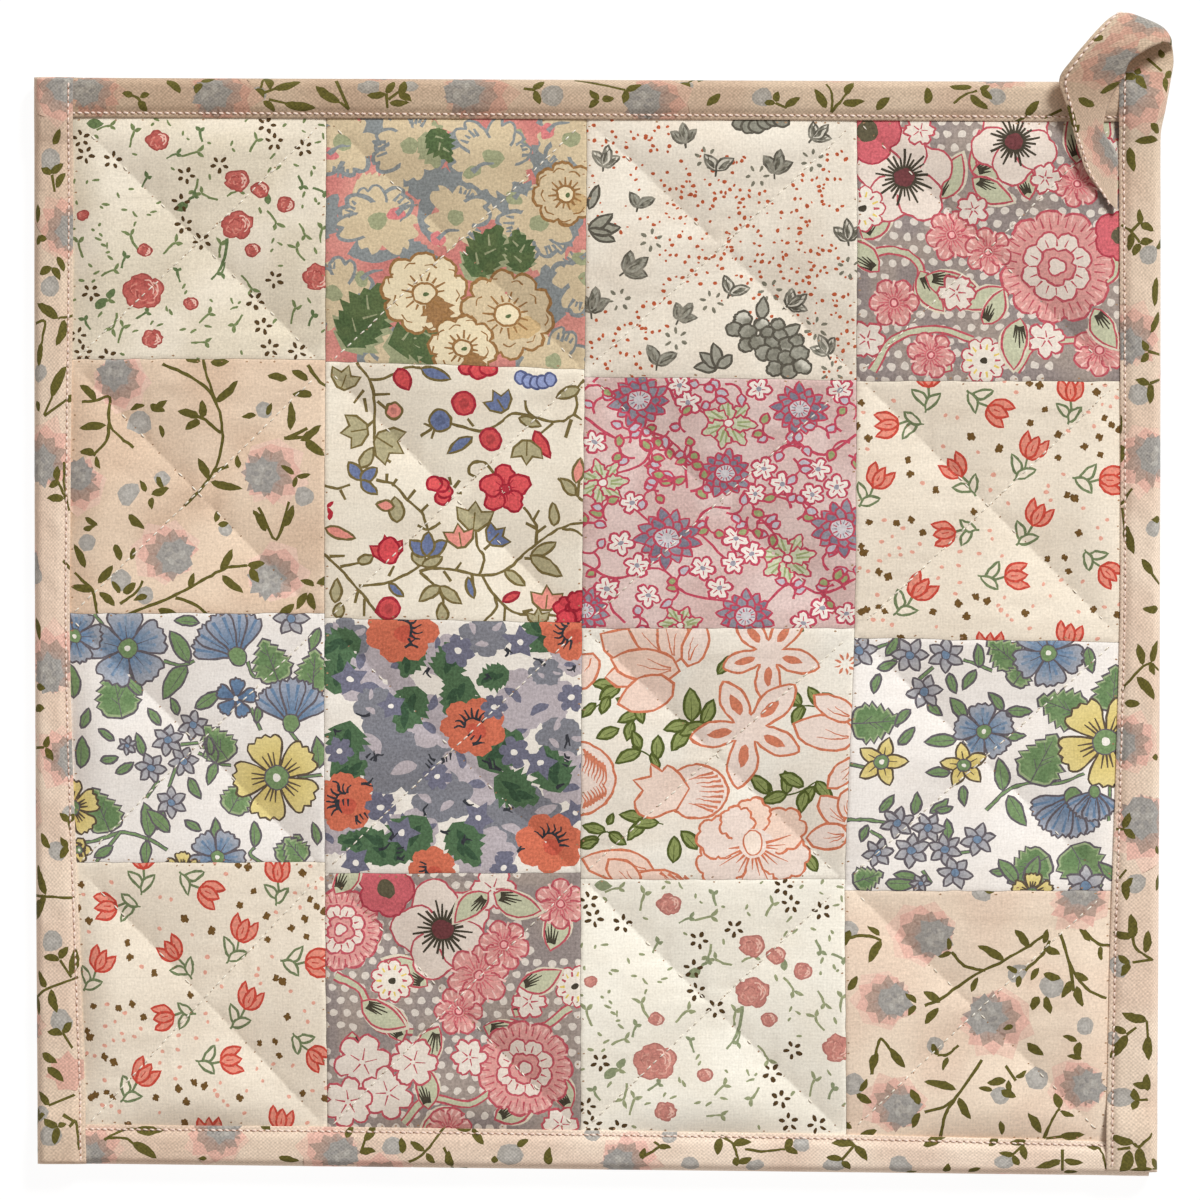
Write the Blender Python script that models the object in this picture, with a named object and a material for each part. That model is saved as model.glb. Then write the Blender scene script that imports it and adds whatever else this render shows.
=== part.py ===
"""Quilted pot holder: a padded panel of sixteen patches, quilted from corner to corner of each
patch, bound along its four sides, with a hanging loop at the top of the right-hand binding.

Metres, +Z up. The pot holder lies on its back in the XY plane with its top edge toward +Y, and the
origin is the middle of the panel's flat underside. The tables below are in millimetres.
"""

import math

import bmesh
import bpy
from mathutils import Vector

MM = 0.001

# Seams of the patchwork. The first and last of each list lie under the bindings' inner edges.
LONG_SEAMS = (  # x at the top, half way down, at the bottom
    (-101.9, -102.8, -99.3),
    (-52.7, -53.1, -52.4),
    (-2.0, -3.0, -3.3),
    (50.5, 50.1, 48.2),
    (101.3, 101.7, 98.9),
)
CROSS_SEAMS = (  # y at the left, y at the right
    (98.6, 97.7),
    (51.7, 46.6),
    (2.3, -3.4),
    (-46.0, -52.2),
    (-97.2, -100.7),
)
# Outer edges of the bindings: x of the sides at the top, middle and bottom, y of the others.
LEFT_EDGE, RIGHT_EDGE = (-109.6, -109.5, -108.9), (109.6, 109.5, 108.9)
TOP_EDGE, BOTTOM_EDGE = (106.4, 105.5), (-104.9, -107.4)

PATCHES = 4  # each way
CELLS = 8  # facets along a patch
WALL = 1.0  # thickness of a folded binding
GAP = 0.3  # between one piece and the next
EDGE_ROUND = 2.0  # radius of a binding's outer edge
MOST_ROUND = 0.45  # of the binding's height: the most that the radius may be
SHARP_ANGLE = math.radians(50)  # faces that meet at more than this are shaded apart

PANEL_EDGE_LOW, PANEL_EDGE_HIGH = 1.3, 3.9  # the panel where a binding grips it
BINDING_HIGH = 5.2
CORNER_STEP = 1.3  # a strip's underside is lifted by this where a side binding laps it
CORNER_LIFT = 0.1
CORNER_HIGH = 6.6  # top of a side binding where it laps another

STITCHED_HIGH = 4.3  # top of the panel along the quilting
CROWN = 2.6  # the puffs' rise above the quilting
CROWN_SPREAD = 0.14  # how much the puffs differ from each other
PUFF_TURNS = 2.1, 3.7  # radians from one puff to the next along the two diagonals
SEAM_DITCH = 0.4
SIDE_RISE = 0.16  # of a patch: how far the panel takes to rise beside a binding
CHANNEL = 0.5  # depth of the quilting on the underside
FLAT_MIDDLE = 0.3  # of a patch: the channels that cross at the origin fade out within this

LOOP_THICK, LOOP_CHAMFER = 1.2, 0.35
LOOP_STEPS = 4  # sections between two stations
LOOP_STATIONS = (  # left edge x, y, z, then right edge x, y, z
    (101.5, 105.8, 2.4, 110.6, 105.8, 2.4),  # leaves the right-hand binding
    (101.6, 109.5, 2.2, 111.9, 108.6, 2.3),
    (101.4, 114.0, 2.5, 111.6, 111.0, 2.7),
    (101.6, 117.2, 4.0, 111.2, 112.9, 4.2),  # curls over
    (101.8, 118.3, 6.6, 110.8, 113.8, 6.8),
    (100.4, 117.3, 9.0, 109.5, 112.7, 9.3),
    (96.6, 114.2, 10.0, 106.0, 111.0, 10.2),
    (92.2, 109.6, 9.9, 102.8, 108.8, 9.8),
    (89.4, 105.0, 9.0, 100.5, 106.2, 9.0),  # turns back toward the binding
    (90.2, 100.6, 7.7, 100.8, 102.0, 7.6),
    (92.2, 94.8, 6.5, 100.9, 95.5, 6.6),
    (94.6, 88.0, 6.5, 100.9, 88.0, 6.3),
    (99.3, 81.3, 5.9, 100.9, 80.4, 5.8),  # narrows to the point that is sewn down
)

COTTON = {  # colour, roughness
    "patchwork_cotton": ((0.80, 0.72, 0.64, 1.0), 0.9),
    "binding_cotton": ((0.78, 0.62, 0.50, 1.0), 0.9),
}


def clear_scene():
    for obj in list(bpy.data.objects):
        bpy.data.objects.remove(obj, do_unlink=True)


def cotton(name):
    """The Principled material of this name, made on first use."""
    found = bpy.data.materials.get(name)
    if found:
        return found
    colour, roughness = COTTON[name]
    material = bpy.data.materials.new(name)
    material.use_nodes = True
    shader = material.node_tree.nodes["Principled BSDF"]
    shader.inputs["Base Color"].default_value = colour
    shader.inputs["Roughness"].default_value = roughness
    shader.inputs["Metallic"].default_value = 0.0
    return material


def add_piece(collection, name, points, faces, material):
    """One closed mesh from points in millimetres, with its faces turned outward."""
    mesh = bpy.data.meshes.new(name)
    mesh.from_pydata([Vector(point) * MM for point in points], [], faces)
    shell = bmesh.new()
    shell.from_mesh(mesh)
    bmesh.ops.recalc_face_normals(shell, faces=shell.faces)
    shell.to_mesh(mesh)
    shell.free()
    mesh.materials.append(cotton(material))
    mesh.shade_smooth()
    mesh.set_sharp_from_angle(angle=SHARP_ANGLE)
    piece = bpy.data.objects.new(name, mesh)
    collection.objects.link(piece)


def through(ends, t):
    """The curve from ends[0] through ends[1] at t = 0.5 to ends[2]."""
    first, middle, last = ends
    return first * (1 - t) * (1 - 2 * t) + middle * 4 * t * (1 - t) + last * t * (2 * t - 1)


def moved(line, distance):
    return tuple(place + distance for place in line)


INSET = WALL + GAP
LONG_LINES = (moved(LEFT_EDGE, INSET),) + LONG_SEAMS + (moved(RIGHT_EDGE, -INSET),)
CROSS_LINES = (moved(TOP_EDGE, -INSET),) + CROSS_SEAMS + (moved(BOTTOM_EDGE, INSET),)


def plan(across, down):
    """Place of a lattice point. A step of 1 is a patch, from 0 to PATCHES both ways, and -1 and
    PATCHES + 1 are the panel's own edges inside the bindings."""
    column = min(math.floor(across), PATCHES)
    row = min(math.floor(down), PATCHES)
    down_share = (down + 1) / (PATCHES + 2)
    across_share = (across + 1) / (PATCHES + 2)
    left, right = (through(LONG_LINES[column + 1 + side], down_share) for side in (0, 1))
    above, below = (
        line[0] + (line[1] - line[0]) * across_share
        for line in (CROSS_LINES[row + 1], CROSS_LINES[row + 2])
    )
    x = left + (right - left) * (across - column)
    y = above + (below - above) * (down - row)
    return x, y


def stops(finest):
    """Lattice steps from edge to edge of the panel, with a coarse border under each binding."""
    inner = [step / finest for step in range(PATCHES * finest + 1)]
    return [-1, -0.5] + inner + [PATCHES + 0.5, PATCHES + 1]


def inside(step):
    """How far a lattice step lies inside the bindings, negative under them."""
    return min(step, PATCHES - step)


def at_corner(across, down):
    """1 where one binding laps another, falling to 0 one facet further in."""
    shares = (1 - max(0, inside(step)) * CELLS for step in (across, down))
    return max(0, next(shares)) * max(0, next(shares))


def under_binding(across, down):
    return min(inside(across), inside(down)) <= 0


def panel_top(across, down):
    if under_binding(across, down):
        return PANEL_EDGE_HIGH + CORNER_LIFT * at_corner(across, down)
    rise = min(1, min(inside(across), inside(down)) / SIDE_RISE)
    rise *= 2 - rise
    lines = math.sin(math.pi * (across - down)) * math.sin(math.pi * (across + down))
    # A puff is the square on its corner between four quilting lines.
    falling, rising = math.floor(across - down), math.floor(across + down)
    lively = 1 + CROWN_SPREAD * math.sin(PUFF_TURNS[0] * falling + PUFF_TURNS[1] * rising)
    crown = CROWN * lively * math.sqrt(abs(lines))
    on_seam = across == math.floor(across) or down == math.floor(down)
    stitched = STITCHED_HIGH - PANEL_EDGE_HIGH
    ditch = SEAM_DITCH if on_seam and crown > SEAM_DITCH else 0
    return PANEL_EDGE_HIGH + (stitched + crown - ditch) * rise


def panel_underside(across, down):
    if under_binding(across, down):
        return PANEL_EDGE_LOW + CORNER_STEP * at_corner(across, down)
    cells = round(across * CELLS), round(down * CELLS)
    quilted = (cells[0] - cells[1]) % CELLS == 0 or (cells[0] + cells[1]) % CELLS == 0
    near_middle = max(abs(across - PATCHES / 2), abs(down - PATCHES / 2)) < FLAT_MIDDLE
    return CHANNEL if quilted and not near_middle else 0


def make_panel(collection):
    """Two height fields over one grid, joined round the edge. Each cell is cut along the diagonal
    that a quilting line would follow, so that the channels run straight."""
    steps = stops(CELLS)
    count = len(steps)
    points, faces = [], []
    for height in (panel_top, panel_underside):
        for down in steps:
            for across in steps:
                points.append((*plan(across, down), height(across, down)))
    for row in range(count - 1):
        for column in range(count - 1):
            top_left = row * count + column
            a, b, c, d = top_left, top_left + count, top_left + count + 1, top_left + 1
            falls = (round((steps[column] % 1) * CELLS) < CELLS / 2) == (
                round((steps[row] % 1) * CELLS) < CELLS / 2
            )
            cut = ((a, b, c), (a, c, d)) if falls else ((a, b, d), (b, c, d))
            under = count * count
            for face in cut:
                faces.append(face)
                faces.append(tuple(under + corner for corner in reversed(face)))
    last = count - 1
    rim = [column for column in range(last)]
    rim += [row * count + last for row in range(last)]
    rim += [last * count + column for column in range(last, 0, -1)]
    rim += [row * count for row in range(last, 0, -1)]
    for here, following in zip(rim, rim[1:] + rim[:1]):
        faces.append((here, following, following + count * count, here + count * count))
    add_piece(collection, "quilted_panel", points, faces, "patchwork_cotton")


def binding_section(width, low, high):
    """A U on its side, as distance from the inner edge and height. Its back is rounded."""
    turn = min(EDGE_ROUND, MOST_ROUND * (high - low))
    corner = turn * (1 - math.sqrt(0.5))
    return (
        (0, low),
        (width - turn, low),
        (width - corner, low + corner),
        (width, low + turn),
        (width, high - turn),
        (width - corner, high - corner),
        (width - turn, high),
        (0, high),
        (0, high - WALL),
        (width - WALL, high - WALL),
        (width - WALL, low + WALL),
        (0, low + WALL),
    )


def loft(rings):
    """Faces between rings of as many points each, with both ends capped."""
    size = len(rings[0])
    points = [point for ring in rings for point in ring]
    faces = [tuple(range(size))]
    for ring in range(len(rings) - 1):
        for corner in range(size):
            following = (corner + 1) % size
            near, far = ring * size, (ring + 1) * size
            faces.append((near + corner, far + corner, far + following, near + following))
    faces.append(tuple(reversed(range(len(points) - size, len(points)))))
    return points, faces


def make_binding(collection, name, stations):
    """stations: inner x and y, outer x and y, lowest and highest z of the strip there."""
    rings = []
    for inner, outer, low, high in stations:
        inner, outer = Vector(inner), Vector(outer)
        width = (outer - inner).length
        rings.append(
            [(*inner.lerp(outer, out / width), z) for out, z in binding_section(width, low, high)]
        )
    points, faces = loft(rings)
    add_piece(collection, name, points, faces, "binding_cotton")


def make_end_binding(collection, name, inner_row, outer_row, outward):
    """The strip along the top or bottom edge, whose ends lie inside the side bindings."""
    one_facet = 1 / CELLS
    steps = [-1, 0, one_facet, 1, 2, 3, PATCHES - one_facet, PATCHES, PATCHES + 1]
    stations = []
    for across in steps:
        x, y = plan(across, outer_row)
        lapped = inside(across) <= 0
        low = CORNER_STEP if lapped else 0
        high = BINDING_HIGH + (CORNER_LIFT if lapped else 0)
        stations.append((plan(across, inner_row), (x, y + outward * INSET), low, high))
    make_binding(collection, name, stations)


def make_side_binding(collection, name, inner_column, outer_column, outward):
    """The strip along the left or right edge, which laps the ends of the other two."""
    one_facet = 1 / CELLS
    halves = [step / 2 for step in range(1, 2 * PATCHES)]
    steps = [-1, 0, one_facet] + halves + [PATCHES - one_facet, PATCHES, PATCHES + 1]
    stations = []
    for down in steps:
        past_end = INSET if down == -1 else -INSET if down == PATCHES + 1 else 0
        (inner_x, inner_y), (x, y) = plan(inner_column, down), plan(outer_column, down)
        high = CORNER_HIGH if inside(down) <= 0 else BINDING_HIGH
        inner = inner_x, inner_y + past_end
        outer = x + outward * INSET, y + past_end
        stations.append((inner, outer, 0, high))
    make_binding(collection, name, stations)


def smooth_line(points, steps):
    """Points on the Catmull-Rom curve through the given ones."""
    line = []
    padded = [points[0]] + list(points) + [points[-1]]
    for before, start, end, after in zip(padded, padded[1:], padded[2:], padded[3:]):
        for step in range(steps):
            t = step / steps
            line.append(
                0.5
                * (
                    2 * start
                    + (end - before) * t
                    + (2 * before - 5 * start + 4 * end - after) * t**2
                    + (3 * start - before - 3 * end + after) * t**3
                )
            )
    return line + [points[-1]]


def ribbon_section(half_width):
    """Distance along the strip's width and through its thickness, with small chamfers."""
    half, cut = LOOP_THICK / 2, LOOP_CHAMFER
    return (
        (-half_width + cut, -half),
        (half_width - cut, -half),
        (half_width, -half + cut),
        (half_width, half - cut),
        (half_width - cut, half),
        (-half_width + cut, half),
        (-half_width, half - cut),
        (-half_width, -half + cut),
    )


def make_loop(collection):
    """The folded strip that carries on past the right-hand binding, curls over toward the top face
    and comes back down to be sewn beside that binding."""
    left = smooth_line([Vector(row[:3]) for row in LOOP_STATIONS], LOOP_STEPS)
    right = smooth_line([Vector(row[3:]) for row in LOOP_STATIONS], LOOP_STEPS)
    middle = [(a + b) / 2 for a, b in zip(left, right)]
    rings = []
    for index, (a, b) in enumerate(zip(left, right)):
        onward = middle[min(index + 1, len(middle) - 1)] - middle[max(index - 1, 0)]
        across = (b - a).normalized()
        up = across.cross(onward).normalized()
        section = ribbon_section((b - a).length / 2)
        rings.append([middle[index] + across * along + up * out for along, out in section])
    points, faces = loft(rings)
    add_piece(collection, "hanging_loop", points, faces, "binding_cotton")


def main():
    clear_scene()
    collection = bpy.data.collections.new("quilted_pot_holder")
    bpy.context.scene.collection.children.link(collection)
    make_panel(collection)
    make_end_binding(collection, "binding_top", 0, -1, outward=1)
    make_end_binding(collection, "binding_bottom", PATCHES, PATCHES + 1, outward=-1)
    make_side_binding(collection, "binding_left", 0, -1, outward=-1)
    make_side_binding(collection, "binding_right", PATCHES, PATCHES + 1, outward=1)
    make_loop(collection)


main()
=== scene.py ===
"""Looks of the quilted pot holder: sixteen printed cotton patches over a padded back, quilted from
corner to corner of each patch, bound in a printed cotton strip that runs on into a hanging loop.

Lengths in this script are in millimetres, with +Y toward the top edge, until a mesh is made.
Prints are laid out on each patch in hundredths of its width and height, from its top left.
"""

import math

import bpy
import numpy as np
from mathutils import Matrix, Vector
from mathutils.geometry import delaunay_2d_cdt


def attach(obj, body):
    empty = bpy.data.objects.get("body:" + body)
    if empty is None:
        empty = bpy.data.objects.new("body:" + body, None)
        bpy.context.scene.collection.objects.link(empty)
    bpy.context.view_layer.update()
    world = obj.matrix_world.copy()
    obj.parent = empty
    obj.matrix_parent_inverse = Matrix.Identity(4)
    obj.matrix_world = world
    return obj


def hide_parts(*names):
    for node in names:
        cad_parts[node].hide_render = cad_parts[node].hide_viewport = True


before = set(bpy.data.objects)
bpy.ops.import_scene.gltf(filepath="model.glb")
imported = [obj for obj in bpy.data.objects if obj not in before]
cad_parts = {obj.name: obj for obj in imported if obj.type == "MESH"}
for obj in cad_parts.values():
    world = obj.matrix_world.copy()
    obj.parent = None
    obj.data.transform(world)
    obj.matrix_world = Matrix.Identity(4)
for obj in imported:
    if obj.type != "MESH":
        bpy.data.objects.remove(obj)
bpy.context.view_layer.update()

MM = 0.001

# ---------------------------------------------------------------- layout of the patchwork

PATCHES = 4
SEAM_X = (  # x of each long seam where the five cross seams meet it, from the top
    (-101.9, -102.2, -102.8, -101.3, -99.3),
    (-52.7, -52.9, -53.1, -53.0, -52.4),
    (-2.0, -2.5, -3.0, -3.3, -3.3),
    (50.5, 50.4, 50.1, 48.0, 48.4),
    (101.3, 101.7, 101.7, 100.1, 98.9),
)
SEAM_STATIONS = (-98.0, -49.0, 1.0, 49.0, 99.0)  # minus y of those five places
CROSS_SEAMS = (  # y at the left and right end of each cross seam, in each of the four columns
    ((98.6, 98.4), (98.4, 98.2), (98.2, 98.0), (98.0, 97.7)),
    ((51.5, 51.5), (51.1, 49.5), (48.1, 47.4), (47.2, 47.2)),
    ((2.1, 2.1), (1.2, 0.3), (-0.8, -0.8), (-2.7, -3.5)),
    ((-46.3, -46.3), (-48.4, -48.4), (-49.6, -49.6), (-51.8, -51.8)),
    ((-97.3, -97.7), (-97.9, -98.4), (-98.6, -99.2), (-100.0, -100.6)),
)
CROSS_LINES = ((98.6, 97.7), (51.7, 46.6), (2.3, -3.4), (-46.0, -52.2), (-97.2, -100.7))
PITCH = 50.3  # of the patches, on average
DIAGONAL = PITCH / math.sqrt(2)  # from one quilting line to the next
LONG_STRAY, CROSS_STRAY, STRAY_SIZE = 0.1, 0.14, 2.6  # how far the seams stray, and over how long
NOISE_ROW = 9.0  # between the rows of a noise that different seams follow
UNDER_BINDING = 3.0  # how far a patch runs on under a binding

# Outer edges of the bindings, at the two ends and half way
LEFT_EDGE, RIGHT_EDGE = (-109.6, -109.5, -108.9), (109.6, 109.5, 108.9)
TOP_EDGE, BOTTOM_EDGE = (106.4, 105.95, 105.5), (-104.9, -106.15, -107.4)

# ---------------------------------------------------------------- heights

EDGE_HIGH = 3.9  # the panel where a binding grips it
STITCHED_HIGH = 4.3
CROWN, CROWN_SPREAD = 2.2, 0.14  # of a puff, and how much it differs from puff to puff
PUFF_TURNS = 2.1, 3.7
PUCKER_HIGH, PUCKER_SLANT, PUCKER_REACH = 0.12, 0.9, 5.0
SLACK_HIGH, SLACK_SIZE = 0.22, 13.0  # of the cloth's broadest unevenness
WRINKLES = ((4, 8, 0.13), (5, 75, 0.09), (6, -35, 0.08))  # seed, the way they run, height
WRINKLE_LONG, WRINKLE_SIZE, DRIFT_SIZE = 3.2, 2.9, 17.0  # length in sizes, width, and of a drift
SIDE_RISE = 0.16  # of a patch: the rise beside a binding
COTTON_THICK = 0.45

STRIP_GIRTH = 21.0  # of the binding cotton, from its inner edge round the outer edge and back
TOPSTITCH_IN, TOPSTITCH_START = 0.95, 0.4  # from the strip's edge, and from its end
TOPSTITCH_PERIOD, TOPSTITCH_LENGTH = 1.32, 0.98

GRID = 0.72  # spacing of a cloth's own points between the outlines of its print
REVERSE_COARSER = 4  # times that spacing, on the side that isn't seen
NORMAL_STEP = 0.05


def noise(x, y, size, seed):
    """Smooth noise from -1 to 1 whose bumps are about `size` across."""
    count = 64
    table = np.random.default_rng(seed).uniform(-1, 1, (count, count))
    fx, fy = np.asarray(x, float) / size, np.asarray(y, float) / size
    ix, iy = np.floor(fx).astype(int), np.floor(fy).astype(int)
    tx, ty = fx - ix, fy - iy
    tx, ty = tx * tx * (3 - 2 * tx), ty * ty * (3 - 2 * ty)
    ix, iy, jx, jy = ix % count, iy % count, (ix + 1) % count, (iy + 1) % count
    near = table[ix, iy] * (1 - tx) + table[jx, iy] * tx
    far = table[ix, jy] * (1 - tx) + table[jx, jy] * tx
    return near * (1 - ty) + far * ty


def smooth_step(x):
    x = np.clip(x, 0, 1)
    return x * x * (3 - 2 * x)


def unit(vectors):
    """The same directions at length 1."""
    return vectors / np.maximum(np.linalg.norm(vectors, axis=1), 1e-12)[:, None]


def beside(vectors):
    """Vectors in the plane, turned through a right angle."""
    return np.stack((-vectors[:, 1], vectors[:, 0]), axis=1)


def through(ends, t):
    """The curve from ends[0] through ends[1] at t = 0.5 to ends[2]."""
    first, middle, last = ends
    return first * (1 - t) * (1 - 2 * t) + middle * 4 * t * (1 - t) + last * t * (2 * t - 1)


def seam_x(seam, y):
    """x of a long seam at height y, on a smooth curve through its table and a little unsteady."""
    past, samples, window = 12, 120, 13
    fine = np.linspace(SEAM_STATIONS[0] - past, SEAM_STATIONS[-1] + past, samples)
    line = np.interp(fine, SEAM_STATIONS, SEAM_X[seam])
    padded = np.pad(line, window // 2, mode="edge")
    soft = np.convolve(padded, np.ones(window) / window, mode="valid")
    stray = LONG_STRAY * noise(y, NOISE_ROW * seam, STRAY_SIZE, 31)
    return np.interp(-np.asarray(y, float), fine, soft) + stray


def cross_y(seam, column, u):
    """y of a cross seam at the share u of the way across one column."""
    left, right = CROSS_SEAMS[seam][column]
    stray = CROSS_STRAY * noise((column + u) * PITCH, NOISE_ROW * seam, STRAY_SIZE, 32)
    return left + (right - left) * u + stray


def cross_lines(across):
    """y of the five cross seams, taken as straight lines, at a place counted in patches."""
    share = (across + 1) / (PATCHES + 2)
    return [start + (end - start) * share for start, end in CROSS_LINES]


def from_edge(across, down):
    """How far inside the panel's nearest side a place is, counted in patches."""
    return np.minimum(np.minimum(across, PATCHES - across), np.minimum(down, PATCHES - down))


def lattice(x, y):
    """Place of a point counted in patches, across from the first long seam and down from the
    first cross seam."""
    x, y = np.asarray(x, float), np.asarray(y, float)
    longs = [seam_x(seam, y) for seam in range(PATCHES + 1)]
    cell = sum((x >= longs[seam]).astype(int) for seam in range(1, PATCHES))
    left, right = np.choose(cell, longs[:-1]), np.choose(cell, longs[1:])
    across = cell + (x - left) / (right - left)
    rows = cross_lines(across)
    cell = sum((y <= rows[seam]).astype(int) for seam in range(1, PATCHES))
    above, below = np.choose(cell, rows[:-1]), np.choose(cell, rows[1:])
    return across, cell + (above - y) / (above - below)


def from_lattice(across, down):
    """x and y of a place counted in patches."""
    across, down = np.asarray(across, float), np.asarray(down, float)
    rows = cross_lines(across)
    cell = np.clip(np.floor(down), 0, PATCHES - 1).astype(int)
    above, below = np.choose(cell, rows[:-1]), np.choose(cell, rows[1:])
    y = above + (below - above) * (down - cell)
    longs = [seam_x(seam, y) for seam in range(PATCHES + 1)]
    cell = np.clip(np.floor(across), 0, PATCHES - 1).astype(int)
    left, right = np.choose(cell, longs[:-1]), np.choose(cell, longs[1:])
    return left + (right - left) * (across - cell), y


def puckers(across, down):
    """Small gathers square to the quilting lines, dying away from each line."""
    total = 0
    for seed, place, run in ((11, across - down, across + down), (12, across + down, across - down)):
        line = np.round(place)
        far = np.abs(place - line) * DIAGONAL
        run = run * DIAGONAL + far * PUCKER_SLANT
        wave = noise(run + 37 * line, line * NOISE_ROW, 2.4, seed)
        wave = wave + 0.9 * noise(run + 11 * line, line * 7.0, 5.5, seed + 5)
        total = total + PUCKER_HIGH * wave * np.exp(-far / PUCKER_REACH)
    return total


def wrinkles(x, y):
    """Faint long wrinkles in the slack cloth, in drifts that run several ways."""
    total = SLACK_HIGH * noise(x, y, SLACK_SIZE, 3)
    for seed, turn, high in WRINKLES:
        angle = math.radians(turn)
        along = x * math.cos(angle) + y * math.sin(angle)
        across = y * math.cos(angle) - x * math.sin(angle)
        drift = np.clip(0.35 + noise(x, y, DRIFT_SIZE, seed + 40), 0, 1)
        total = total + high * drift * noise(along / WRINKLE_LONG, across, WRINKLE_SIZE, seed)
    return total


def relief(x, y):
    """Height of the quilted top at a place: a soft pillow between every four quilting lines."""
    across, down = lattice(x, y)
    slopes = []
    for place in (across - down, across + down):
        far = 2 * np.abs(place - np.round(place))
        slopes.append(1 - (1 - far) ** 2 + 1e-6)
    first, second = slopes
    pillow = first * second / (first + second - first * second)
    puff = PUFF_TURNS[0] * np.floor(across - down) + PUFF_TURNS[1] * np.floor(across + down)
    crown = CROWN * (1 + CROWN_SPREAD * np.sin(puff)) * pillow
    rise = np.clip(from_edge(across, down) / SIDE_RISE, 0, 1)
    rise = rise * (2 - rise)
    loose = puckers(across, down) + wrinkles(x, y)
    return EDGE_HIGH + (STITCHED_HIGH - EDGE_HIGH + crown + loose) * rise


# ---------------------------------------------------------------- colour of the prints


def linear(colour):
    """Linear light of an everyday colour whose parts go from 0 to 255."""
    part = np.asarray(colour, float) / 255
    return np.where(part <= 0.04045, part / 12.92, ((part + 0.055) / 1.055) ** 2.4)


def fade(x, y, inner, outer, radius, start=0.0):
    """A colour that goes from `inner` at a place to `outer` at `radius` from it."""

    def colour(points):
        far = np.hypot(points[:, 0] - x, points[:, 1] - y)
        share = smooth_step((far / radius - start) / (1 - start))[:, None]
        return linear(inner) * (1 - share) + linear(outer) * share

    return colour


def brushed(first, second, size, seed, stretch=1.0, turn=0.0):
    """Two colours mixed in patches about `size` across, drawn out along a direction."""
    cos, sin = math.cos(math.radians(turn)), math.sin(math.radians(turn))

    def colour(points):
        along = points[:, 0] * cos - points[:, 1] * sin
        aside = points[:, 0] * sin + points[:, 1] * cos
        share = smooth_step(0.5 + 0.9 * noise(along / stretch, aside, size, seed))[:, None]
        return linear(first) * (1 - share) + linear(second) * share

    return colour


def painted(colour, points):
    if callable(colour):
        return colour(points)
    return np.tile(linear(colour), (len(points), 1))


# ---------------------------------------------------------------- shapes of the prints


def heading(turn):
    """Unit vector at `turn` degrees, anticlockwise from the right, on a print whose y runs down."""
    return np.array((math.cos(math.radians(turn)), -math.sin(math.radians(turn))))


def polar(centre, turn, far):
    """The place at a distance from a centre, the way `turn` points."""
    return np.asarray(centre) + heading(turn) * far


def laid_along(foot, turn, along, aside):
    """Points at distances along the way `turn` points, and beside it, from a foot."""
    onward = heading(turn)
    over = np.array((-onward[1], onward[0]))
    return np.array(foot) + along[:, None] * onward + aside[:, None] * over


def curve(points, steps=5):
    """Points on the Catmull-Rom curve through the given ones."""
    points = np.asarray(points, float)
    if len(points) < 3:
        return points
    padded = np.vstack((2 * points[0] - points[1], points, 2 * points[-1] - points[-2]))
    line = []
    for before, start, end, after in zip(padded, padded[1:], padded[2:], padded[3:]):
        for t in np.arange(steps) / steps:
            square = (2 * before - 5 * start + 4 * end - after) * t**2
            cube = (3 * start - before - 3 * end + after) * t**3
            line.append(0.5 * (2 * start + (end - before) * t + square + cube))
    return np.array(line + [points[-1]])


def stroke(points, width, tip=None, steps=5):
    """Outline of a brush stroke along a curve. Its width runs from `width` to `tip`."""
    line = curve(points, steps)
    aside = beside(unit(np.gradient(line, axis=0)))
    half = np.linspace(width, width if tip is None else tip, len(line))[:, None] / 2
    return np.vstack((line + aside * half, (line - aside * half)[::-1]))


def blob(x, y, wide, high, turn=0.0, rough=0.0, seed=0, count=None):
    """Outline of a spot, round where `rough` is 0."""
    count = count or max(7, int(3.2 * math.sqrt(wide * high) / 0.35) + 5)
    angle = np.arange(count) * 2 * math.pi / count
    rng = np.random.default_rng(seed)
    radius = np.ones(count)
    for lobes in (2, 3, 5):
        radius += rough * rng.uniform(-1, 1) / lobes * np.cos(lobes * angle + rng.uniform(0, 6.3))
        radius += 0.5 * rough * rng.uniform(-0.4, 0.4, count) / lobes
    along, aside = np.cos(angle) * wide / 2 * radius, np.sin(angle) * high / 2 * radius
    return laid_along((x, y), turn, along, aside)


def leaf(x, y, length, width, turn, bend=0.0, blunt=0.0):
    """Outline of a leaf or petal from its foot at a place, with a pointed or blunt tip."""
    t = np.linspace(0, 1, 6 if length < 2.5 else 9)
    half = width / 2 * np.sin(math.pi * t**0.85) ** (0.8 - 0.25 * blunt)
    half[-1] = blunt * width * 0.12
    spine = bend * length * t * (1 - t) * 2
    along = np.append(t, t[::-1][1:-1]) * length
    return laid_along((x, y), turn, along, np.append(spine + half, (spine - half)[::-1][1:-1]))


def grown(outline, distance):
    """An outline moved outward by a distance, or inward where it is negative."""
    normal = -beside(unit(np.roll(outline, -1, axis=0) - np.roll(outline, 1, axis=0)))
    x, y = outline[:, 0], outline[:, 1]
    area = np.sum(x * np.roll(y, -1) - y * np.roll(x, -1))
    return outline + normal * (distance if area > 0 else -distance)


UNEVEN = 0.15  # how far the printed outlines stray


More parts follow.
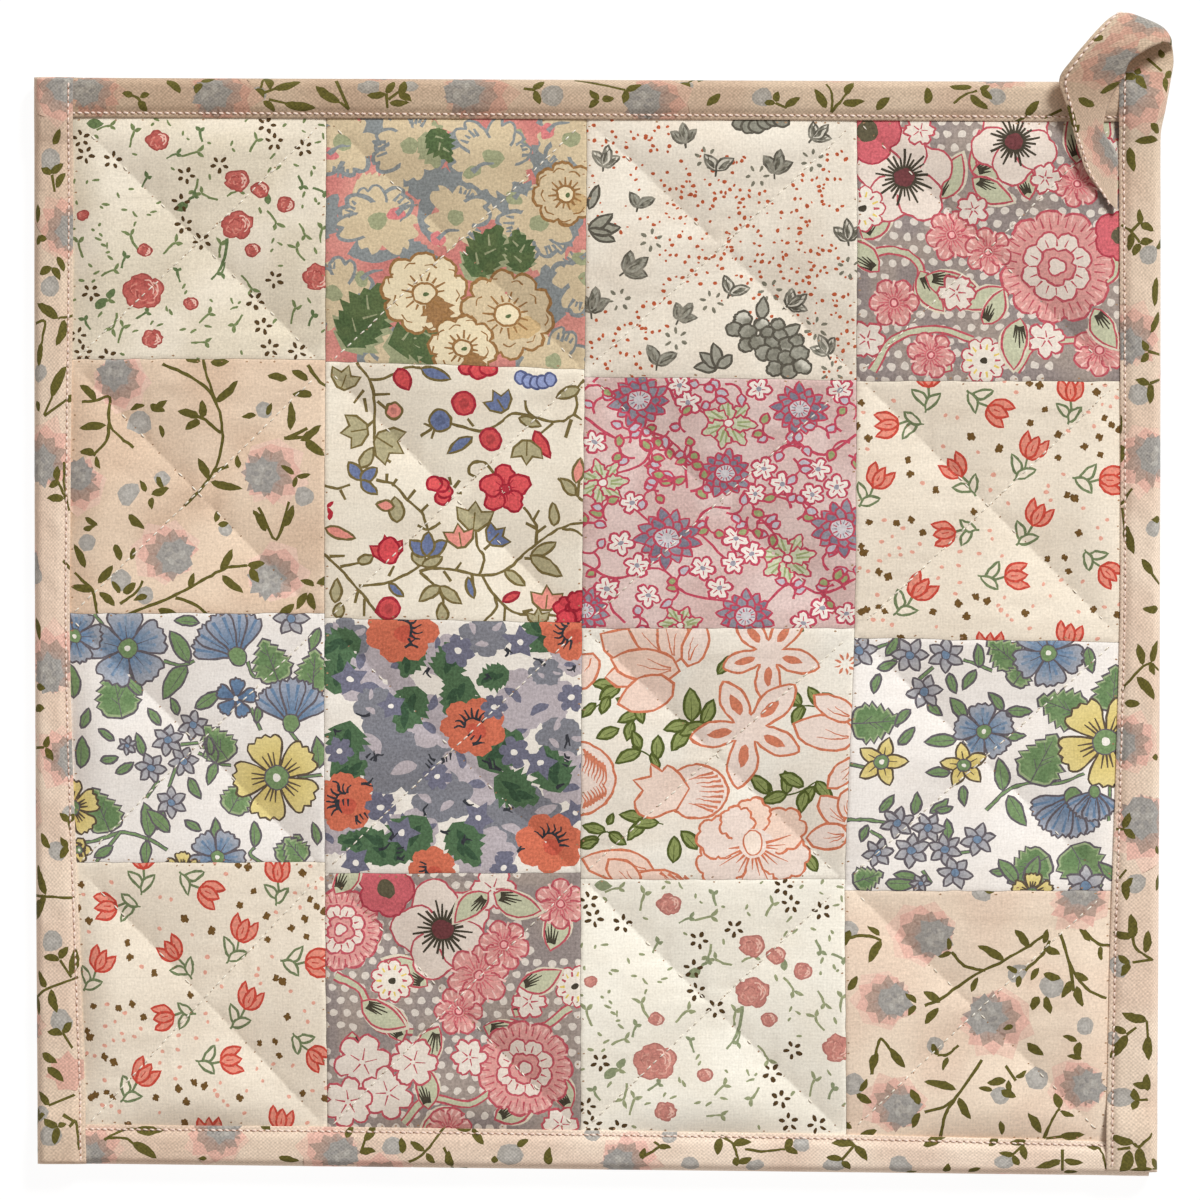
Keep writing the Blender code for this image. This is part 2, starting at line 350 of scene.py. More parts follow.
class Print:
    """Shapes on a piece of cloth, the later ones over the earlier ones. They are in millimetres
    along the cloth's two sides. Tables of places, named across and down, are in hundredths of
    those sides."""

    def __init__(self, wide, high):
        self.wide, self.high = wide, high
        self.ground = None  # a colour, which the print sets
        self.shapes = []

    def at(self, across, down):
        """A place of a table, in millimetres."""
        return np.array((across * self.wide / 100, down * self.high / 100))

    def places(self, row):
        """All places of a table's row, in millimetres."""
        return [self.at(*place) for place in row]

    def add(self, outline, colour):
        """A shape in one colour, whose printed edge strays a little from its outline."""
        outline = np.asarray(outline, float)
        x, y = outline[:, 0], outline[:, 1]
        drift = np.stack((noise(x, y, 0.8, 71), noise(x, y, 0.8, 72)), axis=1)
        self.shapes.append((outline + UNEVEN * drift, colour))

    def edged(self, outline, line, fill, width=0.25):
        """A filled shape with a drawn outline."""
        self.add(grown(outline, width / 2), line)
        self.add(grown(outline, -width / 2), fill)

    def line(self, colour, points, width, tip=None, steps=5):
        """A brush stroke through the points."""
        self.add(stroke(points, width, tip, steps), colour)

    def owners(self, points):
        """Number of the top-most shape at each point, or -1."""
        found = np.full(len(points), -1)
        for number, (outline, _) in enumerate(self.shapes):
            low, high = outline.min(axis=0), outline.max(axis=0)
            near = np.flatnonzero(np.all((points > low) & (points < high), axis=1))
            if len(near):
                found[near[winding(outline, points[near]) != 0]] = number
        return found


def winding(outline, points):
    """How many times an outline runs round each point."""
    x, y = points[:, 0][:, None], points[:, 1][:, None]
    ax, ay = outline[:, 0], outline[:, 1]
    bx, by = np.roll(ax, -1), np.roll(ay, -1)
    side = (bx - ax) * (y - ay) - (by - ay) * (x - ax)
    up = (ay <= y) & (by > y) & (side > 0)
    fall = (ay > y) & (by <= y) & (side < 0)
    return up.sum(axis=1) - fall.sum(axis=1)


# ---------------------------------------------------------------- cloth meshes


def rim_points(low, high, spacing):
    """Points round a rectangle, in order."""
    counts = [max(2, round(float(high[k] - low[k]) / spacing)) for k in (0, 1)]
    xs = np.linspace(low[0], high[0], counts[0] + 1)
    ys = np.linspace(low[1], high[1], counts[1] + 1)
    rim = [(x, low[1]) for x in xs[:-1]] + [(high[0], y) for y in ys[:-1]]
    return rim + [(x, high[1]) for x in xs[:0:-1]] + [(low[0], y) for y in ys[:0:-1]]


def ring_edges(count):
    """Edges that join points 0 to count - 1 in a ring."""
    return [(k, (k + 1) % count) for k in range(count)]


def delaunay(points, edges, kind, near):
    """Points and faces of the triangles between points of the plane that keep to the edges."""
    found = delaunay_2d_cdt([Vector(point) for point in points], edges, [], kind, near, False)
    return np.array([tuple(point) for point in found[0]]), np.array([tuple(face) for face in found[2]])


def faced_up(points, faces):
    """Triangles all turned the same way round, without those that have no area."""
    a, b, c = (points[faces[:, k]] for k in range(3))
    area = (b[:, 0] - a[:, 0]) * (c[:, 1] - a[:, 1]) - (b[:, 1] - a[:, 1]) * (c[:, 0] - a[:, 0])
    real = np.abs(area) > 1e-9
    faces, area = faces[real], area[real]
    faces[area < 0] = faces[area < 0][:, ::-1]
    return faces


def reverse_mesh(rim, low, high, spacing):
    """Coarse triangles over the same rectangle, on the rim's own points and a grid inside."""
    xs = np.arange(low[0] + spacing * 0.7, high[0] - spacing * 0.5, spacing)
    ys = np.arange(low[1] + spacing * 0.7, high[1] - spacing * 0.5, spacing)
    points = [tuple(point) for point in rim] + [(x, y) for y in ys for x in xs]
    points, faces = delaunay(points, ring_edges(len(rim)), 1, 1e-7)
    return points, faced_up(points, faces)


def triangulate(low, high, spacing, outlines, guides=()):
    """Triangles that fill a rectangle, follow the outlines and guide lines, and are elsewhere
    about `spacing` wide. Returns points and faces."""
    points = rim_points(low, high, spacing)
    edges = ring_edges(len(points))
    xs = np.arange(low[0] + spacing * 0.6, high[0] - spacing * 0.4, spacing)
    ys = np.arange(low[1] + spacing * 0.6, high[1] - spacing * 0.4, spacing * 0.9)
    stagger = (np.arange(len(ys)) % 2) * spacing / 2
    grid = np.stack(np.meshgrid(xs, ys), axis=-1)
    grid[:, :, 0] += stagger[:, None] - spacing / 4
    points += [tuple(point) for point in grid.reshape(-1, 2)]
    for outline, closed in [(one, True) for one in outlines] + [(one, False) for one in guides]:
        first = len(points)
        points += [tuple(point) for point in outline]
        last = len(points) - 1
        edges += [(k, k + 1) for k in range(first, last)]
        if closed:
            edges.append((last, first))
    points, faces = delaunay(points, edges, 0, 1e-4)
    middle = points[faces].mean(axis=1)
    faces = faced_up(points, faces[np.all((middle > low) & (middle < high), axis=1)])
    used, faces = np.unique(faces, return_inverse=True)
    return points[used], faces.reshape(-1, 3)


def rim_order(points, low, high):
    """Numbers of the points on the rectangle's edge, in order round it."""
    x, y = points[:, 0], points[:, 1]
    near = 1e-5
    wide, tall = high - low
    place = np.full(len(points), -1.0)
    place = np.where(np.abs(x - low[0]) < near, 2 * wide + tall + (high[1] - y), place)
    place = np.where(np.abs(y - high[1]) < near, wide + tall + (high[0] - x), place)
    place = np.where(np.abs(x - high[0]) < near, wide + (y - low[1]), place)
    place = np.where(np.abs(y - low[1]) < near, x - low[0], place)
    on = np.flatnonzero(place >= 0)
    return on[np.argsort(place[on])]


def surface_normals(place, s, t):
    """Unit normals of a cloth's face where it is placed."""
    along = place(s + NORMAL_STEP, t, 0) - place(s - NORMAL_STEP, t, 0)
    aside = place(s, t + NORMAL_STEP, 0) - place(s, t - NORMAL_STEP, 0)
    return unit(np.cross(aside, along))


def printed(cloth, corners, owner):
    """Colours of the triangles' corners, each triangle in the colour of the shape that owns it."""
    owner = np.repeat(owner, 3)
    colours = painted(cloth.ground, corners)
    for number in np.unique(owner[owner >= 0]):
        mine = owner == number
        colours[mine] = painted(cloth.shapes[number][1], corners[mine])
    return colours


def give_print(mesh, domain, colours, laid):
    """Gives a mesh its colours, and the place of each of its points on the flat cloth."""
    rgba = np.pad(colours, ((0, 0), (0, 1)), constant_values=1)
    layer = mesh.color_attributes.new("print", "FLOAT_COLOR", domain)
    layer.data.foreach_set("color", rgba.astype(np.float32).ravel())
    weave = mesh.attributes.new("cloth", "FLOAT_VECTOR", "POINT")
    weave.data.foreach_set("vector", (laid * MM).astype(np.float32).ravel())


def make_cloth(name, cloth, low, high, place, material, guides=(), offset=(0.0, 0.0), spacing=GRID):
    """A closed thin shell of printed cloth. place(s, t, depth) gives the three coordinates of
    points of the flat cloth, on its face where depth is 0 and on its reverse where it is 1.
    The flat cloth's second side runs down the page, so its faces turn over when they are placed."""
    low, high = np.array(low, float), np.array(high, float)
    flat, front = triangulate(low, high, spacing, [outline for outline, _ in cloth.shapes], guides)
    rim = rim_order(flat, low, high)
    back, reverse = reverse_mesh(flat[rim], low, high, spacing * REVERSE_COARSER)
    back_rim = rim_order(back, low, high) + len(flat)
    skirt = []
    for a, b, c, d in zip(rim, np.roll(rim, -1), np.roll(back_rim, -1), back_rim):
        skirt += [(a, b, c), (a, c, d)]
    faces = np.vstack((front[:, ::-1], reverse + len(flat), np.array(skirt)))
    points = np.vstack((place(flat[:, 0], flat[:, 1], 0), place(back[:, 0], back[:, 1], 1)))

    # The face's normals come from the shape itself, and the rest from their own triangles.
    a, b, c = (points[faces[:, k]] for k in range(3))
    normals = np.repeat(unit(np.cross(b - a, c - a)), 3, axis=0)
    shape = surface_normals(place, flat[:, 0], flat[:, 1])
    normals[: front.size] = shape[front[:, ::-1].ravel()]

    # Only the face is printed. The skirt takes the ground's colour at the rim.
    corners = flat[front[:, ::-1]].reshape(-1, 2)
    plain = painted(cloth.ground, np.vstack((back[reverse].reshape(-1, 2), flat[rim])))
    skirt_colour = np.repeat(plain[reverse.size :], 6, axis=0)
    owner = cloth.owners(flat[front].mean(axis=1))
    colours = np.vstack((printed(cloth, corners, owner), plain[: reverse.size], skirt_colour))

    piece = new_piece(name, points, faces, material)
    laid = (np.vstack((flat, back)) + np.array(offset)) * (1, -1)
    give_print(piece.data, "CORNER", colours, np.pad(laid, ((0, 0), (0, 1))))
    piece.data.normals_split_custom_set(normals.astype(np.float32))
    return piece


def new_piece(name, points, faces, material):
    """A smooth mesh object from points in millimetres."""
    mesh = bpy.data.meshes.new(name)
    faces = np.asarray(faces)
    size = faces.shape[1]
    mesh.vertices.add(len(points))
    mesh.vertices.foreach_set("co", (np.asarray(points) * MM).astype(np.float32).ravel())
    mesh.loops.add(faces.size)
    mesh.loops.foreach_set("vertex_index", faces.astype(np.int32).ravel())
    mesh.polygons.add(len(faces))
    mesh.polygons.foreach_set("loop_start", np.arange(0, faces.size, size, dtype=np.int32))
    mesh.update(calc_edges=True)
    mesh.validate()
    mesh.shade_smooth()
    mesh.materials.append(material)
    piece = bpy.data.objects.new(name, mesh)
    bpy.context.scene.collection.objects.link(piece)
    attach(piece, "root")
    return piece


# ---------------------------------------------------------------- materials


class Nodes:
    """Short hand for building one node material."""

    def __init__(self, name):
        self.material = bpy.data.materials.new(name)
        self.material.use_nodes = True
        self.tree = self.material.node_tree
        self.shader = self.tree.nodes["Principled BSDF"]

    def new(self, kind, **settings):
        """A node with its own settings and the values of its sockets, their spaces written _."""
        node = self.tree.nodes.new("ShaderNode" + kind)
        self.set(node, **settings)
        return node

    def set(self, node, **settings):
        for name, value in settings.items():
            if name in node.bl_rna.properties:
                setattr(node, name, value)
            else:
                node.inputs[name.replace("_", " ")].default_value = value

    def link(self, source, target):
        self.tree.links.new(source, target)

    def maths(self, operation, first, second):
        node = self.new("Math", operation=operation)
        for socket, value in zip(node.inputs, (first, second)):
            if isinstance(value, (int, float)):
                socket.default_value = value
            else:
                self.link(value, socket)
        return node.outputs[0]

    def stretched(self, vector, scale, turn=0.0):
        """The coordinates turned about Z and scaled per metre."""
        node = self.new("Mapping", Rotation=(0, 0, math.radians(turn)), Scale=scale)
        self.link(vector, node.inputs["Vector"])
        return node.outputs["Vector"]

    def cloud(self, vector, detail=2.0, roughness=0.5):
        node = self.new("TexNoise", Scale=1.0, Detail=detail, Roughness=roughness)
        self.link(vector, node.inputs["Vector"])
        return node.outputs["Fac"]

    def ranged(self, value, low, high, to_low, to_high):
        ends = dict(From_Min=low, From_Max=high, To_Min=to_low, To_Max=to_high)
        node = self.new("MapRange", **ends)
        self.link(value, node.inputs["Value"])
        return node.outputs["Result"]

    def mixed(self, share, first, second, **settings):
        """Two colours mixed. Each of the three is a socket or a value."""
        node = self.new("Mix", data_type="RGBA", **settings)
        sockets = node.inputs[0], node.inputs["A"], node.inputs["B"]
        for socket, value in zip(sockets, (share, first, second)):
            if isinstance(value, bpy.types.NodeSocket):
                self.link(value, socket)
            else:
                socket.default_value = value
        return node.outputs["Result"]

    def finished(self, colour, height, bump_deep):
        """Puts a colour and a bump on the shader, and returns the material."""
        self.link(colour, self.shader.inputs["Base Color"])
        bump = self.new("Bump", Strength=0.5, Distance=bump_deep)
        self.link(height, bump.inputs["Height"])
        self.link(bump.outputs["Normal"], self.shader.inputs["Normal"])
        return self.material


STAIN, STAIN_SHARE = (0.90, 0.80, 0.69), 0.15  # the colour that stains multiply by, at most
THREAD_PITCH, HATCH_PITCH = 0.00034, 0.00056  # in metres: single threads, and their bundles


def cotton(name, turn=0.0, slub=1.0, hatch=0.02):
    """Printed cotton lawn: the print, dulled where threads lie low, with slubs along both sets of
    threads, a faint woven hatch, worn and stained blotches, and a woven bump."""
    nodes = Nodes(name)
    flat = nodes.new("Attribute", attribute_name="cloth").outputs["Vector"]
    ink = nodes.new("Attribute", attribute_name="print").outputs["Color"]

    # Slubs along both sets of threads, and their fine mix
    per_metre = 1 / THREAD_PITCH
    warp = nodes.cloud(nodes.stretched(flat, (per_metre * 0.95, 420, 1), turn), 2.0, 0.65)
    weft = nodes.cloud(nodes.stretched(flat, (360, per_metre * 0.9, 1), turn), 2.0, 0.65)
    thread = nodes.maths("MULTIPLY", nodes.maths("ADD", warp, weft), 0.5)
    shade = nodes.ranged(thread, 0.34, 0.66, 1 - 0.07 * slub, 1 + 0.05 * slub)
    fine = nodes.cloud(nodes.stretched(flat, (per_metre * 0.8,) * 3, turn), 2.0, 0.6)
    shade = nodes.maths("MULTIPLY", shade, nodes.ranged(fine, 0.3, 0.7, 0.92, 1.07))

    # Dark inks pool unevenly
    pools = nodes.cloud(nodes.stretched(flat, (1900, 1700, 1)), 3.0, 0.65)
    grey_ink = nodes.new("RGBToBW")
    nodes.link(ink, grey_ink.inputs[0])
    depth = nodes.maths("SUBTRACT", 0.95, grey_ink.outputs[0])
    pooled = nodes.maths("MULTIPLY", depth, nodes.ranged(pools, 0.32, 0.68, -0.30, 0.42))
    shade = nodes.maths("MULTIPLY", shade, nodes.maths("ADD", pooled, 1.0))

    # Bundles of threads make a faint hatch
    bundle = 2 * math.pi / HATCH_PITCH
    lines = nodes.new("SeparateXYZ")
    wander = nodes.cloud(nodes.stretched(flat, (260, 260, 260)), 2.0, 0.5)
    nodes.link(nodes.stretched(flat, (bundle, bundle, 1), turn), lines.inputs[0])
    waves = []
    for side in ("X", "Y"):
        phase = nodes.maths("ADD", lines.outputs[side], nodes.maths("MULTIPLY", wander, 9.0))
        waves.append(nodes.maths("SINE", phase, 0.0))
    woven = nodes.maths("MULTIPLY", nodes.maths("ADD", *waves), 0.5 * hatch)
    shade = nodes.maths("MULTIPLY", shade, nodes.maths("ADD", woven, 1.0))
    grey = nodes.new("CombineColor")
    for socket in grey.inputs[:3]:
        nodes.link(shade, socket)
    tone = nodes.mixed(1.0, ink, grey.outputs[0], blend_type="MULTIPLY")

    # Stains
    mottle = nodes.cloud(nodes.stretched(flat, (95, 120, 95)), 4.0, 0.6)
    stain = nodes.ranged(mottle, 0.42, 0.72, 0.0, STAIN_SHARE)
    tone = nodes.mixed(stain, tone, (*STAIN, 1), blend_type="MULTIPLY")
    nodes.link(nodes.ranged(thread, 0.3, 0.7, 0.93, 0.80), nodes.shader.inputs["Roughness"])
    nodes.set(nodes.shader, Sheen_Weight=0.05, Sheen_Roughness=0.5, Specular_IOR_Level=0.2)
    return nodes.finished(tone, thread, 0.00008)


def thread_material(name, colour, dark):
    """Spun cotton thread, paler and darker by turns along its twist."""
    nodes = Nodes(name)
    place = nodes.new("TexCoord").outputs["Object"]
    twist = nodes.cloud(nodes.stretched(place, (2600, 2600, 2600)), 2.0, 0.6)
    share = nodes.ranged(twist, 0.35, 0.65, 0.0, 1.0)
    tone = nodes.mixed(share, (*linear(dark), 1), (*linear(colour), 1))
    nodes.set(nodes.shader, Roughness=0.6, Sheen_Weight=0.2)
    return nodes.finished(tone, twist, 0.00006)


# ---------------------------------------------------------------- prints

BACKING = (236, 228, 212)


def motifs(table, layers=()):
    """Number, kind and row of each motif of a table that lists them by kind, in the table's order
    or, where layers are given, one kind after the other."""
    listed = [(kind, row) for kind, *rows in table for row in rows]
    numbered = [(number, kind, row) for number, (kind, row) in enumerate(listed)]
    return sorted(numbered, key=lambda motif: layers.index(motif[1])) if layers else numbered


def draw_stems(cloth, table, strokes):
    """Draws a table's stems, each in several colours, widths and tips."""
    for _, kind, row in motifs(table):
        if kind == "stem":
            for colour, width, tip in strokes:
                cloth.line(colour, cloth.places(row), width, tip)


def star(x, y, outer, inner, points, turn=0.0, rough=0.0, seed=0):
    """Outline of a flower with pointed petals."""
    rng = np.random.default_rng(seed)
    angle = math.radians(turn) + np.arange(2 * points) * math.pi / points
    radius = np.where(np.arange(2 * points) % 2 == 0, outer, inner)
    radius = radius * (1 + rough * rng.uniform(-1, 1, 2 * points))
    return np.array((x, y)) + radius[:, None] * np.stack((np.cos(angle), -np.sin(angle)), axis=1)


def lobed(x, y, radius, lobes, depth=0.2, turn=0.0, rough=0.0, seed=0, squash=1.0):
    """Outline of a flower with rounded petals."""
    rng = np.random.default_rng(seed)
    count = max(lobes * (8 if radius > 4 else 6), 18)
    angle = np.arange(count) * 2 * math.pi / count
    rough = rough * (0.5 if radius > 4 else 1.0)
    wave = np.abs(np.cos(lobes * angle / 2))
    size = radius * (1 - depth + depth * wave**0.6)
    size = size * (1 + rough * rng.uniform(-1, 1, count))
    angle = angle + math.radians(turn)
    flat = np.stack((np.cos(angle), -np.sin(angle) * squash), axis=1)
    return np.array((x, y)) + size[:, None] * flat


def evenly(count, turn=0.0):
    """Directions all round, from a first one."""
    return [turn + 360 * k / count for k in range(count)]


def rays(cloth, centre, size, ways, spans, colours, width, tip):
    """Strokes outward from a centre. Their spans, in shares of a size, and their colours take
    turns."""
    for k, way in enumerate(ways):
        near, far = (centre + heading(way) * size * share for share in spans[k % len(spans)])
        cloth.line(colours[k % len(colours)], [near, far], width, tip)


def dot_flower(cloth, x, y, radius, petals, long, wide, colour, turn=0.0):
    """A ring of separate small petals round a bare middle."""
    for petal in range(petals):
        angle = turn + petal * 360 / petals
        place = polar((x, y), angle, radius)
        cloth.add(blob(*place, long, wide, angle, 0.12, petal + int(x * 7), 7), colour)


def scatter(cloth, count, gap, seed, draw, margin=0.0, keep=None, skip=0):
    """Draws count things at seeded places at least `gap` from each other and off the shapes that
    are there already, but for the first `skip` of them."""
    rng = np.random.default_rng(seed)
    taken = [shape[0].mean(axis=0) for shape in cloth.shapes[skip:]]
    reach = [np.ptp(shape[0], axis=0).max() / 2 for shape in cloth.shapes[skip:]]
    placed = 0
    for _ in range(count * 30):
        if placed == count:
            break
        place = rng.uniform((-margin, -margin), (cloth.wide + margin, cloth.high + margin))
        if keep is not None and not keep(*place):
            continue
        if all(np.hypot(*(place - other)) > gap + size for other, size in zip(taken, reach)):
            draw(place[0], place[1], rng)
            taken.append(place)
            reach.append(0.0)
            placed += 1


# Print of red roses, small dark dot flowers and green sprigs on cream

ROSE_RED, ROSE_DARK, ROSE_PALE = (190, 104, 95), (158, 76, 70), (228, 184, 170)
SPRIG_GREEN, SPRIG_DARK, DOT_BROWN = (112, 126, 82), (96, 114, 74), (78, 58, 30)
AGED_CREAM = (233, 222, 205)
ROSE_MIDDLE, ROSE_LIGHT, ROSE_SHADE = (172, 86, 80), (208, 132, 120), (176, 86, 80)
ROSES = (  # across, down, width
    (33.5, 9.7, 4.2), (65, 26, 4.6), (74, 30, 3.3), (84, 36, 3.3), (65, 44.5, 6.2), (71, 55, 2.9),
    (97, 66, 5.6), (28, 72, 7.6), (47, 77, 2.7), (32, 91.5, 3.8), (4, 40.5, 2.1), (28.5, 55, 2.7),
)
ROSE_DOTS = (  # across, down
    (76.5, 3), (79.5, 10), (91, 12.5), (58, 19.5), (44.7, 24), (42.5, 35.5), (44, 44.5), (51, 51),
    (5, 15.5), (15.6, 17.7), (3, 8.6), (80, 67), (72.3, 76), (75.2, 86.3), (78.4, 95.4), (89, 96.5),
    (7.3, 72.6), (2.2, 90.3), (4.5, 97.7), (14.5, 99),
)
ROSE_STEM = ((61, 50), (60, 58), (58, 63), (55, 67))
ROSE_LEAVES = (  # across, down, length, turn
    (45.5, 36, 3.0, 200), (77, 36, 2.4, 90), (5, 2.5, 3.6, 0), (9, 79, 3.2, 40), (14, 75, 2.6, 60),
)
ROSE_SPRIGS = (  # across, down, turn
    (50.5, 8, 95), (12, 4, 10), (23, 9, 70), (39, 16, 20), (71, 12, 60), (46, 15, 10), (28, 27, 60),
    (49, 28, 250), (54, 33, 150), (46, 34, 40), (63, 31, 20), (79, 41, 300), (90, 26, 290), (91, 46, 290),
    (24, 52, 110), (20, 60, 70), (14, 64, 20), (38, 54, 40), (60, 62, 250), (58, 55, 80), (90, 57, 120),
    (42, 66, 100), (12, 77, 30), (17, 84, 250), (27, 82, 30), (52, 83, 40), (19, 90, 70), (6, 86, 120),
    (50, 93, 0), (87, 82, 70), (94, 84, 60), (66, 84, 230), (69, 68, 300), (97, 30, 330), (98, 49, 80),
    (3, 55, 100),
)


def aged(colour, share):
    """A print colour faded by a share toward the cream of old cotton."""
    return tuple(part + (old - part) * share for part, old in zip(colour, AGED_CREAM))


def rose(cloth, x, y, size, seed, toned=0.0):
    """A full rose head of overlapping strokes, with a pale rim of petals to one side."""
    rng = np.random.default_rng(seed)
    turn = rng.uniform(-40, 60)
    outline = lobed(x, y, size * 0.53, 5 if size > 3.5 else 3, 0.14, turn, 0.07, seed, 0.9)
    petals = brushed(aged(ROSE_RED, toned), aged(ROSE_MIDDLE, toned), 0.9, seed, 1.6, 50)
    cloth.edged(outline, aged(ROSE_DARK, toned), petals, 0.34)
    for k in range(int(3 + 1.6 * size)):
        angle = turn + k * 137
        place = np.array((x, y)) + heading(angle) * size * 0.3 * rng.uniform(0.3, 1.05)
        tone = (ROSE_DARK, ROSE_LIGHT, ROSE_SHADE)[k % 3]
        half = heading(angle + 80) * size * 0.13
        bow = [place - half, place + heading(angle) * 0.12 * size, place + half]
        cloth.line(aged(tone, toned), bow, 0.12 + 0.05 * size, 0.12, 3)
    if size > 2.5:
        for k, far in ((-1, 0.30), (0, 0.34), (1, 0.28), (0, 0.2)):
            ray, over = heading(turn + 34 * k), heading(turn + 34 * k + 90)
            place = np.array((x, y)) + ray * size * far
            bow = [place + over * size * 0.15 * j + ray * size * 0.07 * (1 - abs(j)) for j in (-1, 0, 1)]
            cloth.line(ROSE_PALE, bow, 0.26, 0.3, 3)


def forked_sprig(cloth, x, y, turn, size, colour):
    """A short stalk that forks, with a leaf at each end."""
    base = np.array((x, y))
    tip = base + heading(turn) * size * 0.5
    cloth.line(colour, [base - heading(turn + 12) * size * 0.5, base, tip], 0.44, 0.5, 3)
    for side, long in ((40, 0.62), (-48, 0.5)):
        cloth.add(leaf(*tip, size * long, 0.78, turn + side, 0.1, 0.3), colour)


def print_roses(cloth, pale, deep, toned=0.0):
    cloth.ground = brushed(pale, deep, 9.0, 21)
    for number, (across, down, turn) in enumerate(ROSE_SPRIGS):
        tone = aged(SPRIG_GREEN if number % 3 else SPRIG_DARK, toned)
        forked_sprig(cloth, *cloth.at(across, down), turn, 2.3 + 1.0 * (number % 3) / 2, tone)
    for across, down, size, turn in ROSE_LEAVES:
        cloth.add(leaf(*cloth.at(across, down), size, size * 0.6, turn), aged(SPRIG_DARK, toned))
    cloth.line(aged(SPRIG_DARK, toned), cloth.places(ROSE_STEM), 0.7, 0.5)
    for number, (across, down, size) in enumerate(ROSES):
        rose(cloth, *cloth.at(across, down), size, 300 + number, toned)
    for number, (across, down) in enumerate(ROSE_DOTS):
        dot_flower(cloth, *cloth.at(across, down), 1.3, 5, 1.3, 0.8, DOT_BROWN, 17 * number)

    def dash(x, y, rng):
        shape = blob(x, y, rng.uniform(0.8, 1.7), 0.6, rng.uniform(0, 180), 0.16, 5, 7)
        cloth.add(shape, aged(SPRIG_GREEN, toned))

    scatter(cloth, 84, 0.8, 77, dash)


# Print of coral tulips with outlined leaves, brown blots and pink dots on cream

TULIP_LINE, TULIP_FILL, TULIP_GREEN = (192, 72, 58), (221, 139, 121), (110, 124, 88)
TULIPS = (  # across, down, the way the head points, whether leaves show
    (11, 17, 185, 1), (54, 12, 330, 1), (81, 3, 90, 1), (67, 25, 65, 1), (9, 37, 60, 1), (37, 33, 130, 1),
    (97, 38, 0, 1), (33, 59, 190, 1), (69, 51, 60, 1), (61, 75, 5, 1), (96, 74, 320, 1), (25, 80, 50, 1),
    (81, 97, 80, 0), (51, 101, 90, 1), (27, -3, 90, 1),
)


def tulip(cloth, x, y, turn, size, leaves):
    """A tulip head of three petals drawn in line, with its stalk and a pair of outlined leaves."""
    foot = np.array((x, y)) - heading(turn) * size * 0.5
    if leaves:
        knee = foot - heading(turn + 8) * size * 0.36
        cloth.line(TULIP_GREEN, [foot, knee], 0.5, 0.46)
        tail = knee - heading(turn - 14) * size * 0.66
        cloth.line(TULIP_GREEN, [knee, tail], 0.5, 0.42)
        for side, share in ((44, 0.75), (-42, 0.5)):
            fork = knee * share + tail * (1 - share) - heading(turn - 14) * size * 0.2
            shape = leaf(*fork, size * 0.8, size * 0.34, turn + side, 0.14 * np.sign(side))
            cloth.edged(shape, TULIP_GREEN, cloth.ground, 0.5)
    for side in (30, -30, 0):
        long = size * (1.02 if side else 0.9)
        shape = leaf(*foot, long, size * 0.42, turn + side * 0.85, -0.16 * np.sign(side))
        cloth.edged(shape, TULIP_LINE, TULIP_FILL, 0.46)
        vein = foot + heading(turn + side) * long * 0.3
        cloth.line(TULIP_LINE, [vein, vein + heading(turn + side * 0.7) * long * 0.3], 0.3, 0.14)


def print_tulips(cloth):
    cloth.ground = (233, 222, 205)
    for number, (across, down, turn, leaves) in enumerate(TULIPS):
        tulip(cloth, *cloth.at(across, down), turn, 4.9 + 0.3 * math.sin(number * 2.4), leaves)

    def blot(x, y, rng):
        wide = rng.uniform(1.2, 1.6)
        shape = lobed(x, y, wide * 0.55, 4, 0.28, rng.uniform(0, 90), 0.16, int(x * 7))
        cloth.add(shape, (108, 80, 40))

    def pink(x, y, rng):
        cloth.add(blob(x, y, rng.uniform(0.7, 1.1), 0.8, 0, 0.2, int(x * 9), 7), (224, 164, 146))

    scatter(cloth, 50, 1.1, 81, blot)
    scatter(cloth, 70, 0.9, 82, pink)


# Print of grey leaf sprigs, a berry cluster and curls of orange dots on ivory

